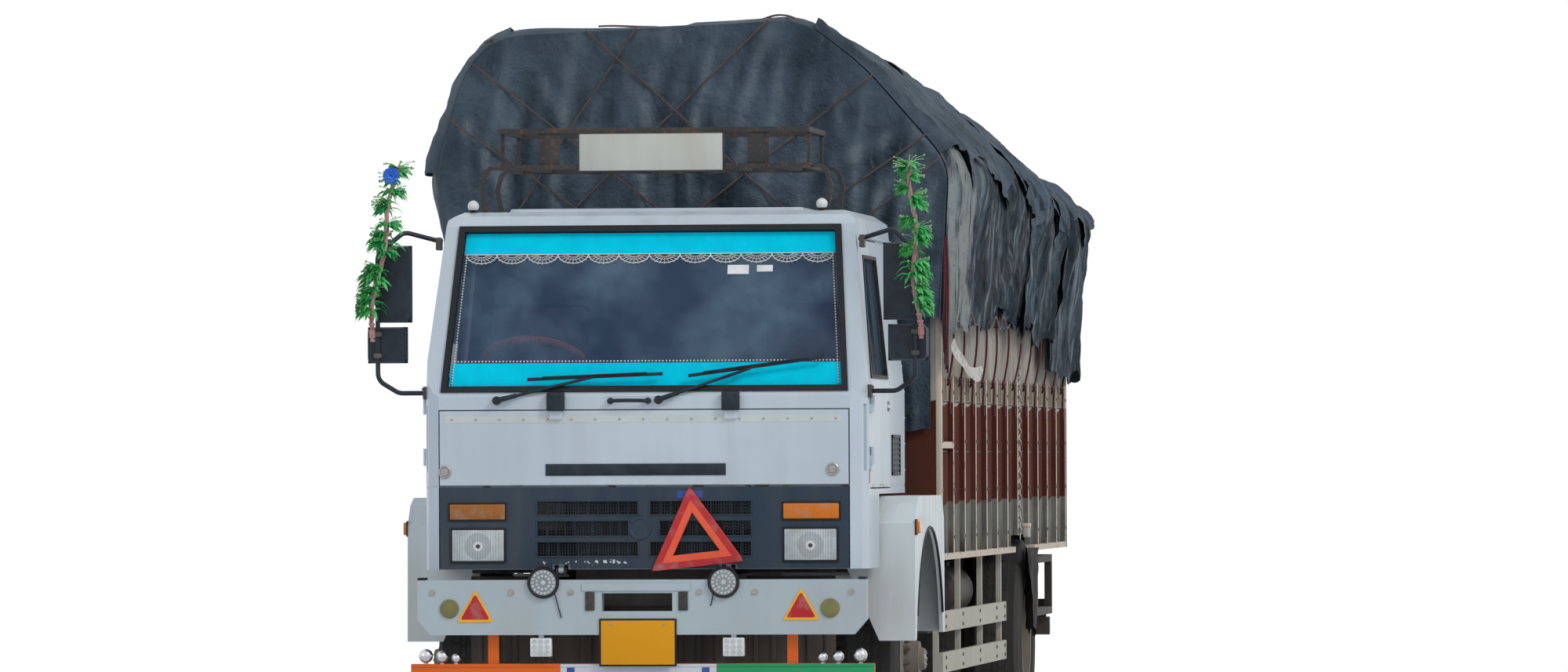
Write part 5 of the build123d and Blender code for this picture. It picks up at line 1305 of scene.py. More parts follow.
@dataclass
class Windscreen:
    """Glass, seal, wipers and the dressing stuck to the screen."""

    finishes: Finishes
    centre_back: float = 0.261
    centre_z: float = 2.18
    lean: float = math.atan2(0.25, 0.78)
    half_height: float = 0.391
    low_half: float = 0.938
    high_half: float = 0.882
    glass_depth: float = -0.0175
    top_band: float = 0.105
    low_band: float = 0.118
    scallops: int = 12

    def at(self, across: float, up: float, proud: float = 0.0) -> Vector:
        """Place on the screen plane: across is X, up runs along the slope, proud points forwards.

        Args:
            across: X.
            up: Distance up the slope from its middle.
            proud: Distance out of the plane.

        Returns:
            The place.
        """
        forward = Vector((0, -math.cos(self.lean), math.sin(self.lean)))
        rise = Vector((0, math.sin(self.lean), math.cos(self.lean)))
        return Vector((across, behind(self.centre_back), self.centre_z)) + rise * up + forward * proud

    def half_at(self, up: float) -> float:
        """Half width of the opening at a height on the slope."""
        share = (up + self.half_height) / (2 * self.half_height)
        return self.low_half + (self.high_half - self.low_half) * share - 0.016

    def build(self) -> None:
        """Paints the screen's nodes and adds its dressing."""
        Bench.paint(["windscreen", "door_glass_left", "door_glass_right"], self.finishes.glass)
        Bench.paint(["windscreen_seal"], self.finishes.seal)
        Bench.paint(["wipers"], self.finishes.black)
        self.add_bands()
        self.add_lace()
        self.add_beads()
        self.add_tags()
        self.add_wiper_details()

    def add_bands(self) -> None:
        """Cyan film along the top and the bottom of the glass."""
        mesh = bmesh.new()
        for low, high in ((self.half_height - 0.012 - self.top_band, self.half_height - 0.012),
                          (-self.half_height + 0.012, -self.half_height + 0.012 + self.low_band)):
            Bench.sheet(mesh, [self.at(-self.half_at(low), low, self.glass_depth),
                               self.at(self.half_at(low), low, self.glass_depth),
                               self.at(self.half_at(high), high, self.glass_depth),
                               self.at(-self.half_at(high), high, self.glass_depth)], 0.0006)
        Bench.finish("screen_bands", mesh, self.finishes.cyan, "cab")

    def add_lace(self) -> None:
        """Row of crocheted scallops under the top band, with an inner arc and picots on each."""
        mesh = bmesh.new()
        top = self.half_height - 0.012 - self.top_band
        half = self.half_at(top) - 0.01
        pitch = 2 * half / self.scallops
        runs, thin = [], []
        for number in range(self.scallops):
            middle = -half + (number + 0.5) * pitch
            for share, drop, group in ((1.0, 0.044, runs), (0.66, 0.027, thin), (0.34, 0.014, thin)):
                group.append([self.at(middle + share * pitch / 2 * math.cos(math.pi * step / 10),
                                      top - drop * math.sin(math.pi * step / 10), self.glass_depth + 0.003)
                              for step in range(11)])
            for step in range(1, 10):
                angle = math.pi * step / 10
                spoke = [self.at(middle + share * pitch / 2 * math.cos(angle),
                                 top - share * 0.046 * math.sin(angle), self.glass_depth + 0.003)
                         for share in (0.34, 1.09)]
                thin.append(spoke)
        runs.append([self.at(-half, top, self.glass_depth + 0.003),
                     self.at(half, top, self.glass_depth + 0.003)])
        Bench.tubes(mesh, runs, 0.0026, 1)
        Bench.tubes(mesh, thin, 0.0013, 0)
        Bench.finish("screen_lace", mesh, self.finishes.lace, "cab", 60)

    def add_beads(self) -> None:
        """Beaded cord down both sides and along the lower band."""
        mesh = bmesh.new()
        low = -self.half_height + 0.02 + self.low_band
        top = self.half_height - 0.012 - self.top_band
        places = []
        for side in Side:
            steps = 46
            for number in range(steps + 1):
                up = -self.half_height + 0.03 + (top + self.half_height - 0.03) * number / steps
                places.append(self.at(side.value * (self.half_at(up) - 0.012), up, self.glass_depth + 0.003))
        steps = 110
        half = self.half_at(low) - 0.014
        places += [self.at(-half + 2 * half * number / steps, low, self.glass_depth + 0.003)
                   for number in range(steps + 1)]
        for place in places:
            bmesh.ops.create_icosphere(mesh, subdivisions=1, radius=0.0048, matrix=Matrix.Translation(place))
        Bench.finish("screen_beads", mesh, self.finishes.lace, "cab", 80)

    def add_tags(self) -> None:
        """Blank paper tags behind the upper right of the glass, seen from the front."""
        mesh = bmesh.new()
        for across, up, width, height in ((0.42, 0.195, 0.1, 0.045), (0.545, 0.2, 0.075, 0.032)):
            Bench.sheet(mesh, [self.at(across - width / 2, up - height / 2, self.glass_depth),
                               self.at(across + width / 2, up - height / 2, self.glass_depth),
                               self.at(across + width / 2, up + height / 2, self.glass_depth),
                               self.at(across - width / 2, up + height / 2, self.glass_depth)], 0.0005)
        Bench.finish("screen_tags", mesh, self.finishes.white_plastic, "cab")

    def add_wiper_details(self) -> None:
        """Pivot caps, arm hinges and sprung claws over the plain wiper bars."""
        mesh = bmesh.new()
        face = behind(0.12)
        for pivot_x, pivot_z, tip, blade in ((-0.69, 1.752, (-0.23, 1.862),
                                              ((-0.547, 1.850), (0.088, 1.874))),
                                             (0.07, 1.752, (0.5, 1.898), ((0.209, 1.864), (0.84, 1.948)))):
            Bench.rod(mesh, (pivot_x, face, pivot_z), (pivot_x, face - 0.034, pivot_z), 0.021, 16, 0.016)
            Bench.rod(mesh, (pivot_x, face - 0.034, pivot_z), (pivot_x, face - 0.04, pivot_z), 0.012, 12)
            slope = Vector((tip[0] - pivot_x, 0, tip[1] - pivot_z)).normalized()
            elbow = Vector((pivot_x, face - 0.024, pivot_z)) + slope * 0.1
            Bench.rod(mesh, (pivot_x, face - 0.022, pivot_z), elbow, 0.013, 8, 0.01)
            start, end = (Vector((x, self._on_glass(z), z)) for x, z in blade)
            for share in (0.12, 0.36, 0.64, 0.88):
                place = start.lerp(end, share)
                Bench.rod(mesh, place, place + Vector((0, -0.014, 0.008)), 0.0045, 6)
            lift = Vector((0, -0.013, 0.008))
            Bench.rod(mesh, start.lerp(end, 0.12) + lift, start.lerp(end, 0.88) + lift, 0.0035, 6)
        Bench.finish("wiper_details", mesh, self.finishes.black, "cab")

    def _on_glass(self, height: float) -> float:
        """Y of a wiper blade at this height."""
        return behind(self.centre_back + (height - self.centre_z) * math.tan(self.lean)) - 0.022


@dataclass
class FrontPanel:
    """Hatch, grille and main lamps on the cab's face."""

    finishes: Finishes
    face_back: float = 0.12
    hatch_back: float = 0.116
    slot_rows: tuple = ((1.220, 1.281, 0.03), (1.122, 1.190, 0.075), (1.028, 1.092, 0.03))
    slot_outer: float = 0.5
    wire_pitch: float = 0.0125
    headlamp: tuple = (0.779, 1.078, 0.245, 0.146)
    indicator: tuple = (0.782, 1.234, 0.26, 0.072)

    def build(self) -> None:
        """Paints the panel's nodes and adds its small parts."""
        Bench.paint(["front_hatch"], self.finishes.cab)
        Bench.paint(["grille_panel"], self.finishes.grille)
        self.add_hatch_parts()
        self.add_slot_mesh()
        for side in Side:
            self.add_headlamp(side)
            self.add_indicator(side)

    def add_hatch_parts(self) -> None:
        """Bare name strip, riveted tape, locks, and beside them the handle and hinge covers."""
        face = behind(self.hatch_back)
        strip = bmesh.new()
        Bench.block(strip, (-0.46, face - 0.005, 1.401), (0.385, face, 1.456), 0.004)
        Bench.finish("hatch_strip", strip, self.finishes.black, "front_hatch")
        tape = bmesh.new()
        for start, end in ((-0.935, -0.36), (-0.352, 0.02), (0.03, 0.925)):
            Bench.block(tape, (start, face - 0.0012, 1.648), (end, face, 1.681), 0.0005, 1)
        Bench.finish("hatch_tape", tape, self.finishes.strip, "front_hatch")
        rivets = bmesh.new()
        for number in range(17):
            x = -0.9 + number * 0.1125
            bmesh.ops.create_uvsphere(rivets, u_segments=8, v_segments=5, radius=0.0055,
                                      matrix=Matrix.Translation((x, face - 0.001, 1.664)))
        for x, z in ((-0.934, 1.42), (0.884, 1.427)):
            Bench.lathe(rivets, ((0, 0.03), (0.005, 0.03), (0.008, 0.026), (0.006, 0.02), (0.01, 0.018),
                                 (0.011, 0)), (x, face, z), (0, -1, 0), 28)
            Bench.block(rivets, (x - 0.012, face - 0.0125, z - 0.002), (x + 0.012, face - 0.01, z + 0.002))
        Bench.finish("hatch_rivets", rivets, self.finishes.dull_steel, "front_hatch")
        fittings = bmesh.new()
        face = behind(self.face_back)
        for x in (-0.41, 0.41):
            Bench.block(fittings, (x - 0.042, face - 0.036, 1.702), (x + 0.042, face - 0.001, 1.79), 0.008)
            for shift in (-0.024, 0.024):
                Bench.rod(fittings, (x + shift, face - 0.036, 1.772), (x + shift, face - 0.041, 1.772),
                          0.006, 6)
        for x in (-0.155, 0.021):
            Bench.rod(fittings, (x, face, 1.748), (x, face - 0.03, 1.748), 0.016, 14, 0.012)
        Bench.tubes(fittings, [[(-0.155, face - 0.026, 1.748), (-0.12, face - 0.034, 1.75),
                                (-0.014, face - 0.034, 1.75), (0.021, face - 0.026, 1.748)]], 0.009, 3, True)
        Bench.finish("face_fittings", fittings, self.finishes.black, "cab")

    def add_slot_mesh(self) -> None:
        """Wire mesh behind each louvre slot, and a rounded lip round it."""
        wires, lips = bmesh.new(), bmesh.new()
        back = behind(self.face_back + 0.022)
        face = behind(self.face_back)
        for low, high, inner in self.slot_rows:
            for side in Side:
                left, right = sorted((side.value * inner, side.value * self.slot_outer))
                count = int((right - left) / self.wire_pitch)
                for number in range(count + 1):
                    x = left + (right - left) * number / count
                    Bench.block(wires, (x - 0.0013, back, low), (x + 0.0013, back + 0.002, high))
                rows = int((high - low) / self.wire_pitch)
                for number in range(rows + 1):
                    z = low + (high - low) * number / rows
                    Bench.block(wires, (left, back + 0.002, z - 0.0013), (right, back + 0.004, z + 0.0013))
                for start, end in (((left - 0.006, low - 0.006), (right + 0.006, low)),
                                   ((left - 0.006, high), (right + 0.006, high + 0.006)),
                                   ((left - 0.006, low), (left, high)),
                                   ((right, low), (right + 0.006, high))):
                    Bench.block(lips, (start[0], face - 0.004, start[1]), (end[0], face + 0.002, end[1]),
                                0.0015)
        Bench.finish("grille_wires", wires, self.finishes.mesh, "cab")
        Bench.lathe(lips, ((0, 0.055), (0.004, 0.053), (0.005, 0.044), (0.002, 0.04), (0.003, 0)),
                    (-0.02, face, 1.156), (0, -1, 0), 32)
        Bench.finish("grille_lips", lips, self.finishes.grille, "cab")
        tape = bmesh.new()
        Bench.block(tape, (0.155, face - 0.001, 1.296), (0.275, face, 1.33), 0.0004, 1)
        Bench.finish("grille_tape", tape, self.finishes.board_blue, "cab")

    def _frame(self, mesh: Mesh, x: float, z: float, width: float, height: float, edge: float,
               depth: float) -> None:
        """Adds a bevelled frame round a lamp.

        Args:
            mesh: Mesh to add to.
            x: X of the middle.
            z: Height of the middle.
            width: Width of the opening.
            height: Height of the opening.
            edge: Width of the frame.
            depth: Depth of the frame.
        """
        face = behind(self.face_back)
        for low, high in (((-width / 2 - edge, -height / 2 - edge), (width / 2 + edge, -height / 2)),
                          ((-width / 2 - edge, height / 2), (width / 2 + edge, height / 2 + edge)),
                          ((-width / 2 - edge, -height / 2), (-width / 2, height / 2)),
                          ((width / 2, -height / 2), (width / 2 + edge, height / 2))):
            Bench.block(mesh, (x + low[0], face - depth, z + low[1]), (x + high[0], face + 0.01, z + high[1]),
                        0.003)

    def add_headlamp(self, side: Side) -> None:
        """Sealed headlamp: bezel, plated dish, bulb cap and a ribbed lens.

        Args:
            side: Side of the lorry.
        """
        x, z, width, height = self.headlamp
        x *= side.value
        face = behind(self.face_back)
        bezel = bmesh.new()
        self._frame(bezel, x, z, width, height, 0.009, 0.008)
        Bench.finish(f"headlamp_bezel_{side.word}", bezel, self.finishes.seal, "cab")
        dish = bmesh.new()
        Bench.block(dish, (x - width / 2 + 0.004, face + 0.012, z - height / 2 + 0.004),
                    (x + width / 2 - 0.004, face + 0.018, z + height / 2 - 0.004), 0.003)
        Bench.lathe(dish, ((0.0, 0.022), (-0.008, 0.045), (-0.004, 0.058), (0.003, 0.066)),
                    (x, face + 0.006, z), (0, -1, 0), 32)
        Bench.rod(dish, (x, face + 0.012, z), (x, face - 0.004, z), 0.015, 20, 0.012)
        Bench.finish(f"headlamp_dish_{side.word}", dish, self.finishes.chrome, "cab", 50)
        lens = bmesh.new()
        Bench.block(lens, (x - width / 2 + 0.001, face - 0.0095, z - height / 2 + 0.001),
                    (x + width / 2 - 0.001, face - 0.004, z + height / 2 - 0.001), 0.0045, 3)
        for number in range(1, 12):
            rib_x = x - width / 2 + number * width / 12
            Bench.block(lens, (rib_x - 0.0025, face - 0.0102, z - height / 2 + 0.012),
                        (rib_x + 0.0025, face - 0.009, z + height / 2 - 0.012), 0.0006, 1)
        glass = HeadlampGlass(f"headlamp_glass_{side.word}", (x, z - 0.004)).material()
        made = Bench.finish(f"headlamp_lens_{side.word}", lens, glass, "cab")
        if side is Side.LEFT:
            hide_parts("front_lamps")

    def add_indicator(self, side: Side) -> None:
        """Amber flasher with a moulded rib pattern and two screws.

        Args:
            side: Side of the lorry.
        """
        x, z, width, height = self.indicator
        x *= side.value
        face = behind(self.face_back)
        bezel = bmesh.new()
        self._frame(bezel, x, z, width, height, 0.008, 0.006)
        Bench.finish(f"indicator_bezel_{side.word}", bezel, self.finishes.seal, "cab")
        lens = bmesh.new()
        Bench.block(lens, (x - width / 2, face - 0.009, z - height / 2),
                    (x + width / 2, face + 0.02, z + height / 2), 0.005, 3)
        for number in range(1, 16):
            rib_x = x - width / 2 + number * width / 16
            Bench.block(lens, (rib_x - 0.0025, face - 0.0098, z - height / 2 + 0.008),
                        (rib_x + 0.0025, face - 0.008, z + height / 2 - 0.008), 0.0006, 1)
        finish = self.finishes.amber if side is Side.LEFT else self.finishes.amber_dull
        Bench.finish(f"indicator_lens_{side.word}", lens, finish, "cab")


@dataclass
class Bumper:
    """Bumper dressing, its lamps, the painted board below it and the blank plate."""

    finishes: Finishes
    face_back: float = 0.012
    board_back: float = 0.04
    board_low: float = 0.335
    board_top: float = 0.529
    reflector_side: float = 0.171

    def build(self) -> None:
        """Paints the bumper's nodes and adds its small parts."""
        Bench.paint(["bumper"], self.finishes.bumper)
        Bench.paint(["lower_board"], self.finishes.board_orange)
        self.add_round_lamps()
        self.add_square_lamps()
        self.add_reflectors()
        self.add_brackets()
        self.add_board_panels()
        self.add_balls()
        self.add_plate()

    def add_round_lamps(self) -> None:
        """Two black lamps standing on the bumper, with a segmented lens."""
        for side, x in (("left", 0.385), ("right", -0.458)):
            place = (x, behind(0.0), 0.906)
            housing = bmesh.new()
            Bench.lathe(housing, ((-0.0115, 0.04), (-0.0115, 0.0745), (-0.002, 0.0745), (0.0035, 0.072),
                                  (0.001, 0.063), (-0.002, 0.06)), place, (0, -1, 0), 44)
            dish = bmesh.new()
            Bench.lathe(dish, ((-0.0115, 0.0745), (-0.026, 0.07), (-0.05, 0.045), (-0.058, 0.0)), place,
                        (0, -1, 0), 44)
            bmesh.ops.bisect_plane(dish, geom=dish.verts[:] + dish.edges[:] + dish.faces[:], dist=0.0001,
                                   plane_co=(0, 0, 0.9185), plane_no=(0, 0, 1), clear_inner=True)
            part = bpy.data.meshes.new("dish")
            dish.to_mesh(part)
            dish.free()
            housing.from_mesh(part)
            bpy.data.meshes.remove(part)
            Bench.rod(housing, (x, behind(0.03), 0.905), (x, behind(0.03), 0.93), 0.016, 12)
            made = Bench.finish(f"work_lamp_{side}", housing, self.finishes.seal, "chassis", 50)
            if side == "left":
                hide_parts("bumper_lamps")
            lens, cells = bmesh.new(), bmesh.new()
            Bench.lathe(lens, ((-0.003, 0.062), (0.0, 0.058), (0.001, 0.03), (0.0005, 0.0)), place,
                        (0, -1, 0), 44)
            for count, radius, size in ((18, 0.05, 0.0072), (11, 0.031, 0.007), (1, 0.0, 0.012)):
                for number in range(count):
                    turn = math.tau * number / count
                    Bench.lathe(cells, ((0.0005, size), (0.003, size * 0.8), (0.002, size * 0.4),
                                        (0.0035, 0.0)), (x + radius * math.cos(turn), behind(0.0),
                                                         0.906 + radius * math.sin(turn)), (0, -1, 0), 10)
            Bench.finish(f"work_lens_{side}", lens, self.finishes.lamp_dish, "chassis", 50)
            Bench.finish(f"work_cells_{side}", cells, self.finishes.clear, "chassis", 50)

    def add_square_lamps(self) -> None:
        """Two small square lamps under the bumper with a three by three grid of cells."""
        for side, x in (("left", 0.429), ("right", -0.472)):
            low_z, high_z = 0.562, 0.649
            face = behind(0.014)
            housing = bmesh.new()
            Bench.block(housing, (x - 0.05, face, low_z), (x + 0.05, behind(0.06), high_z), 0.006)
            Bench.block(housing, (x - 0.012, behind(0.03), high_z), (x + 0.012, behind(0.05), 0.664), 0.002)
            Bench.finish(f"square_lamp_{side}", housing, self.finishes.white_plastic, "chassis")
            cells = bmesh.new()
            for row in range(3):
                for column in range(3):
                    cell_x = x - 0.03 + column * 0.03
                    cell_z = (low_z + high_z) / 2 - 0.026 + row * 0.026
                    Bench.lathe(cells, ((0.0, 0.0115), (0.0025, 0.0105), (0.001, 0.006), (0.003, 0.0)),
                                (cell_x, face, cell_z), (0, -1, 0), 12)
            Bench.finish(f"square_lens_{side}", cells, self.finishes.clear, "chassis", 50)

    def add_reflectors(self) -> None:
        """Red triangle reflectors with a yellow border, round olive ones beside them."""
        face = behind(self.face_back)
        for side, x, z in (("right", -0.778, 0.783), ("left", 0.746, 0.79)):
            for name, size, low, high, finish in (
                    ("border", self.reflector_side, 0.0, 0.004, self.finishes.yellow),
                    ("reflector", self.reflector_side * 0.8, 0.004, 0.006, self.finishes.reflector)):
                mesh = bmesh.new()
                corners = [(x + size / math.sqrt(3) * math.sin(turn), face - low,
                            z + size / math.sqrt(3) * math.cos(turn) - size * 0.06)
                           for turn in (0, math.tau / 3, 2 * math.tau / 3)]
                Bench.sheet(mesh, corners, 0.0)
                made = bmesh.ops.extrude_face_region(mesh, geom=mesh.faces[:])["geom"]
                verts = [item for item in made if isinstance(item, bmesh.types.BMVert)]
                bmesh.ops.translate(mesh, verts=verts, vec=(0, low - high, 0))
                upright = [edge for edge in mesh.edges
                           if abs(edge.verts[0].co.y - edge.verts[1].co.y) > 0.001]
                bmesh.ops.bevel(mesh, geom=upright, offset=0.012, offset_type="OFFSET", affect="EDGES",
                                segments=4, profile=0.5, material=-1)
                Bench.finish(f"triangle_{name}_{side}", mesh, finish, "chassis")
        for side, x in (("right", -0.899), ("left", 0.881)):
            mesh = bmesh.new()
            Bench.lathe(mesh, ((0, 0.044), (0.006, 0.044), (0.009, 0.038), (0.01, 0.0)), (x, face, 0.785),
                        (0, -1, 0), 36)
            Bench.finish(f"round_reflector_{side}", mesh, self.finishes.olive, "chassis", 50)

    def add_brackets(self) -> None:
        """Rusty brackets beside the tow slot, bolts, the round lamps' hanging wires and dark rims at the
        bumper's ends.
        """
        face = behind(self.face_back)
        steel = bmesh.new()
        for x in (-0.24, 0.196):
            Bench.block(steel, (x - 0.022, face - 0.007, 0.775), (x + 0.022, face, 0.862), 0.003)
            for z in (0.79, 0.847):
                Bench.rod(steel, (x, face - 0.007, z), (x, face - 0.013, z), 0.009, 6)
        Bench.finish("bumper_brackets", steel, self.finishes.rack, "chassis")
        bolts = bmesh.new()
        for x in (-0.61, -0.33, 0.27, 0.53, 0.98, -0.98):
            Bench.rod(bolts, (x, face, 0.86), (x, face - 0.007, 0.86), 0.011, 6)
            Bench.rod(bolts, (x, face, 0.86), (x, face - 0.002, 0.86), 0.015, 16)
        Bench.finish("bumper_bolts", bolts, self.finishes.dull_steel, "chassis")
        wires = bmesh.new()
        runs = []
        for x, drop, reach in ((-0.458, 0.175, 0.07), (0.385, 0.12, -0.05)):
            runs.append([(x + 0.03, face - 0.004, 0.917),
                         (x + 0.05 * (1 if reach > 0 else -1), face - 0.008, 0.87),
                         (x + reach, face - 0.006, 0.917 - drop * 0.7),
                         (x + reach * 1.2, face - 0.005, 0.917 - drop)])
        Bench.tubes(wires, runs, 0.0028, 1, True)
        Bench.finish("lamp_wires", wires, self.finishes.black, "chassis", 60)
        rim = bmesh.new()
        for side in Side:
            left, right = sorted((side.value * 1.012, side.value * 1.05))
            Bench.block(rim, (left, behind(0.012) - 0.003, 0.918), (right, behind(0.09), 0.93), 0.004)
        Bench.finish("bumper_end_rims", rim, self.finishes.seal, "chassis")

    def add_board_panels(self) -> None:
        """Orange, white and green panels with a rolled edge, and two blue stripes on the white."""
        face = behind(self.board_back)
        for name, left, right, finish in (("orange", -1.083, -0.386, self.finishes.board_orange),
                                          ("white", -0.384, 0.347, self.finishes.board_white),
                                          ("green", 0.349, 1.083, self.finishes.board_green)):
            mesh = bmesh.new()
            Bench.block(mesh, (left, face - 0.003, self.board_low + 0.002),
                        (right, face, self.board_top - 0.002), 0.002)
            for z in (self.board_low + 0.012, self.board_top - 0.012):
                Bench.rod(mesh, (left + 0.004, face - 0.002, z), (right - 0.004, face - 0.002, z), 0.0045, 8)
            Bench.finish(f"board_{name}", mesh, finish, "chassis")
        stripes = bmesh.new()
        for x in (-0.335, 0.297):
            Bench.block(stripes, (x - 0.018, face - 0.0045, self.board_low + 0.016),
                        (x + 0.018, face - 0.0025, self.board_top - 0.018), 0.0008, 1)
        Bench.finish("board_stripes", stripes, self.finishes.board_blue, "chassis")

    def add_balls(self) -> None:
        """Plated balls on short stems along both ends of the board's top edge."""
        mesh = bmesh.new()
        for x, radius in ((-1.016, 0.033), (-0.939, 0.029), (-0.873, 0.022),
                          (0.841, 0.024), (0.914, 0.027), (1.017, 0.033)):
            y = behind(self.board_back + 0.01)
            bmesh.ops.create_uvsphere(mesh, u_segments=32, v_segments=20, radius=radius,
                                      matrix=Matrix.Translation((x, y, self.board_top + radius + 0.004)))
            Bench.lathe(mesh, ((0, 0.012), (0.003, 0.012), (0.006, 0.006), (0.012, 0.006)),
                        (x, y, self.board_top - 0.001), (0, 0, 1), 16)
        Bench.finish("board_balls", mesh, self.finishes.chrome, "chassis", 60)

    def add_plate(self) -> None:
        """Blank yellow plate in a dark frame with two screws, hung in front of the board's middle."""
        face = behind(0.008)
        frame_mesh = bmesh.new()
        Bench.block(frame_mesh, (-0.197, face - 0.002, 0.516), (0.165, face + 0.003, 0.738), 0.002)
        for x in (-0.12, 0.09):
            Bench.block(frame_mesh, (x - 0.012, face + 0.002, 0.54), (x + 0.012, face + 0.012, 0.668), 0.002)
        Bench.finish("plate_frame", frame_mesh, self.finishes.seal, "chassis")
        plate = bmesh.new()
        Bench.block(plate, (-0.188, face - 0.006, 0.525), (0.156, face - 0.002, 0.729), 0.006, 3)
        Bench.finish("plate_blank", plate, self.finishes.plate, "chassis")
        screws = bmesh.new()
        for x in (-0.14, 0.108):
            Bench.lathe(screws, ((0, 0.007), (0.002, 0.006), (0.003, 0.0)), (x, face - 0.006, 0.712),
                        (0, -1, 0), 12)
        Bench.finish("plate_screws", screws, self.finishes.dull_steel, "chassis", 50)


@dataclass
class Triangle:
    """Finish of the warning triangle: red reflective border and an orange inner band."""

    finishes: Finishes
    tip: tuple[float, float] = (0.214, 1.351)
    left: tuple[float, float] = (0.036, 0.955)
    right: tuple[float, float] = (0.470, 1.002)
    face_back: float = 0.104

    def build(self) -> None:
        """Paints the solid and lays both bands over its face."""
        Bench.paint(["warning_triangle"], self.finishes.orange)
        face = behind(self.face_back)
        for name, outer, inner, proud, finish in (("red", 0.002, 0.029, 0.003, self.finishes.triangle_red),
                                                  ("orange", 0.031, 0.059, 0.002, self.finishes.orange)):
            mesh = bmesh.new()
            rings = [[mesh.verts.new((x, face, z)) for x, z in self._inset(inset)]
                     for inset in (outer, inner)]
            for number in range(3):
                after = (number + 1) % 3
                mesh.faces.new((rings[0][number], rings[0][after], rings[1][after], rings[1][number]))
            made = bmesh.ops.extrude_face_region(mesh, geom=mesh.faces[:])["geom"]
            verts = [item for item in made if isinstance(item, bmesh.types.BMVert)]
            bmesh.ops.translate(mesh, verts=verts, vec=(0, -proud, 0))
            Bench.finish(f"warning_{name}", mesh, finish, "cab")

    def _inset(self, amount: float) -> list[tuple[float, float]]:
        """Corners of the triangle moved inwards by amount, as x and z.

        Args:
            amount: Metres to move by.

        Returns:
            The corners as x and z.
        """
        corners = [Vector(self.tip), Vector(self.left), Vector(self.right)]
        moved = []
        for number, corner in enumerate(corners):
            before = (corners[number - 1] - corner).normalized()
            after = (corners[(number + 1) % 3] - corner).normalized()
            half = before.angle(after) / 2
            moved.append(tuple(corner + (before + after).normalized() * amount / math.sin(half)))
        return moved


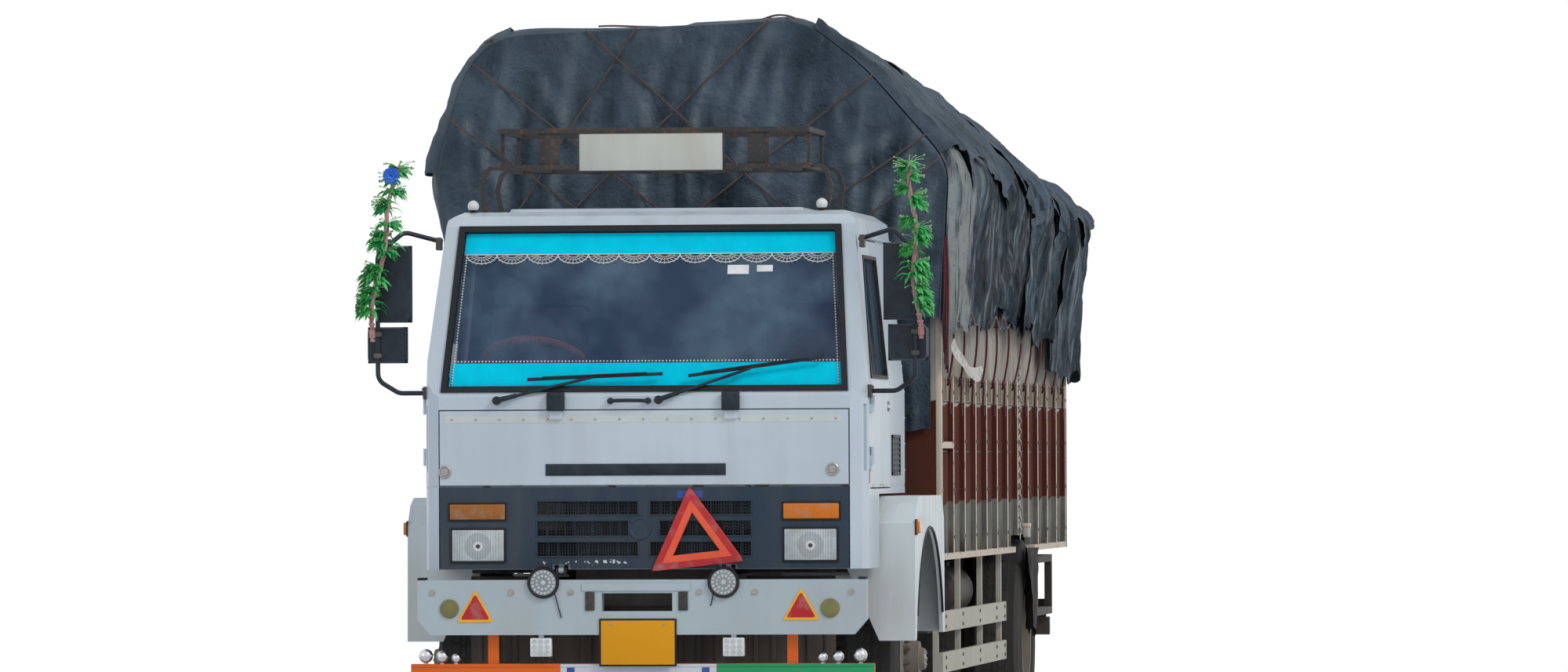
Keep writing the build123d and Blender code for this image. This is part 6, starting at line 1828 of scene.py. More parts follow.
@dataclass
class Cover:
    """Weathered cover cloth on its hoops: the main sheet, front and rear sheets, side flaps and lashings."""

    finishes: Finishes
    hem_z: float = 2.15
    hem_x: float = 1.205
    seat: float = -0.016  # cloth's depth below the cover's outline, where it rests on the hoops
    corner: float = 0.13
    rows: tuple = (
        (2.18, (-1.322, 2.89), (-1.180, 3.38), (-1.000, 3.57), (0.520, 3.64), (0.830, 3.40), (1.250, 2.92)),
        (2.90, (-1.322, 2.89), (-1.180, 3.40), (-0.980, 3.59), (0.500, 3.65), (0.850, 3.42), (1.270, 2.92)),
        (4.60, (-1.310, 2.86), (-1.150, 3.32), (-0.920, 3.50), (0.470, 3.54), (0.880, 3.37), (1.285, 2.90)),
        (6.60, (-1.300, 2.82), (-1.110, 3.23), (-0.860, 3.40), (0.450, 3.43), (0.900, 3.26), (1.310, 2.86)),
        (8.70, (-1.290, 2.78), (-1.080, 3.04), (-0.820, 3.15), (0.440, 3.18), (0.930, 3.01), (1.326, 2.82)),
        (9.35, (-1.270, 2.74), (-1.060, 2.96), (-0.800, 3.06), (0.430, 3.08), (0.920, 2.93), (1.310, 2.79)),
    )
    hoops: tuple[float, ...] = (2.305, 3.715, 5.115, 6.515, 7.915, 9.215)
    girth_steps: int = 110
    length_steps: int = 170
    low_x: float = 1.176
    hook_backs: list[float] = field(default_factory=list)

    def build(self) -> None:
        """Makes the cloth and its ropes, and paints the hoops."""
        Bench.paint(["tarp_hoops"], self.finishes.chassis)
        main = self.add_main()
        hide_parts("tarp_cover")
        self.add_end("cover_front", self.rows[0][0] + 0.008, -1)
        self.add_end("cover_rear", self.rows[-1][0] - 0.014, 1)
        self.add_drapes()
        self.add_flaps()
        self.add_net()
        self.add_lashings()
        self.add_hanging()

    def section(self, distance: float) -> list[Vector]:
        """Rounded outline across the lorry at a distance, from the right hem to the left one, as x and z.

        Args:
            distance: Metres behind the bumper face.

        Returns:
            Points of the outline.
        """
        later = next((number for number, row in enumerate(self.rows) if row[0] >= distance),
                     len(self.rows) - 1)
        near, far = self.rows[max(later - 1, 0)], self.rows[max(later, 1)]
        share = min(max((distance - near[0]) / (far[0] - near[0]), 0), 1)
        corners = [Vector((-self.hem_x, self.hem_z))]
        corners += [Vector(a).lerp(Vector(b), share) for a, b in zip(near[1:], far[1:])]
        corners.append(Vector((self.hem_x, self.hem_z)))
        path = [corners[0]]
        for before, at, after in zip(corners, corners[1:], corners[2:]):
            start = at + (before - at).normalized() * min(self.corner, 0.45 * (before - at).length)
            end = at + (after - at).normalized() * min(self.corner, 0.45 * (after - at).length)
            for step in range(6):
                part = step / 5
                path.append(start * (1 - part) ** 2 + at * 2 * part * (1 - part) + end * part ** 2)
        return path + [corners[-1]]

    @staticmethod
    def along(path: Sequence[Vector], share: float) -> tuple[Vector, Vector]:
        """Point at a share of a path's length, and the outward normal there, both as x and z.

        Args:
            path: Points of the path.
            share: Share of its length.

        Returns:
            The point and the normal.
        """
        lengths = [(b - a).length for a, b in zip(path, path[1:])]
        left = share * sum(lengths)
        for number, length in enumerate(lengths):
            if left <= length or number == len(lengths) - 1:
                direction = (path[number + 1] - path[number]).normalized()
                return path[number] + direction * left, Vector((-direction.y, direction.x))
            left -= length
        return path[-1], Vector((1, 0))

    def fold(self, distance: float, share: float) -> float:
        """How far the cloth stands off its outline: sag between hoops, pleats down the sides.

        Args:
            distance: Metres behind the bumper face.
            share: Share along the outline, 0.5 at the crown.

        Returns:
            Offset in metres.
        """
        gap = min(abs(distance - hoop) for hoop in self.hoops)
        hang = min(gap / 0.7, 1) ** 1.5
        side = abs(share - 0.5) * 2  # 0 on the crown, 1 at a hem
        down = min(max((side - 0.42) / 0.5, 0), 1)
        seed = 7.0 if share > 0.5 else 19.0
        wander = noise.noise(Vector((distance * 0.9, side * 1.4, seed))) * 0.35
        pleat = math.sin((distance + wander + 0.1 * down) * math.tau / 0.26)
        fine = noise.noise(Vector((distance * 7, side * 3.5, seed + 3)))
        crown = -0.05 * hang * (1 - down) + 0.014 * noise.noise(Vector((distance * 3.2, share * 9, 2)))
        pull = noise.noise(Vector((distance * 2.1 + side * 2, side * 6, 11))) * 0.018
        crease = ridge(distance * 1.1 + side * 1.7 + wander * 2, 3.0) * 0.016 * (1 - down)
        return self.seat + crown + crease + down * (0.008 * pleat + 0.01 * fine) + pull * (0.4 + 0.6 * hang)

    def ragged(self, distance: float, seed: float, depth: float = 0.05) -> float:
        """Torn edge's offset at a distance."""
        return depth * (noise.noise(Vector((distance * 2.3, seed, 0))) + 0.5 * noise.noise(
            Vector((distance * 9, seed, 4))) + 0.3 * noise.noise(Vector((distance * 31, seed, 8))))

    def add_main(self) -> bpy.types.Object:
        """Main sheet over the hoops, from hem to hem.

        Returns:
            The sheet.
        """
        mesh = bmesh.new()
        bmesh.ops.create_grid(mesh, x_segments=self.girth_steps, y_segments=self.length_steps, size=0.5)
        mesh.verts.ensure_lookup_table()
        first, last = self.rows[0][0] + 0.012, self.rows[-1][0] - 0.018
        for vertex in mesh.verts:
            across, length = vertex.co.x + 0.5, vertex.co.y + 0.5
            distance = first + (last - first) * length
            place, normal = self.along(self.section(distance), across)
            wrap = min(length / 0.012, (1 - length) / 0.012, 1)
            out = self.fold(distance, across) * wrap + (self.seat - 0.014) * (1 - wrap)
            x, z = place + normal * out
            if across in (0.0, 1.0) or min(across, 1 - across) < 0.02:
                z += self.ragged(distance, across * 5, 0.035)
            vertex.co = (x, behind(distance), z)
        made = Bench.finish("cover_cloth", mesh, self.finishes.tarp, "chassis", 70)
        return made

    def add_end(self, name: str, distance: float, way: int) -> None:
        """Front or rear sheet, tucked under the main sheet's edge.

        Args:
            name: Piece name.
            distance: Where it hangs.
            way: -1 for the front, 1 for the rear.
        """
        mesh = bmesh.new()
        path = [self.along(self.section(distance), number / 150) for number in range(151)]
        edge = [place + normal * (self.seat - 0.012) for place, normal in path]
        columns, rows = 150, 44
        grid = []
        for column in range(columns + 1):
            top = edge[column]
            foot = Vector((top.x, self.hem_z + 0.01))
            if abs(top.x) > self.hem_x - 0.03:
                foot = Vector((math.copysign(self.hem_x - 0.03, top.x), self.hem_z + 0.01))
            line = []
            for row in range(rows + 1):
                share = row / rows
                x = foot.x + (top.x - foot.x) * share
                z = foot.y + (top.y - foot.y) * share
                line.append(mesh.verts.new((x, behind(distance) + way * self.relief(x, z, share, way), z)))
            grid.append(line)
        for column in range(columns):
            for row in range(rows):
                mesh.faces.new((grid[column][row], grid[column + 1][row], grid[column + 1][row + 1],
                                grid[column][row + 1]))
        bmesh.ops.remove_doubles(mesh, verts=mesh.verts, dist=0.0005)
        made = Bench.finish(name, mesh, self.finishes.tarp, "chassis", 70)

    def relief(self, x: float, z: float, share: float, way: int) -> float:
        """How far an end sheet stands out from its plane.

        Args:
            x: Place across.
            z: Height.
            share: 0 at the sheet's foot, 1 at its top edge.
            way: -1 for the front sheet, 1 for the rear one.

        Returns:
            Offset in metres.
        """
        bulge = 0.03 * math.sin(math.pi * min(max(share, 0), 1)) * (1 - (x / 1.35) ** 2)
        wander = noise.noise(Vector((x * 1.3, z * 0.9, 7 + way)))
        sharp = self.crease(Vector((x, z)))
        crease = ((0.05 * noise.noise(Vector((x * 2.6, z * 1.3, 5)))
                   + 0.03 * ridge(x / 0.34 + wander + z * 0.25)
                   + 0.012 * ridge(x / 0.13 + 1.5 * wander - z * 0.4) + sharp
                   + 0.014 * noise.noise(Vector((x * 11, z * 6, 9))))
                  * math.sin(math.pi * min(share * 0.93, 1)))
        return bulge + crease * (share < 0.999)

    def add_drapes(self) -> None:
        """Loose dark cloth that hangs over the headboard at both front corners."""
        for side in Side:
            mesh = bmesh.new()
            bmesh.ops.create_grid(mesh, x_segments=60, y_segments=50, size=0.5)
            for vertex in mesh.verts:
                across, down = vertex.co.x + 0.5, 0.5 - vertex.co.y
                x = 0.55 + 0.578 * across
                low = 1.66 + 0.1 * noise.noise(Vector((x * 6, side.value, 0))) - 0.06 * across
                z = 2.2 + (low - 2.2) * down
                fold = (ridge(x / 0.17 + 0.4 * noise.noise(Vector((x * 3, z * 1.5, side.value))))
                        * (0.3 + 0.7 * down))
                rough = noise.noise(Vector((x * 14, z * 9, 2)))
                vertex.co = (side.value * x, behind(2.226 - 0.02 * fold - 0.005 * rough), z)
            made = Bench.finish(f"front_drape_{side.word}", mesh, self.finishes.tarp, "chassis", 70)

    def add_flaps(self) -> None:
        """Side flaps with deep uneven folds, and torn valances that lap over their tops, on both sides."""
        lower = ((Side.LEFT, 2.21, 3.98, 2.12, 0.8), (Side.LEFT, 3.78, 5.75, 2.2, 0.15),
                 (Side.LEFT, 5.62, 7.75, 2.12, 0), (Side.LEFT, 7.55, 9.31, 1.93, 0),
                 (Side.RIGHT, 2.25, 5.05, 2.07, 0.4), (Side.RIGHT, 4.95, 9.31, 2.05, 0))
        # the flaps' cloth gets a stronger painted highlight on its folds and painted highlight streaks down
        # them
        for number, (side, start, end, hem, wear) in enumerate(lower, 1):
            self.add_cloth(f"cover_flap_{number}", number, side, (start, end), 0.215, 0.0, hem,
                           Tarpaulin(f"flap_cloth_{number}", linear(20, 28, 36), linear(44, 56, 67),
                                     bleached_share=wear, streaks=0.55, highlight=0.7).material())
        upper = ((Side.LEFT, 2.2, 3.6, 0.355, 0.158), (Side.LEFT, 3.45, 5.3, 0.335, 0.15),
                 (Side.LEFT, 5.1, 7.2, 0.34, 0.135), (Side.LEFT, 7.0, 9.32, 0.33, 0.142),
                 (Side.RIGHT, 2.22, 5.6, 0.33, 0.145), (Side.RIGHT, 5.4, 9.32, 0.33, 0.14))
        for number, (side, start, end, top, low) in enumerate(upper, 11):
            self.add_cloth(f"cover_valance_{number - 10}", number, side, (start, end), top, low, None,
                           self.finishes.tarp)

    def add_cloth(self, name: str, number: int, side: Side, reach: tuple[float, float], top: float,
                  low: float, hem: Optional[float], finish: bpy.types.Material) -> None:
        """Makes one flap or valance.

        Args:
            name: Piece name.
            number: Seed of its folds, above 10 for a valance.
            side: Side of the lorry.
            reach: Its start and end behind the bumper face.
            top: Share of the outline, from the hem up, where it starts.
            low: Share where a valance ends.
            hem: Height of a flap's hem.
            finish: Its material.
        """
        mesh = bmesh.new()
        start, end = reach
        bmesh.ops.create_grid(mesh, x_segments=44, y_segments=int((end - start) / 0.022), size=0.5)
        for vertex in mesh.verts:
            down, length = 0.5 - vertex.co.x, vertex.co.y + 0.5
            self.place_on_side(vertex, down, start + (end - start) * length, side, number, top, low, hem,
                               reach)
        made = Bench.finish(name, mesh, finish, "chassis", 70)

    def place_on_side(self, vertex: bmesh.types.BMVert, down: float, distance: float, side: Side,
                      number: int, top: float, low: float, hem: Optional[float],
                      reach: tuple[float, float]) -> None:
        """Moves one vertex of a side cloth to its place.

        Args:
            vertex: Vertex to move.
            down: 0 at the cloth's top edge, 1 at its lower edge.
            distance: How far behind the bumper face it hangs.
            side: Side of the lorry.
            number: Cloth number, which seeds its folds.
            top: Share of the outline where it starts.
            low: Share where it ends.
            hem: Height of the lower edge, or None for a valance.
            reach: Start and end of the cloth; the outermost ones wrap in towards the end sheets.
        """
        path = self.section(distance)
        path = path if side is Side.RIGHT else path[::-1]
        seed = number * 5.7
        torn = (noise.noise(Vector((distance * 1.9, seed, 1)))
                + 0.5 * noise.noise(Vector((distance * 6, seed, 2))))
        valance = hem is None
        edge = low
        if valance:
            corner = abs(((distance * 0.83 + seed) % 1.0) - 0.5) * 2  # points hang down between lifted edges
            edge = low + 0.02 * torn - 0.035 * corner ** 2.5 + 0.012
        share = edge + (top + 0.02 * torn - edge) * (1 - down)
        place, normal = self.along(path, share)
        if side is Side.LEFT:
            normal = -normal
        fall = min(max((down - 0.08) / 0.92, 0), 1) ** 0.8
        wander = noise.noise(Vector((distance * 0.8, down * 2.1, seed)))
        slant = down * 0.5 * noise.noise(Vector((distance * 0.45, seed, 6)))
        broad = ridge(distance / 0.62 + 0.75 * wander + slant, 1.3)
        middle = ridge(distance / 0.26 + 1.1 * wander + slant * 2 + 0.3, 1.8)
        crumple = (noise.noise(Vector((distance * 5, down * 6, seed)))
                   + 0.8 * noise.noise(Vector((distance * 13, down * 9, seed)))
                   + 0.4 * noise.noise(Vector((distance * 28, down * 20, seed))))
        out = self.fold(distance, share if side is Side.RIGHT else 1 - share) + 0.007 + 0.003 * (number % 2)
        drop = 0.0
        if valance:
            out += (0.016 + (0.15 + 0.85 * fall) * (0.022 * broad + 0.01 * middle) + 0.012 * crumple
                    + 0.03 * down ** 2)
        else:
            drop = ((self.hem_z - hem - self.ragged(distance, number * 3.1, 0.1))
                    * max((down - 0.3) / 0.7, 0) ** 2)
            curl = (0.025 * max(0.0, noise.noise(Vector((distance * 2.4, seed, 3))))
                    * max(0.0, (down - 0.86) / 0.14))
            deep = min(down / 0.35, 1)
            out += ((0.1 + 0.9 * deep) * (0.05 * broad + 0.024 * middle) * (1 - 0.3 * fall)
                    + 0.012 * crumple + 0.006 + curl)
        start, end = reach
        wrap = min(max((distance - start) / 0.09, 0), 1) ** 0.6 if start < 2.3 else 1.0
        if end > 9.25:
            wrap *= min(max((end - distance) / 0.09, 0), 1) ** 0.6
        out = out * wrap + (self.seat - 0.006) * (1 - wrap)
        x, z = place + normal * out
        vertex.co = (x, behind(distance), z - drop)

    def add_net(self) -> None:
        """Thin ropes that cross over the front and the crown in diamonds."""
        mesh = bmesh.new()
        runs = []
        for start, end in ((-1.12, 0.35), (-0.62, 0.86), (-0.1, 1.12), (0.45, -1.12), (0.98, -0.55),
                           (0.12, -1.24), (-1.2, -0.3), (0.3, 1.2)):
            low = Vector((start, self.hem_z + 0.05))
            top_z = self._crown(end)
            runs.append(self._front_run(low, Vector((end, top_z))))
        Bench.tubes(mesh, runs, 0.0045, 1)
        over = []
        for start_share, end_share, start, end in ((0.3, 0.62, 2.2, 4.6), (0.62, 0.32, 2.2, 4.6),
                                                   (0.42, 0.72, 2.2, 5.2), (0.7, 0.36, 3.0, 6.6),
                                                   (0.34, 0.66, 4.6, 7.6), (0.64, 0.34, 6.0, 9.2),
                                                   (0.4, 0.66, 7.0, 9.3)):
            line = []
            for step in range(61):
                part = step / 60
                share = start_share + (end_share - start_share) * part
                distance = start + (end - start) * part
                place, normal = self.along(self.section(distance), share)
                x, z = place + normal * (self.fold(distance, share) + 0.01)
                line.append((x, behind(distance), z))
            over.append(line)
        Bench.tubes(mesh, over, 0.0055, 1)
        Bench.finish("cover_net", mesh, self.finishes.rope, "chassis", 70)

    @staticmethod
    def crease(place: Vector) -> float:
        """Height of the sharp creases in the end sheets at an x and z.

        Args:
            place: Place as x and z.

        Returns:
            Height in metres.
        """
        height = 0.0
        for x1, z1, x2, z2 in ((1.1, 3.1, 0.66, 2.9), (1.1, 3.1, 1.16, 2.5), (1.1, 3.1, 0.8, 2.55),
                               (-1.14, 3.1, -0.85, 2.6), (-1.14, 3.1, -1.1, 2.4), (-0.4, 3.5, -0.15, 2.9),
                               (0.35, 3.52, 0.1, 2.95), (0.6, 3.45, 0.75, 2.9), (-0.8, 3.4, -0.55, 2.95)):
            start, end = Vector((x1, z1)), Vector((x2, z2))
            along = end - start
            share = min(max((place - start).dot(along) / along.length_squared, 0), 1)
            gap = (place - start - along * share).length
            height += 0.022 * math.exp(-(gap / 0.035) ** 2) * (1 - 0.5 * share)
        return height

    def _crown(self, across: float) -> float:
        """Height of the front outline above an x.

        Args:
            across: X.

        Returns:
            Height in metres.
        """
        path = self.section(self.rows[0][0])
        for a, b in zip(path, path[1:]):
            if a.x <= across <= b.x:
                share = (across - a.x) / max(b.x - a.x, 1e-6)
                return a.y + (b.y - a.y) * share - 0.02
        return 2.9

    def _front_run(self, low: Vector, high: Vector) -> list[Vector]:
        """Taut rope over the front sheet's folds, from a low to a high x and z.

        Args:
            low: Lower end as x and z.
            high: Upper end as x and z.

        Returns:
            Points of the rope.
        """
        steps = 44
        places = [low.lerp(high, step / steps) for step in range(steps + 1)]
        foot = self.hem_z + 0.01
        heights = [self.relief(place.x, place.y,
                               (place.y - foot) / max(self._crown(place.x) + 0.02 - foot, 0.01), -1)
                   for place in places]
        taut = [max(heights[max(0, step - 2):step + 3]) for step in range(steps + 1)]
        smooth = [sum(taut[max(0, step - 2):step + 3]) / len(taut[max(0, step - 2):step + 3])
                  for step in range(steps + 1)]
        return [Vector((place.x, behind(self.rows[0][0] + 0.008) - max(lift, height) - 0.005, place.y))
                for place, lift, height in zip(places, smooth, heights)]

    def add_lashings(self) -> None:
        """Maroon ropes from the flap hems to the wall hooks, with a loop and a knot on each hook."""
        mesh = bmesh.new()
        draw = random.Random(4)
        for side in Side:
            runs, knots = [], []
            for distance in self.hook_backs:
                shift = draw.uniform(-0.16, 0.16)
                hem = Vector((side.value * (self.hem_x + 0.012), behind(distance + shift), 2.13))
                hook = Vector((side.value * (self.low_x - 0.002), behind(distance), 1.862))
                middle = hem.lerp(hook, 0.5) + Vector((side.value * 0.014, 0, 0))
                runs.append([hem + Vector((side.value * -0.004, 0, 0.06)), hem, middle,
                             hook + Vector((side.value * 0.01, 0, 0)), hook + Vector((0, 0.012, -0.03))])
                runs.append([hook + Vector((side.value * 0.006, -0.02, 0.01)),
                             hook + Vector((side.value * 0.018, 0, -0.012)),
                             hook + Vector((side.value * 0.008, 0.02, -0.09)),
                             hook + Vector((side.value * 0.012, 0.03 + shift * 0.1, -0.17))])
                knots.append(hook + Vector((side.value * 0.01, 0, -0.004)))
            Bench.tubes(mesh, runs, 0.0055, 2, True)
            for knot in knots:
                shape = Matrix.Translation(knot) @ Matrix.Diagonal((1, 1.4, 0.8, 1))
                bmesh.ops.create_icosphere(mesh, subdivisions=2, radius=0.013, matrix=shape)
        Bench.finish("cover_lashings", mesh, self.finishes.maroon, "chassis", 70)
        line = bmesh.new()
        for side in Side:
            points = []
            for step in range(121):
                distance = 2.3 + 6.9 * step / 120
                sway = 0.03 * math.sin(step * 0.83) + 0.02 * noise.noise(Vector((step * 0.4, side.value, 0)))
                points.append((side.value * (self.hem_x + 0.02), behind(distance), 2.17 + sway))
            Bench.tubes(line, [points], 0.005, 1, True)
        Bench.finish("hem_rope", line, self.finishes.rope, "chassis", 70)

    def add_hanging(self) -> None:
        """Bunch of spare rope at the front corner, and a pale rag tied below the hem."""
        draw = random.Random(9)
        mesh = bmesh.new()
        runs = []
        for _ in range(9):
            x = 1.2 + draw.uniform(-0.004, 0.014)
            y = behind(2.215 + draw.uniform(-0.012, 0.03))
            low = draw.uniform(1.88, 2.08)
            runs.append([(x, y, 2.56), (x + 0.006, y + draw.uniform(-0.015, 0.015), 2.36),
                         (x + draw.uniform(-0.006, 0.012), y + draw.uniform(-0.03, 0.03), 2.16),
                         (x, y + draw.uniform(-0.03, 0.03), low)])
        Bench.tubes(mesh, runs, 0.0055, 2, True)
        Bench.finish("rope_bunch", mesh, self.finishes.maroon, "chassis", 70)
        rag = bmesh.new()
        bmesh.ops.create_grid(rag, x_segments=26, y_segments=6, size=0.5)
        for vertex in rag.verts:
            along, across = vertex.co.x + 0.5, vertex.co.y
            distance = 2.36 + 1.5 * along
            height = 2.04 - 0.2 * along ** 1.2 - 0.035 * math.sin(math.pi * min(along / 0.78, 1))
            height += 0.3 * max(0.0, along - 0.78) + across * (0.062 + 0.014 * math.sin(along * 9))
            out = (0.006 * math.sin(along * 13 + across * 5)
                   + 0.004 * noise.noise(Vector((along * 5, across * 4, 0))))
            vertex.co = (1.222 + out, behind(distance), height)
        made = Bench.finish("hung_rag", rag, self.finishes.rag, "chassis", 70)


@dataclass
class LoadBody:
    """Walls, floor, head and tail of the load body with their small fittings."""

    finishes: Finishes
    floor_front: float = 2.28
    floor_rear: float = 9.24
    split: float = 0.01
    bays: tuple[int, int] = (7, 5)
    post_width: float = 0.042
    outer: float = 1.176

    def build(self) -> None:
        """Paints the nodes and adds bolts, the chain and the box on the sill."""
        Bench.paint(["side_walls"], self.finishes.body)
        Bench.paint(["headboard", "rear_frame"], self.finishes.head)
        Bench.paint(["tailboard"], self.finishes.tail)
        Bench.paint(["load_floor"], self.finishes.timber)
        self.add_corner_posts()
        self.add_bolts()
        self.add_chain()
        self.add_sill_box()
        self.add_torn_flap()
        self.add_latches()

    def panels(self) -> list[tuple[float, float, int]]:
        """Start, length and bays of both wall panels.

        Returns:
            Start, length and bays of each panel.
        """
        span = self.floor_rear - self.floor_front - self.split
        first = span * self.bays[0] / sum(self.bays)
        return [(self.floor_front, first, self.bays[0]),
                (self.floor_front + first + self.split, span - first, self.bays[1])]

    def hook_places(self) -> list[float]:
        """Distance of every wall hook.

        Returns:
            Distances behind the bumper face.
        """
        places = []
        for start, length, bays in self.panels():
            pitch = (length - self.post_width) / bays
            places += [start + self.post_width / 2 + (number + 0.5) * pitch for number in range(bays)]
        return places

    def add_corner_posts(self) -> None:
        """Cream angle over the headboard's side edge on both corners."""
        mesh = bmesh.new()
        for side in Side:
            left, right = sorted((side.value * 1.15, side.value * (self.outer + 0.003)))
            Bench.block(mesh, (left, behind(2.249), 1.012), (right, behind(2.281), 2.247), 0.004)
        Bench.finish("corner_angles", mesh, self.finishes.cream_post, "chassis")

    def add_bolts(self) -> None:
        """Bolt heads down each post and the joints between wall planks."""
        bolts, seams = bmesh.new(), bmesh.new()
        for side in Side:
            for start, length, bays in self.panels():
                for number in range(bays + 1):
                    distance = start + number * (length - self.post_width) / bays + self.post_width / 2
                    for z in (1.09, 1.32, 1.56, 1.8):
                        x = side.value * self.outer
                        Bench.rod(bolts, (x, behind(distance), z),
                                  (x + side.value * 0.006, behind(distance), z), 0.0095, 6)
                for z in (1.51, 1.754):
                    left, right = sorted((side.value * 1.1494, side.value * 1.1512))
                    Bench.block(seams, (left, behind(start), z - 0.0035),
                                (right, behind(start + length), z + 0.0035))
        Bench.finish("post_bolts", bolts, self.finishes.nut, "chassis")
        Bench.finish("plank_seams", seams, self.finishes.seal, "chassis")

    def add_chain(self) -> None:
        """Chain that hangs at the joint between the two wall panels."""
        mesh = bmesh.new()
        distance = self.panels()[1][0] - self.split / 2
        for side in Side:
            for number in range(34):
                centre = Vector((side.value * (self.outer + 0.008), behind(distance), 2.02 - number * 0.029))
                flat = number % 2
                ring = []
                for step in range(12):
                    angle = math.tau * step / 12
                    across = 0.0105 * math.cos(angle)
                    up = 0.0185 * math.sin(angle)
                    ring.append(centre + (Vector((0, across, up)) if flat else Vector((across * 0.7, 0, up))))
                Bench.tubes(mesh, [ring], 0.003, 1, False, True)
        Bench.finish("panel_chain", mesh, self.finishes.dull_steel, "chassis", 60)

    def add_sill_box(self) -> None:
        """Small pale box that hangs on the left sill."""
        mesh = bmesh.new()
        Bench.block(mesh, (1.177, behind(6.55), 1.055), (1.212, behind(6.65), 1.128), 0.008, 3)
        Bench.finish("sill_box", mesh, self.finishes.cream, "chassis")
        lid = bmesh.new()
        Bench.block(lid, (1.176, behind(6.546), 1.112), (1.2145, behind(6.654), 1.131), 0.003)
        Bench.rod(lid, (1.2145, behind(6.6), 1.105), (1.2165, behind(6.6), 1.105), 0.009, 14)
        Bench.finish("sill_box_lid", lid, self.finishes.cream_post, "chassis")

    def add_torn_flap(self) -> None:
        """Torn black flap that hangs from the left sill beside the rear tyre."""
        mesh = bmesh.new()
        bmesh.ops.create_grid(mesh, x_segments=26, y_segments=40, size=0.5)
        for vertex in mesh.verts:
            across, down = vertex.co.x + 0.5, 0.5 - vertex.co.y
            torn = (0.16 * noise.noise(Vector((across * 4.3, 3.1, 0)))
                    + 0.07 * noise.noise(Vector((across * 13, 1.7, 0))))
            z = 1.0 - (0.44 + torn) * down
            narrow = 1 - 0.45 * down
            fold = (math.sin(across * 9 + 2 * down) * 0.026
                    + 0.008 * noise.noise(Vector((across * 7, down * 6, 4))))
            vertex.co = (1.216 + fold, behind(6.36 + 0.46 * across * narrow + 0.12 * down), z)
        made = Bench.finish("torn_flap", mesh, self.finishes.torn, "chassis", 70)

    def add_latches(self) -> None:
        """Latch pins, keepers and strap plates of the tailboard."""
        keepers, plates = bmesh.new(), bmesh.new()
        face = behind(9.338)
        for side in Side:
            x = side.value * 1.1
            Bench.rod(plates, (x - 0.03, face + 0.012, 1.82), (x + 0.03, face + 0.012, 1.82), 0.011, 14)
            Bench.block(plates, (x - 0.05, face, 1.79), (x + 0.05, face + 0.006, 1.85), 0.003)
            left, right = sorted((side.value * 1.062, side.value * 1.17))
            Bench.block(keepers, (left, behind(9.3), 1.9), (right, behind(9.308), 1.96), 0.003)
            Bench.rod(keepers, (x, behind(9.3), 1.93), (x, behind(9.33), 1.93), 0.012, 14)
        for x in (-0.85, 0.0, 0.85):
            Bench.block(plates, (x - 0.045, face, 1.04), (x + 0.045, face + 0.006, 1.24), 0.003)
            for z in (1.08, 1.14, 1.2):
                Bench.rod(plates, (x, face + 0.006, z), (x, face + 0.012, z), 0.011, 6)
        Bench.finish("tail_latches", plates, self.finishes.nut, "tailboard")
        Bench.finish("tail_keepers", keepers, self.finishes.nut, "chassis")


@dataclass
class Mirrors:
    """Mirror heads on their tube loops, with glasses and brackets."""

    finishes: Finishes
    arm_back: float = 0.205
    arm_x: float = 1.262
    heads: tuple = ((1.19, 2.3, 0.165, 0.36), (1.224, 2.015, 0.19, 0.17))
    head_rear: float = 0.267

    def build(self) -> None:
        """Paints the arms and heads and adds glass, clamps and feet."""
        Bench.paint(["mirrors"], self.finishes.black)
        clamps, glasses, rims = bmesh.new(), bmesh.new(), bmesh.new()
        for side in Side:
            for x, z, width, height in self.heads:
                x *= side.value
                rear = behind(self.head_rear)
                Bench.block(glasses, (x - width / 2 + 0.012, rear, z - height / 2 + 0.012),
                            (x + width / 2 - 0.012, rear + 0.002, z + height / 2 - 0.012), 0.0009, 1)
                for low, high in (((-width / 2, -height / 2), (width / 2, -height / 2 + 0.012)),
                                  ((-width / 2, height / 2 - 0.012), (width / 2, height / 2)),
                                  ((-width / 2, -height / 2 + 0.012),
                                   (-width / 2 + 0.012, height / 2 - 0.012)),
                                  ((width / 2 - 0.012, -height / 2 + 0.012),
                                   (width / 2, height / 2 - 0.012))):
                    Bench.block(rims, (x + low[0], rear - 0.002, z + low[1]),
                                (x + high[0], rear + 0.005, z + high[1]), 0.003)
                arm = side.value * self.arm_x
                for shift in (-0.05, 0.05):
                    Bench.block(clamps, (arm - 0.018, behind(self.arm_back) - 0.016, z + shift - 0.011),
                                (arm + 0.018, behind(self.arm_back) + 0.02, z + shift + 0.011), 0.004)
            for x, back, z in ((1.043, 0.262, 1.79), (0.998, 0.385, 2.49)):
                x *= side.value
                Bench.block(clamps, (x - 0.012, behind(back) - 0.035, z - 0.03),
                            (x + 0.012, behind(back) + 0.035, z + 0.03), 0.005)
                for shift in (-0.022, 0.022):
                    Bench.rod(clamps, (x, behind(back) + shift, z + 0.018),
                              (x + side.value * 0.017, behind(back) + shift, z + 0.018), 0.006, 6)
        Bench.finish("mirror_clamps", clamps, self.finishes.nut, "cab")
        Bench.finish("mirror_glasses", glasses, self.finishes.mirror, "cab")
        Bench.finish("mirror_rims", rims, self.finishes.seal, "cab")


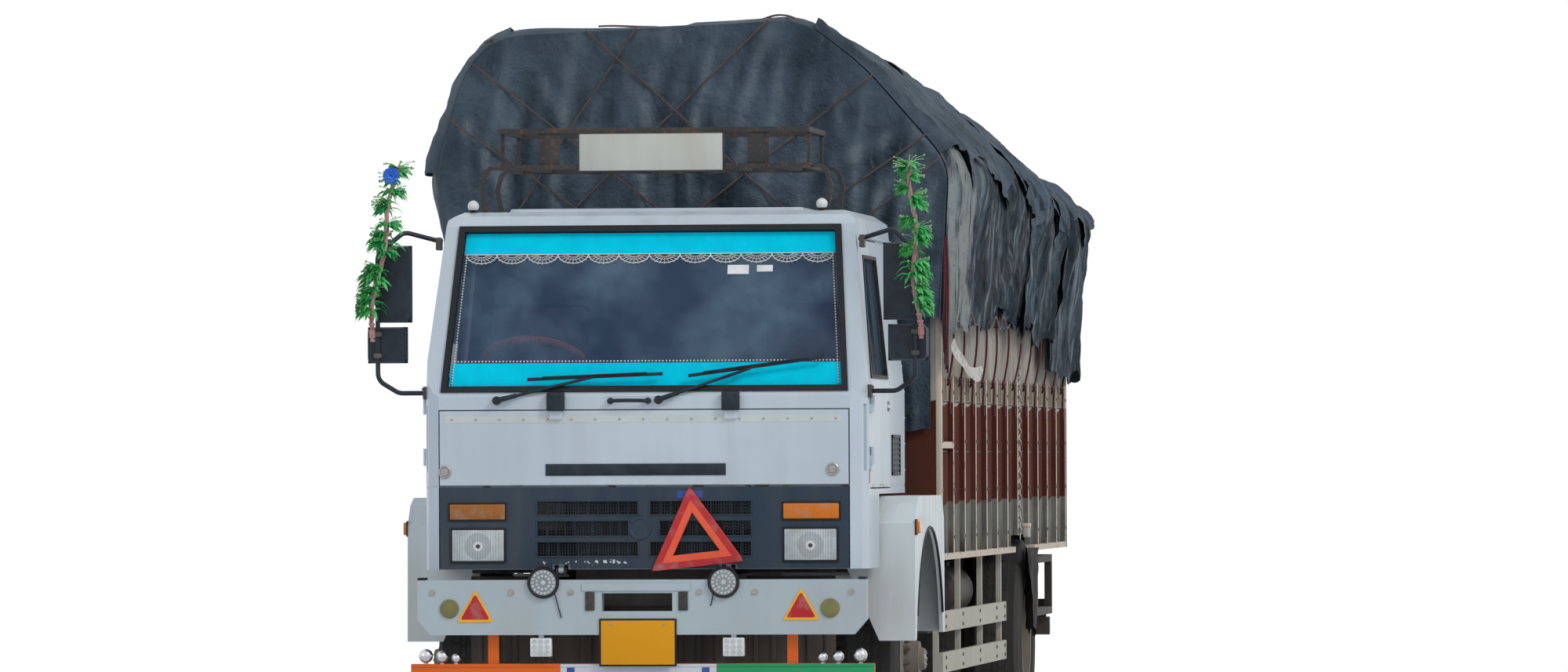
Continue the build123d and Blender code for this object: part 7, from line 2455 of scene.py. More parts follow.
@dataclass
class Garlands:
    """Plastic fern garlands tied to the mirror arms, one topped by a flower."""

    finishes: Finishes
    foot: tuple[float, float, float] = (1.286, 0.134, 2.03)
    top: tuple[float, float, float] = (1.252, 0.128, 2.84)
    lean: float = 0.1  # how much further in the right one's top stands
    tufts: tuple[tuple[float, float], ...] = ((0.17, 0.2), (0.23, 0.5), (0.29, 0.0), (0.35, -0.4),
                                              (0.41, 0.3), (0.5, 2.6), (0.56, 0.4), (0.61, 0.2),
                                              (0.66, 2.9), (0.76, 0.3), (0.8, 0.1), (0.85, 3.0),
                                              (0.92, 0.5), (0.96, 2.7), (0.99, 1.5))
    leaves: int = 42
    outermost: float = 1.357

    def build(self) -> None:
        """Makes both garlands; the left one stands for the CAD solids."""
        for side in Side:
            made = self.add_leaves(side)
            if side is Side.LEFT:
                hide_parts("garlands")
            self.add_stems(side)
            self.add_seeds(side)
        self.add_flower(Side.RIGHT, 0.93)

    def stem(self, side: Side, share: float) -> Vector:
        """Place on the stem's middle line, 0 at the foot and 1 at the top.

        Args:
            side: Side of the lorry.
            share: 0 at the foot, 1 at the top.

        Returns:
            The place.
        """
        lean = self.lean * share ** 1.4 if side is Side.RIGHT else 0
        x = (self.foot[0] + (self.top[0] - self.foot[0]) * share - lean
             + 0.012 * math.sin(share * 11 + side.value))
        back = self.foot[1] + (self.top[1] - self.foot[1]) * share + 0.008 * math.sin(share * 8)
        return Vector((side.value * x, behind(back), self.foot[2] + (self.top[2] - self.foot[2]) * share))

    def add_leaves(self, side: Side) -> bpy.types.Object:
        """Tufts of arching leaves, each a creased strip that narrows to its tip, fanned to both sides.

        Args:
            side: Side of the lorry.

        Returns:
            The leaves.
        """
        mesh = bmesh.new()
        draw = random.Random(21 + side.value)
        for tuft, (share, heading) in enumerate(self.tufts):
            root = self.stem(side, share)
            reach = 0.118 - 0.05 * share ** 2 + 0.016 * math.sin(tuft * 2.4)
            heading = heading if side is Side.LEFT else math.pi - heading
            for _ in range(self.leaves):
                angle = heading + draw.gauss(0, 0.95)
                rise = draw.uniform(0.25, 1.25)
                length = reach * draw.uniform(0.6, 1.0)
                width = draw.uniform(0.0055, 0.0095)
                sides = []
                for part, half in ((0.05, 0.35), (0.3, 0.9), (0.55, 1.0), (0.8, 0.7), (1.0, 0.1)):
                    out = length * part * (1 - 0.12 * part)
                    up = length * (rise * part - (0.55 + 0.5 * rise) * part * part)
                    place = root + Vector((out * math.cos(angle), out * math.sin(angle) * 0.7, up))
                    limit = self.outermost
                    place.x = max(-limit, min(limit, place.x))
                    across = Vector((-math.sin(angle), math.cos(angle), 0.5)) * width * half
                    sides.append([mesh.verts.new(place - across),
                                  mesh.verts.new(place + Vector((0, 0, -0.25 * width * half))),
                                  mesh.verts.new(place + across)])
                for first, second in zip(sides, sides[1:]):
                    for number in range(2):
                        mesh.faces.new((first[number], first[number + 1], second[number + 1], second[number]))
        return Bench.finish(f"garland_leaves_{side.word}", mesh, self.finishes.leaf, "cab", 60)

    def add_stems(self, side: Side) -> None:
        """Twisted stem of three strands, wrapped by a pale tape at its foot.

        Args:
            side: Side of the lorry.
        """
        mesh = bmesh.new()
        runs = []
        for strand in range(3):
            runs.append([self.stem(side, step / 60)
                         + Vector((0.006 * math.cos(strand * math.tau / 3 + step * 0.5),
                                   0.006 * math.sin(strand * math.tau / 3 + step * 0.5), 0))
                         for step in range(61)])
        Bench.tubes(mesh, runs, 0.006, 1)
        for share in (0.03, 0.045, 0.06, 0.1, 0.14, 0.34, 0.36, 0.62):
            place = self.stem(side, share)
            Bench.rod(mesh, place - Vector((0, 0, 0.006)), place + Vector((0, 0, 0.006)), 0.0145, 10)
        Bench.finish(f"garland_stem_{side.word}", mesh, self.finishes.stem, "cab", 60)

    def add_seeds(self, side: Side) -> None:
        """Small pale green heads on thin stalks at the end of each tuft.

        Args:
            side: Side of the lorry.
        """
        mesh = bmesh.new()
        draw = random.Random(8 + side.value)
        stalks = []
        for share, heading in self.tufts:
            root = self.stem(side, share)
            heading = heading if side is Side.LEFT else math.pi - heading
            for _ in range(11):
                angle = heading + draw.gauss(0, 0.9)
                tip = root + Vector((0.072 * math.cos(angle), 0.045 * math.sin(angle),
                                     draw.uniform(0.0, 0.05)))
                tip.x = max(-self.outermost, min(self.outermost, tip.x))
                stalks.append([root, root.lerp(tip, 0.5) + Vector((0, 0, 0.012)), tip])
                bmesh.ops.create_icosphere(mesh, subdivisions=1, radius=draw.uniform(0.003, 0.006),
                                           matrix=Matrix.Translation(tip))
        Bench.tubes(mesh, stalks, 0.0016, 0)
        Bench.finish(f"garland_seeds_{side.word}", mesh, self.finishes.seed, "cab", 60)

    def add_flower(self, side: Side, share: float) -> None:
        """Blue flower of three rings of cupped petals, facing forwards.

        Args:
            side: Side of the lorry.
            share: Place on the stem, 0 at the foot and 1 at the top.
        """
        mesh = bmesh.new()
        centre = self.stem(side, share) + Vector((0.012 * side.value, -0.03, 0.02))
        for ring, (count, reach, lift) in enumerate(((8, 0.04, 0.006), (7, 0.03, 0.016), (5, 0.018, 0.024))):
            for number in range(count):
                angle = math.tau * (number + ring * 0.5) / count
                rows = []
                for part, half in ((0.1, 0.3), (0.45, 0.9), (0.8, 1.0), (1.0, 0.4)):
                    radial = Vector((math.cos(angle), 0, math.sin(angle)))
                    across = Vector((-math.sin(angle), 0, math.cos(angle))) * reach * 0.42 * half
                    place = centre + radial * reach * part - Vector((0, lift * part, 0))
                    cup = Vector((0, 0.004, 0))
                    rows.append((mesh.verts.new(place - across - cup), mesh.verts.new(place),
                                 mesh.verts.new(place + across - cup)))
                for first, second in zip(rows, rows[1:]):
                    for edge in range(2):
                        mesh.faces.new((first[edge], first[edge + 1], second[edge + 1], second[edge]))
        Bench.finish(f"garland_flower_{side.word}", mesh, self.finishes.petal, "cab", 60)


@dataclass
class RoofRack:
    """Roof rack finish, its bare sign board and the two ball lamps."""

    finishes: Finishes
    board_back: float = 0.503
    front_back: float = 0.52

    def build(self) -> None:
        """Paints the rack and adds its board, lamps, welds and straps."""
        Bench.paint(["roof_rack"], self.finishes.rack)
        board = bmesh.new()
        face = behind(self.board_back)
        Bench.block(board, (-0.352, face - 0.0025, 2.829), (0.331, face, 3.007), 0.002)
        Bench.finish("sign_face", board, self.finishes.board, "cab")
        edge = bmesh.new()
        for low, high in (((-0.356, 2.825), (0.335, 2.832)), ((-0.356, 3.004), (0.335, 3.011)),
                          ((-0.356, 2.832), (-0.349, 3.004)), ((0.328, 2.832), (0.335, 3.004))):
            Bench.block(edge, (low[0], face - 0.004, low[1]), (high[0], face + 0.009, high[1]), 0.0015)
        Bench.finish("sign_edge", edge, self.finishes.rack, "cab")
        balls, collars = bmesh.new(), bmesh.new()
        for x in (-0.86, 0.79):
            bmesh.ops.create_uvsphere(balls, u_segments=28, v_segments=18, radius=0.0272,
                                      matrix=Matrix.Translation((x, behind(0.55), 2.67)))
            Bench.lathe(collars, ((0, 0.02), (0.004, 0.02), (0.008, 0.0125), (0.014, 0.0125)),
                        (x, behind(0.55), 2.64), (0, 0, 1), 20)
        Bench.finish("roof_ball_lamps", balls, self.finishes.white_plastic, "cab", 60)
        Bench.finish("roof_ball_collars", collars, self.finishes.seal, "cab", 50)
        plates = bmesh.new()
        for x in (-0.495, 0.495):
            face_y = behind(self.front_back) - 0.005
            Bench.block(plates, (x - 0.05, face_y - 0.0015, 2.86), (x + 0.05, face_y, 3.01), 0.001)
            for z in (2.875, 2.995):
                for shift in (-0.035, 0.035):
                    Bench.rod(plates, (x + shift, face_y, z), (x + shift, face_y - 0.006, z), 0.006, 6)
        Bench.finish("rack_plates", plates, self.finishes.rack, "cab")
        welds = bmesh.new()
        draw = random.Random(3)
        for x in (-0.725, 0.725):
            for distance in (0.52, 0.59, 1.11, 1.18):
                for z in (2.85, 3.02):
                    for _ in range(4):
                        place = Vector((x + draw.uniform(-0.013, 0.013),
                                        behind(distance) + draw.uniform(-0.013, 0.013),
                                        z + math.copysign(0.011, 2.93 - z)))
                        bmesh.ops.create_icosphere(welds, subdivisions=1, radius=0.005,
                                                   matrix=Matrix.Translation(place))
        Bench.finish("rack_welds", welds, self.finishes.rack, "cab", 80)


@dataclass
class CabInside:
    """Seats, floor, dashboard and steering wheel seen through the glass."""

    finishes: Finishes
    seat_x: float = 0.655
    wheel_centre: tuple[float, float, float] = (-0.59, 0.68, 1.93)
    wheel_tilt: float = 28.0
    wheel_radius: float = 0.235

    def build(self) -> None:
        """Paints the inside and adds padded seats and the wheel's cover."""
        Bench.paint(["cab_floor", "dashboard"], self.finishes.trim)
        self.add_seats()
        self.add_wheel_cover()
        self.add_dash_parts()

    def pad(self, name: str, low: Point, high: Point, crown: float, lean: float = 0.0) -> bpy.types.Object:
        """Makes one crowned cushion with sewn channels.

        Args:
            name: Piece name.
            low: Lowest corner.
            high: Highest corner.
            crown: How far its top swells.
            lean: Lean backwards in degrees about its lower edge.

        Returns:
            The cushion.
        """
        mesh = bmesh.new()
        size = [high[i] - low[i] for i in range(3)]
        centre = Vector([(high[i] + low[i]) / 2 for i in range(3)])
        made = bmesh.ops.create_cube(mesh, size=1, matrix=Matrix.Diagonal((*size, 1)))["verts"]
        bmesh.ops.bevel(mesh, geom=list({e for v in made for e in v.link_edges}), offset=min(size) * 0.3,
                        offset_type="OFFSET", affect="EDGES", segments=3, profile=0.5, material=-1)
        bmesh.ops.subdivide_edges(mesh, edges=mesh.edges[:], cuts=3, use_grid_fill=True)
        long_axis = 0
        thin = 1 if size[1] < size[2] else 2
        for vertex in mesh.verts:
            share = [vertex.co[i] / (size[i] / 2) for i in range(3)]
            other = 3 - thin
            swell = max(0.0, 1 - share[long_axis] ** 2) * max(0.0, 1 - share[other] ** 2)
            channel = abs(math.sin(share[long_axis] * 3.5 * math.pi / 1.0)) ** 0.4
            sign = 1 if share[thin] > 0 else -1
            vertex.co[thin] += sign * crown * swell * (0.45 + 0.55 * channel) * abs(share[thin])
            vertex.co[long_axis] *= 1 - 0.02 * (1 - share[other] ** 2)
        turn = Matrix.Rotation(-math.radians(lean), 4, "X")
        foot = Vector((0, 0, -size[2] / 2))
        bmesh.ops.transform(mesh, verts=mesh.verts,
                            matrix=Matrix.Translation(centre + foot) @ turn @ Matrix.Translation(-foot))
        piece = Bench.finish(name, mesh, self.finishes.seat, "cab", 70)
        return piece

    def add_seats(self) -> None:
        """Two seats on plain pedestals and a bench across the back."""
        bases = bmesh.new()
        for x in (-self.seat_x, self.seat_x):
            Bench.block(bases, (x - 0.18, behind(0.95), 1.35), (x + 0.18, behind(1.3), 1.68), 0.01)
            Bench.block(bases, (x - 0.235, behind(0.9), 1.675), (x + 0.235, behind(1.37), 1.702), 0.006)
        Bench.block(bases, (-0.96, behind(1.66), 1.35), (0.96, behind(1.8), 1.69), 0.008)
        made = Bench.finish("seat_bases", bases, self.finishes.trim, "cab")
        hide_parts("seats")
        for side in Side:
            x = side.value * self.seat_x
            self.pad(f"seat_cushion_{side.word}", (x - 0.235, behind(0.88), 1.702),
                     (x + 0.235, behind(1.27), 1.775), 0.012)
            self.pad(f"seat_backrest_{side.word}", (x - 0.23, behind(1.275), 1.72),
                     (x + 0.23, behind(1.365), 2.225), 0.012, 10.5)
        self.pad("rear_bench", (-0.95, behind(1.668), 1.69), (0.95, behind(1.795), 1.755), 0.004)

    def add_wheel_cover(self) -> None:
        """Orange red cover wound round the steering wheel's rim."""
        tilt = math.radians(self.wheel_tilt)
        x, back, z = self.wheel_centre
        centre = Vector((x, behind(back), z))
        side, up = Vector((1, 0, 0)), Vector((0, math.cos(tilt), -math.sin(tilt)))
        mesh = bmesh.new()
        ring = [centre + (side * math.cos(math.tau * step / 72) + up * math.sin(math.tau * step / 72))
                * self.wheel_radius for step in range(72)]
        Bench.tubes(mesh, [ring], 0.0175, 3, False, True)
        Bench.finish("wheel_cover", mesh, self.finishes.wheel_cover, "cab", 60)
        wraps = bmesh.new()
        axis = up.cross(side)
        runs = []
        for turn in range(40):
            start = math.tau * turn / 40
            loop = []
            for step in range(9):
                angle = start + 0.08 * step / 8
                around = math.tau * step / 8
                radial = side * math.cos(angle) + up * math.sin(angle)
                loop.append(centre + radial * (self.wheel_radius + 0.0185 * math.cos(around))
                            + axis * 0.0185 * math.sin(around))
            runs.append(loop)
        Bench.tubes(wraps, runs, 0.0016, 0)
        Bench.finish("wheel_lacing", wraps, self.finishes.stem, "cab", 60)

    def add_dash_parts(self) -> None:
        """Instrument binnacle, air vents, dials and a gear lever."""
        mesh = bmesh.new()
        Bench.block(mesh, (-0.82, behind(0.24), 1.752), (-0.36, behind(0.38), 1.83), 0.025, 3)
        for x in (-0.9, -0.25, 0.25, 0.85):
            for number in range(5):
                Bench.block(mesh, (x - 0.05, behind(0.385), 1.6 + number * 0.014), (x + 0.05, behind(0.405),
                            1.607 + number * 0.014), 0.001, 1)
        Bench.finish("dash_parts", mesh, self.finishes.black, "cab")
        dials = bmesh.new()
        for x in (-0.7, -0.59, -0.48):
            Bench.lathe(dials, ((0, 0.038), (0.004, 0.038), (0.005, 0.034), (0.002, 0.032), (0.002, 0)),
                        (x, behind(0.38), 1.79), (0, 1, 0), 28)
        Bench.finish("dash_dials", dials, self.finishes.dull_steel, "cab", 50)
        lever = bmesh.new()
        Bench.rod(lever, (0.0, behind(0.9), 1.5), (-0.03, behind(0.84), 1.78), 0.009, 10)
        bmesh.ops.create_uvsphere(lever, u_segments=18, v_segments=12, radius=0.026,
                                  matrix=Matrix.Translation((-0.031, behind(0.838), 1.79)))
        Bench.lathe(lever, ((0, 0.07), (0.02, 0.055), (0.045, 0.025), (0.06, 0.012)), (0, behind(0.9), 1.498),
                    (0, 0, 1), 20)
        Bench.finish("gear_lever", lever, self.finishes.seal, "cab", 50)


@dataclass
class CabSide:
    """Cab sides: window frames, handles, slots, stains and fender parts."""

    finishes: Finishes
    belt_z: float = 1.788
    belt_x: float = 1.04
    top_z: float = 2.6
    top_x: float = 0.96

    def skin(self, back: float, height: float, proud: float = 0.0, side: Side = Side.LEFT) -> Vector:
        """Place on the cab's side skin.

        Args:
            back: Metres behind the bumper face.
            height: Height above the ground.
            proud: Distance out from the skin.
            side: Side of the lorry.

        Returns:
            The place.
        """
        share = max(0.0, (height - self.belt_z) / (self.top_z - self.belt_z))
        across = self.belt_x + (self.top_x - self.belt_x) * share + proud
        return Vector((side.value * across, behind(back), height))

    def build(self) -> None:
        """Paints the cab's panels and adds its side details."""
        Bench.paint(["cab_front", "cab_shell", "cab_roof", "door_left", "door_right"], self.finishes.cab)
        Bench.paint(["fenders"], self.finishes.fender)
        for side in Side:
            self.add_window_frame(side)
            self.add_handle(side)
            self.add_marker(side)
            self.add_hinges(side)
            self.add_vent(side)
        self.add_stains()
        self.add_seams()
        self.add_arch_lips()

    def add_window_frame(self, side: Side) -> None:
        """Black rubber run round the door glass, with its front post.

        Args:
            side: Side of the lorry.
        """
        mesh = bmesh.new()
        corners = [(0.39, 1.85), (1.13, 1.85), (1.13, 2.43), (0.566, 2.43)]
        centre = Vector((sum(c[0] for c in corners) / 4, sum(c[1] for c in corners) / 4))
        rings = []
        for scale, proud in ((1.0, 0.0005), (1.0, 0.005), (0.955, 0.006), (0.94, 0.003), (0.935, -0.012)):
            ring = []
            for back, height in corners:
                near = centre + (Vector((back, height)) - centre) * scale
                ring.append(mesh.verts.new(self.skin(near.x, near.y, proud, side)))
            rings.append(ring)
        for first, second in zip(rings, rings[1:]):
            for number in range(4):
                follow = (number + 1) % 4
                mesh.faces.new((first[number], first[follow], second[follow], second[number]))
        Bench.finish(f"window_rubber_{side.word}", mesh, self.finishes.seal, f"door_{side.word}")
        post = bmesh.new()
        for low, high in (((0.575, 1.87), (0.64, 2.41)),):
            points = [self.skin(low[0], low[1], -0.008, side),
                      self.skin(low[0] + 0.022, low[1], -0.008, side),
                      self.skin(low[0] + 0.022, high[1], -0.008, side),
                      self.skin(low[0], high[1], -0.008, side)]
            Bench.sheet(post, points, 0.004 * side.value)
        Bench.finish(f"quarter_post_{side.word}", post, self.finishes.seal, f"door_{side.word}")

    def add_handle(self, side: Side) -> None:
        """Lock barrel behind the door handle.

        Args:
            side: Side of the lorry.
        """
        mesh = bmesh.new()
        centre = self.skin(1.135, 1.722, -0.002, side)
        Bench.lathe(mesh, ((0, 0.0125), (0.006, 0.0125), (0.008, 0.01), (0.0075, 0.004), (0.006, 0)), centre,
                    (side.value, 0, 0), 20)
        Bench.finish(f"door_lock_{side.word}", mesh, self.finishes.dull_steel, f"door_{side.word}", 50)

    def add_marker(self, side: Side) -> None:
        """Amber marker lamp on the fender with the pale tape behind it.

        Args:
            side: Side of the lorry.
        """
        lens, base, tape = bmesh.new(), bmesh.new(), bmesh.new()
        x = side.value * 1.205
        Bench.block(base, (min(x, x + side.value * 0.006), behind(0.79), 1.115),
                    (max(x, x + side.value * 0.006), behind(0.71), 1.19), 0.002)
        Bench.block(lens, (min(x, x + side.value * 0.022), behind(0.783), 1.122),
                    (max(x, x + side.value * 0.022), behind(0.717), 1.183), 0.008, 3)
        for low, high in ((0.86, 0.99), (1.02, 1.15)):
            Bench.block(tape, (min(x, x + side.value * 0.001), behind(high), 1.16),
                        (max(x, x + side.value * 0.001), behind(low), 1.205), 0.0004, 1)
        Bench.finish(f"fender_marker_{side.word}", lens, self.finishes.amber, "chassis")
        Bench.finish(f"fender_marker_base_{side.word}", base, self.finishes.seal, "chassis")
        Bench.finish(f"fender_tape_{side.word}", tape, self.finishes.strip, "chassis")

    def add_hinges(self, side: Side) -> None:
        """Door hinge knuckles at the front shut line.

        Args:
            side: Side of the lorry.
        """
        mesh = bmesh.new()
        for z in (1.45, 1.72):
            centre = self.skin(0.296, z, 0.001, side)
            Bench.rod(mesh, centre + Vector((0, 0, -0.035)), centre + Vector((0, 0, 0.035)), 0.008, 12)
            Bench.rod(mesh, centre + Vector((0, 0, -0.011)), centre + Vector((0, 0, 0.011)), 0.0092, 12)
        Bench.finish(f"door_hinges_{side.word}", mesh, self.finishes.cab, "cab", 50)

    def add_vent(self, side: Side) -> None:
        """Black louvred vent behind the door.

        Args:
            side: Side of the lorry.
        """
        mesh = bmesh.new()
        near, far, low, high = 1.24, 1.6, 1.395, 1.588
        inner, outer = self.belt_x - 0.0005, self.belt_x + 0.007
        for start, end, foot, head, proud in ((near, far, low, low + 0.016, outer),
                                              (near, far, high - 0.016, high, outer),
                                              (near, near + 0.016, low, high, outer),
                                              (far - 0.016, far, low, high, outer),
                                              (near, far, low, high, inner + 0.0015)):
            left, right = sorted((side.value * inner, side.value * proud))
            Bench.block(mesh, (left, behind(start), foot), (right, behind(end), head), 0.0005)
        for number in range(6):
            height = low + 0.034 + number * 0.025
            points = [(side.value * (inner + 0.001), behind(near + 0.016), height + 0.008),
                      (side.value * (inner + 0.001), behind(far - 0.016), height + 0.008),
                      (side.value * (outer - 0.001), behind(far - 0.016), height - 0.006),
                      (side.value * (outer - 0.001), behind(near + 0.016), height - 0.006)]
            Bench.sheet(mesh, [Vector(point) for point in points], 0.0012)
        Bench.finish(f"side_vent_{side.word}", mesh, self.finishes.black, "cab", 50)

    def add_stains(self) -> None:
        """Old yellow tape on the corner post."""
        mesh = bmesh.new()
        for side in Side:
            points = [(side.value * 1.0405, behind(0.245), 1.36), (side.value * 1.0405, behind(0.29), 1.365),
                      (side.value * 1.0405, behind(0.292), 1.43), (side.value * 1.0405, behind(0.243), 1.425)]
            Bench.sheet(mesh, points, 0.0007 * side.value)
        Bench.finish("corner_tape", mesh, self.finishes.olive, "cab")

    def add_seams(self) -> None:
        """Drip rail along the roof's edge and a rivet line behind the doors."""
        mesh = bmesh.new()
        for side in Side:
            low = [self.skin(0.62 + 1.2 * step / 24, 2.515, 0.0085, side) for step in range(25)]
            Bench.tubes(mesh, [low], 0.006, 1)
        Bench.finish("drip_rails", mesh, self.finishes.cab, "cab", 60)
        rivets = bmesh.new()
        for side in Side:
            for number in range(9):
                centre = self.skin(1.83, 1.42 + 0.125 * number, 0, side)
                Bench.lathe(rivets, ((0, 0.006), (0.002, 0.0055), (0.0035, 0.003), (0.004, 0)), centre,
                            (side.value, 0, 0), 10)
        Bench.finish("cab_rivets", rivets, self.finishes.cab, "cab", 60)

    def add_arch_lips(self) -> None:
        """Rubber lip round each front wheel arch."""
        mesh = bmesh.new()
        face, radius, steps = 1.2055, 0.628, 40
        angles = [math.radians(20 + 140 * step / steps) for step in range(steps + 1)]
        for side in Side:
            arch = [(side.value * face, behind(FRONT_AXLE_BACK + radius * math.cos(angle)),
                     HUB_Z + radius * math.sin(angle)) for angle in angles]
            Bench.tubes(mesh, [arch], 0.0065, 2)
        Bench.finish("arch_lips", mesh, self.finishes.seal, "chassis", 60)


@dataclass
class Wheels:
    """Tyres with tread and sidewall relief, rims with nuts and caps."""

    finishes: Finishes
    hub_z: float = HUB_Z
    front_x: float = 0.965
    rear_x: float = 0.9
    twin: float = 0.155
    front_back: float = FRONT_AXLE_BACK
    rear_back: float = REAR_AXLE_BACK
    pitch_count: int = 52

    def build(self) -> None:
        """Paints every tyre and rim and adds what turns with them."""
        for side in Side:
            word = side.word
            Bench.paint([f"tyre_front_{word}", f"tyres_rear_{word}"], self.finishes.tyre)
            Bench.paint([f"rim_front_{word}", f"rims_rear_{word}"], self.finishes.rim)
            front = Vector((side.value * self.front_x, behind(self.front_back), self.hub_z))
            rear = Vector((side.value * self.rear_x, behind(self.rear_back), self.hub_z))
            self.add_tread(f"tread_front_{word}", [front], f"wheel_front_{word}", True)
            self.add_tread(f"tread_rear_{word}", [rear + Vector((self.twin * way, 0, 0)) for way in (-1, 1)],
                           f"wheels_rear_{word}", False)
            self.add_sidewalls(f"sidewall_front_{word}", front, side, f"wheel_front_{word}")
            self.add_sidewalls(f"sidewall_rear_{word}", rear + Vector((side.value * self.twin, 0, 0)), side,
                               f"wheels_rear_{word}")
            self.add_nuts(f"nuts_front_{word}", front, side, 0.111, 0.122, f"wheel_front_{word}")
            self.add_nuts(f"nuts_rear_{word}", rear, side, 0.118, 0.012, f"wheels_rear_{word}")
            self.add_cap(f"cap_front_{word}", front, side, 0.215, 0.05, f"wheel_front_{word}")
            self.add_cap(f"cap_rear_{word}", rear, side, 0.235, 0.054, f"wheels_rear_{word}")

    def add_tread(self, name: str, centres: Sequence[Vector], body: str, ribbed: bool) -> None:
        """Adds tread over each tyre: blocks cut by zigzag grooves with shoulder lugs.

        Args:
            name: Piece name.
            centres: Wheel centres.
            body: Body it rides on.
            ribbed: Whether the tyre has long ribs and no wide shoulder lugs.
        """
        mesh = bmesh.new()
        crown, half = 0.5205, 0.098
        count = self.pitch_count
        for centre in centres:
            bands = ((-0.095, -0.056), (-0.048, -0.018), (-0.01, 0.01), (0.018, 0.048), (0.056, 0.095))
            for band, (low, high) in enumerate(bands):
                for number in range(count):
                    start = math.tau * number / count + (0.5 * math.tau / count if band % 2 else 0)
                    step = math.tau / count
                    lead = 0.14 if ribbed else 0.28
                    angles = (start + step * 0.04, start + step * (1 - lead))
                    skew = step * (0.3 if band % 2 else -0.3)
                    verts = []
                    for depth in (-0.006, 0.0035):
                        for angle in angles:
                            for across, shift in ((low, 0.0), ((low + high) / 2, skew), (high, 0.0)):
                                radius = crown + depth - 0.010 * (abs(across) / half) ** 3
                                place = angle + shift
                                verts.append(mesh.verts.new(centre + Vector(
                                    (across, radius * math.cos(place), radius * math.sin(place)))))
                    for quad in ((6, 7, 10, 9), (7, 8, 11, 10), (0, 1, 7, 6), (1, 2, 8, 7), (9, 10, 4, 3),
                                 (10, 11, 5, 4), (6, 9, 3, 0), (11, 8, 2, 5)):
                        mesh.faces.new([verts[corner] for corner in quad])
            if ribbed:
                continue
            for number in range(count):
                start = math.tau * number / count
                width = math.tau / count * 0.55
                for way in (-1, 1):
                    outline = ((0.088, 0.511), (0.104, 0.505), (0.1125, 0.492), (0.114, 0.478))
                    rows = []
                    for across, radius in outline:
                        rows.append([centre + Vector((way * (across + 0.0015), radius * math.cos(angle),
                                                      radius * math.sin(angle)))
                                     for angle in (start, start + width)])
                    made = [[mesh.verts.new(point) for point in row] for row in rows]
                    for first, second in zip(made, made[1:]):
                        mesh.faces.new((first[0], first[1], second[1], second[0]))
        bmesh.ops.recalc_face_normals(mesh, faces=mesh.faces[:])
        Bench.finish(name, mesh, self.finishes.tyre, body, 30)

    def add_sidewalls(self, name: str, centre: Vector, side: Side, body: str) -> None:
        """Raised rings, a scuff bead and short ribs on the outer sidewall.

        Args:
            name: Piece name.
            centre: Wheel centre.
            side: Side of the lorry.
            body: Body it rides on.
        """
        mesh = bmesh.new()
        for radius, out, tube in ((0.3, 0.1195, 0.0022), (0.322, 0.1265, 0.0016), (0.415, 0.1315, 0.0018),
                                  (0.448, 0.1265, 0.0024)):
            ring = [centre + Vector((side.value * out, radius * math.cos(math.tau * step / 96),
                                     radius * math.sin(math.tau * step / 96))) for step in range(96)]
            Bench.tubes(mesh, [ring], tube, 1, False, True)
        for number in range(64):
            angle = math.tau * number / 64
            direction = Vector((0, math.cos(angle), math.sin(angle)))
            Bench.rod(mesh, centre + direction * 0.464 + Vector((side.value * 0.1238, 0, 0)),
                      centre + direction * 0.484 + Vector((side.value * 0.1208, 0, 0)), 0.002, 5)
        Bench.finish(name, mesh, self.finishes.tyre, body, 60)

    def add_nuts(self, name: str, centre: Vector, side: Side, circle: float, face: float, body: str) -> None:
        """Ten wheel nuts with studs and washers.

        Args:
            name: Piece name.
            centre: Wheel centre.
            side: Side of the lorry.
            circle: Radius of the bolt circle.
            face: How far out the nuts sit.
            body: Body it rides on.
        """
        mesh = bmesh.new()
        for number in range(10):
            angle = math.tau * number / 10 + 0.16
            place = centre + Vector((side.value * face, circle * math.cos(angle), circle * math.sin(angle)))
            out = Vector((side.value, 0, 0))
            Bench.rod(mesh, place, place + out * 0.004, 0.0185, 20)
            Bench.rod(mesh, place + out * 0.004, place + out * 0.024, 0.0155, 6)
            Bench.rod(mesh, place + out * 0.024, place + out * 0.033, 0.0085, 10)
        Bench.finish(name, mesh, self.finishes.nut, body, 30)

    def add_cap(self, name: str, centre: Vector, side: Side, face: float, radius: float, body: str) -> None:
        """Hub cap plate with its ring of small bolts and a grease plug.

        Args:
            name: Piece name.
            centre: Wheel centre.
            side: Side of the lorry.
            face: How far out the cap sits.
            radius: Radius of the cap.
            body: Body it rides on.
        """
        mesh = bmesh.new()
        out = Vector((side.value, 0, 0))
        face_centre = centre + out * (face - 0.001)
        Bench.lathe(mesh, ((0, radius * 0.86), (0.0025, radius * 0.84), (0.004, radius * 0.6), (0.004, 0.012),
                           (0.009, 0.011), (0.0095, 0)), face_centre, out, 28)
        for number in range(8):
            angle = math.tau * number / 8
            place = face_centre + Vector((0, math.cos(angle), math.sin(angle))) * radius * 0.73
            Bench.rod(mesh, place, place + out * 0.0075, 0.0052, 6)
        Bench.finish(name, mesh, self.finishes.dull_steel, body, 30)


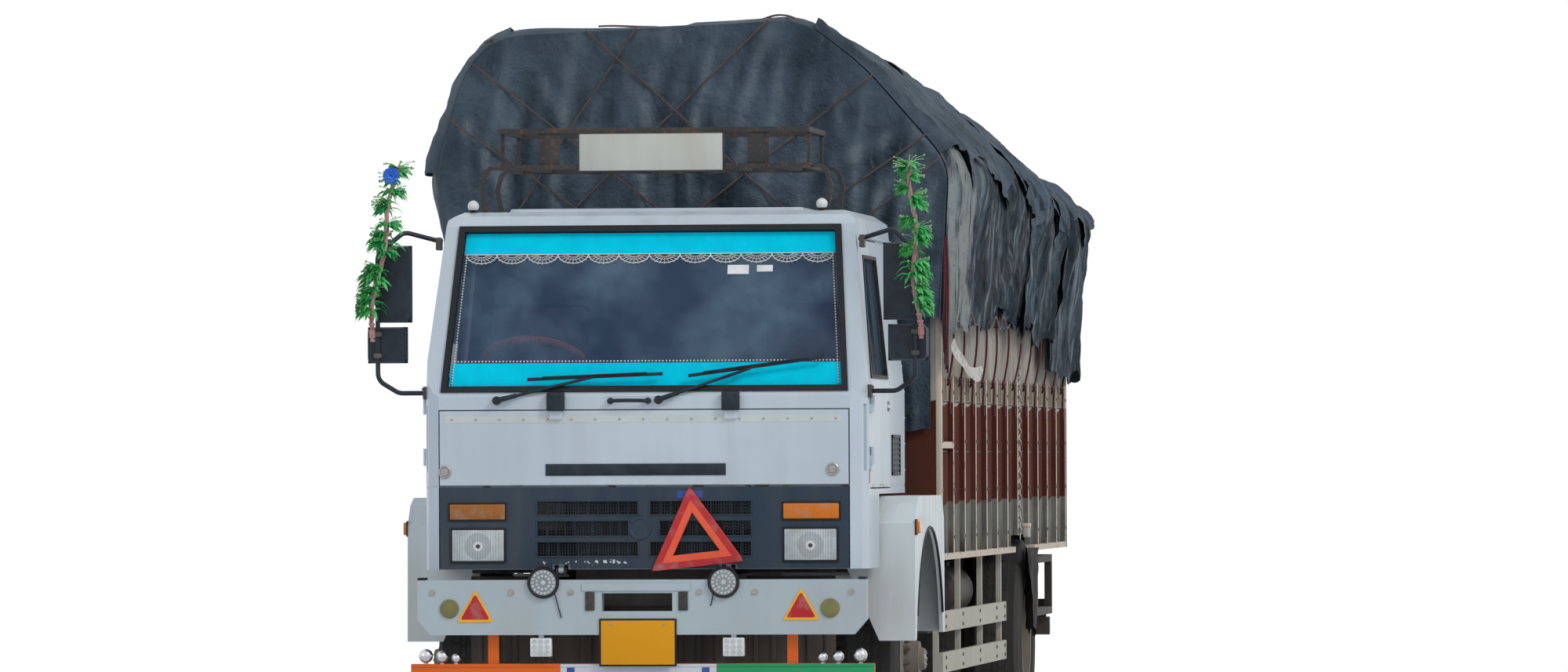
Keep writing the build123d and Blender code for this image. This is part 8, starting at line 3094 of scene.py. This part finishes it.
@dataclass
class RunningGear:
    """Everything under the body: frame, axles, springs, tanks, guards and flaps."""

    finishes: Finishes

    def build(self) -> None:
        """Paints the running gear and adds its small parts."""
        finishes = self.finishes
        Bench.paint(["chassis_frame", "front_axle", "rear_axle", "leaf_springs", "propshaft", "knuckle_left",
                     "knuckle_right", "tie_rod", "battery_box", "air_tank", "rear_carrier"], finishes.chassis)
        Bench.paint(["engine"], finishes.engine)
        Bench.paint(["fuel_tank"], finishes.tank)
        Bench.paint(["side_guards"], finishes.cream)
        Bench.paint(["mud_flaps"], finishes.rubber)
        self.add_shade_shields()
        self.add_spring_parts()
        self.add_frame_bolts()
        self.add_tank_parts()
        self.add_guard_parts()
        self.add_lines()

    def add_shade_shields(self) -> None:
        """Dark ribbed splash shields between and beside the frame rails behind the bumper, also painted shade
        that closes the view under the cab.
        """
        mesh = bmesh.new()
        for left, right in ((-0.445, -0.345), (0.345, 0.445)):
            Bench.block(mesh, (left, behind(0.43), 0.5), (right, behind(0.436), 0.685), 0.002)
        for left, right in ((-0.86, -0.33), (0.33, 0.86)):
            Bench.block(mesh, (left, behind(0.466), 0.945), (right, behind(0.472), 1.15), 0.002)
        for left, right in ((-0.345, 0.345), (0.442, 0.86), (-0.86, -0.442)):
            Bench.block(mesh, (left, behind(0.43), 0.5), (right, behind(0.436), 0.93), 0.002)
            count = int((right - left) / 0.08)
            for number in range(count):
                x = left + (number + 0.5) * (right - left) / count
                Bench.block(mesh, (x - 0.012, behind(0.422), 0.53), (x + 0.012, behind(0.431), 0.9), 0.004)
        Bench.finish("front_shade_shields", mesh, self.finishes.rubber, "chassis")

    def add_spring_parts(self) -> None:
        """U-bolts and their nuts on the four springs."""
        mesh = bmesh.new()
        for x in (-0.4325, 0.4325):
            for back, low, high in ((FRONT_AXLE_BACK, 0.46, 0.67), (REAR_AXLE_BACK, 0.56, 0.79)):
                for shift in (-0.075, 0.075):
                    for way in (-0.045, 0.045):
                        Bench.rod(mesh, (x + way, behind(back) + shift, low),
                                  (x + way, behind(back) + shift, high), 0.009, 10)
                        Bench.rod(mesh, (x + way, behind(back) + shift, low - 0.004),
                                  (x + way, behind(back) + shift, low + 0.014), 0.015, 6)
                    Bench.rod(mesh, (x - 0.045, behind(back) + shift, high),
                              (x + 0.045, behind(back) + shift, high), 0.009, 10)
        Bench.finish("spring_bolts", mesh, self.finishes.nut, "chassis", 30)

    def add_frame_bolts(self) -> None:
        """Bolt heads along the frame rails."""
        mesh = bmesh.new()
        for side in Side:
            x = side.value * 0.4325
            for number in range(26):
                back = 2.1 + number * 0.27
                for z in (0.80, 0.93):
                    start = Vector((x, behind(back), z))
                    Bench.rod(mesh, start, start + Vector((side.value * 0.011, 0, 0)), 0.011, 6)
        Bench.finish("frame_bolts", mesh, self.finishes.chassis, "chassis", 30)

    def add_tank_parts(self) -> None:
        """Filler neck, cap, drain and level sender of the fuel tank, air tank fittings, battery box catch."""
        mesh = bmesh.new()
        Bench.lathe(mesh, ((0, 0.048), (0.05, 0.048), (0.05, 0.058), (0.068, 0.058), (0.073, 0.05),
                           (0.073, 0)), (-0.76, behind(3.62), 0.905), (0, 0, 1), 28)
        for shift in (-0.14, 0.14):
            Bench.rod(mesh, (-0.66 + shift, behind(3.9), 0.909), (-0.66 + shift, behind(3.9), 0.925), 0.016,
                      6)
        Bench.finish("fuel_cap", mesh, self.finishes.nut, "chassis", 40)
        fittings = bmesh.new()
        for back in (4.18, 4.76):
            Bench.rod(fittings, (0.95, behind(back), 0.915), (0.95, behind(back), 0.945), 0.014, 6)
            Bench.rod(fittings, (0.95, behind(back), 0.655), (0.95, behind(back), 0.682), 0.011, 6)
        Bench.lathe(fittings, ((0, 0.021), (0.006, 0.021), (0.006, 0.012), (0.018, 0.012), (0.018, 0)),
                    (0.95, behind(3.958), 0.8), (0, -1, 0), 18)
        Bench.finish("air_fittings", fittings, self.finishes.nut, "chassis", 40)
        catch = bmesh.new()
        for back in (2.62, 2.93):
            Bench.block(catch, (1.078, behind(back) - 0.014, 0.80), (1.087, behind(back) + 0.014, 0.888),
                        0.002)
            Bench.rod(catch, (1.086, behind(back) - 0.017, 0.815), (1.086, behind(back) + 0.017, 0.815),
                      0.006, 8)
        Bench.finish("box_catches", catch, self.finishes.nut, "chassis")

    def add_guard_parts(self) -> None:
        """Bolts on the cream guard boards."""
        mesh = bmesh.new()
        for side in Side:
            x = side.value * 1.145
            for back in (2.75, 3.6, 4.5, 5.4, 5.85):
                for z in (0.45, 0.498, 0.65, 0.7):
                    start = Vector((x, behind(back), z))
                    Bench.rod(mesh, start - Vector((side.value * 0.003, 0, 0)),
                              start + Vector((side.value * 0.006, 0, 0)), 0.009, 10)
        Bench.finish("guard_bolts", mesh, self.finishes.nut, "chassis", 40)

    def add_lines(self) -> None:
        """Brake and air lines clipped along the frame."""
        mesh = bmesh.new()
        draw = random.Random(11)
        for side in Side:
            runs = []
            for lane in range(2):
                runs.append([(side.value * (0.442 + 0.012 * lane), behind(1.9 + 0.25 * step),
                              0.86 + 0.025 * lane + draw.uniform(-0.006, 0.006)) for step in range(22)])
            Bench.tubes(mesh, runs, 0.0055, 1, True)
        Bench.tubes(mesh, [[(0.95, behind(4.18), 0.94), (0.9, behind(4.15), 0.96), (0.7, behind(4.1), 0.95),
                            (0.46, behind(4.1), 0.88)], [(0.95, behind(4.76), 0.94),
                                                         (0.88, behind(4.8), 0.965), (0.66, behind(4.82),
                                                                                      0.94),
                                                         (0.46, behind(4.82), 0.89)]], 0.007, 2, True)
        Bench.finish("air_lines", mesh, self.finishes.seal, "chassis", 60)


@dataclass
class Tail:
    """Lenses over the tail lamp boxes and the reflectors on the underrun bar."""

    finishes: Finishes

    def build(self) -> None:
        """Adds rear lamps, reflectors and a blank plate."""
        red, amber, clear = bmesh.new(), bmesh.new(), bmesh.new()
        rear = behind(9.28)
        for side in Side:
            low, high = sorted((side.value * 0.866, side.value * 1.054))
            third = (high - low) / 3
            for number, target in enumerate((amber, red, clear) if side is Side.RIGHT
                                            else (clear, red, amber)):
                Bench.block(target, (low + number * third + 0.002, rear - 0.002, 0.597),
                            (low + (number + 1) * third - 0.002, rear + 0.014, 0.683), 0.006, 3)
            for x in (0.35, 0.62):
                Bench.block(red, (side.value * x - 0.045, behind(9.285) - 0.001, 0.515),
                            (side.value * x + 0.045, behind(9.285) + 0.006, 0.565), 0.003)
        Bench.finish("tail_lens_red", red, self.finishes.red_lens, "chassis")
        Bench.finish("tail_lens_amber", amber, self.finishes.amber, "chassis")
        Bench.finish("tail_lens_clear", clear, self.finishes.clear, "chassis")
        plate = bmesh.new()
        Bench.block(plate, (-0.26, behind(9.285) - 0.001, 0.497), (0.26, behind(9.285) + 0.002, 0.583),
                    0.0008)
        Bench.finish("rear_plate", plate, self.finishes.plate, "chassis")


def main() -> None:
    """Builds every sub-assembly in order."""
    finishes = Finishes()
    Studio().build()
    body = LoadBody(finishes)
    for part in (RunningGear(finishes), Wheels(finishes), body,
                 Cover(finishes, hook_backs=body.hook_places()), CabSide(finishes), CabInside(finishes),
                 Windscreen(finishes), FrontPanel(finishes), Bumper(finishes), Triangle(finishes),
                 Mirrors(finishes), Garlands(finishes), RoofRack(finishes), Tail(finishes)):
        part.build()
        log.info("built %s", type(part).__name__)


if __name__ == "__main__":
    main()
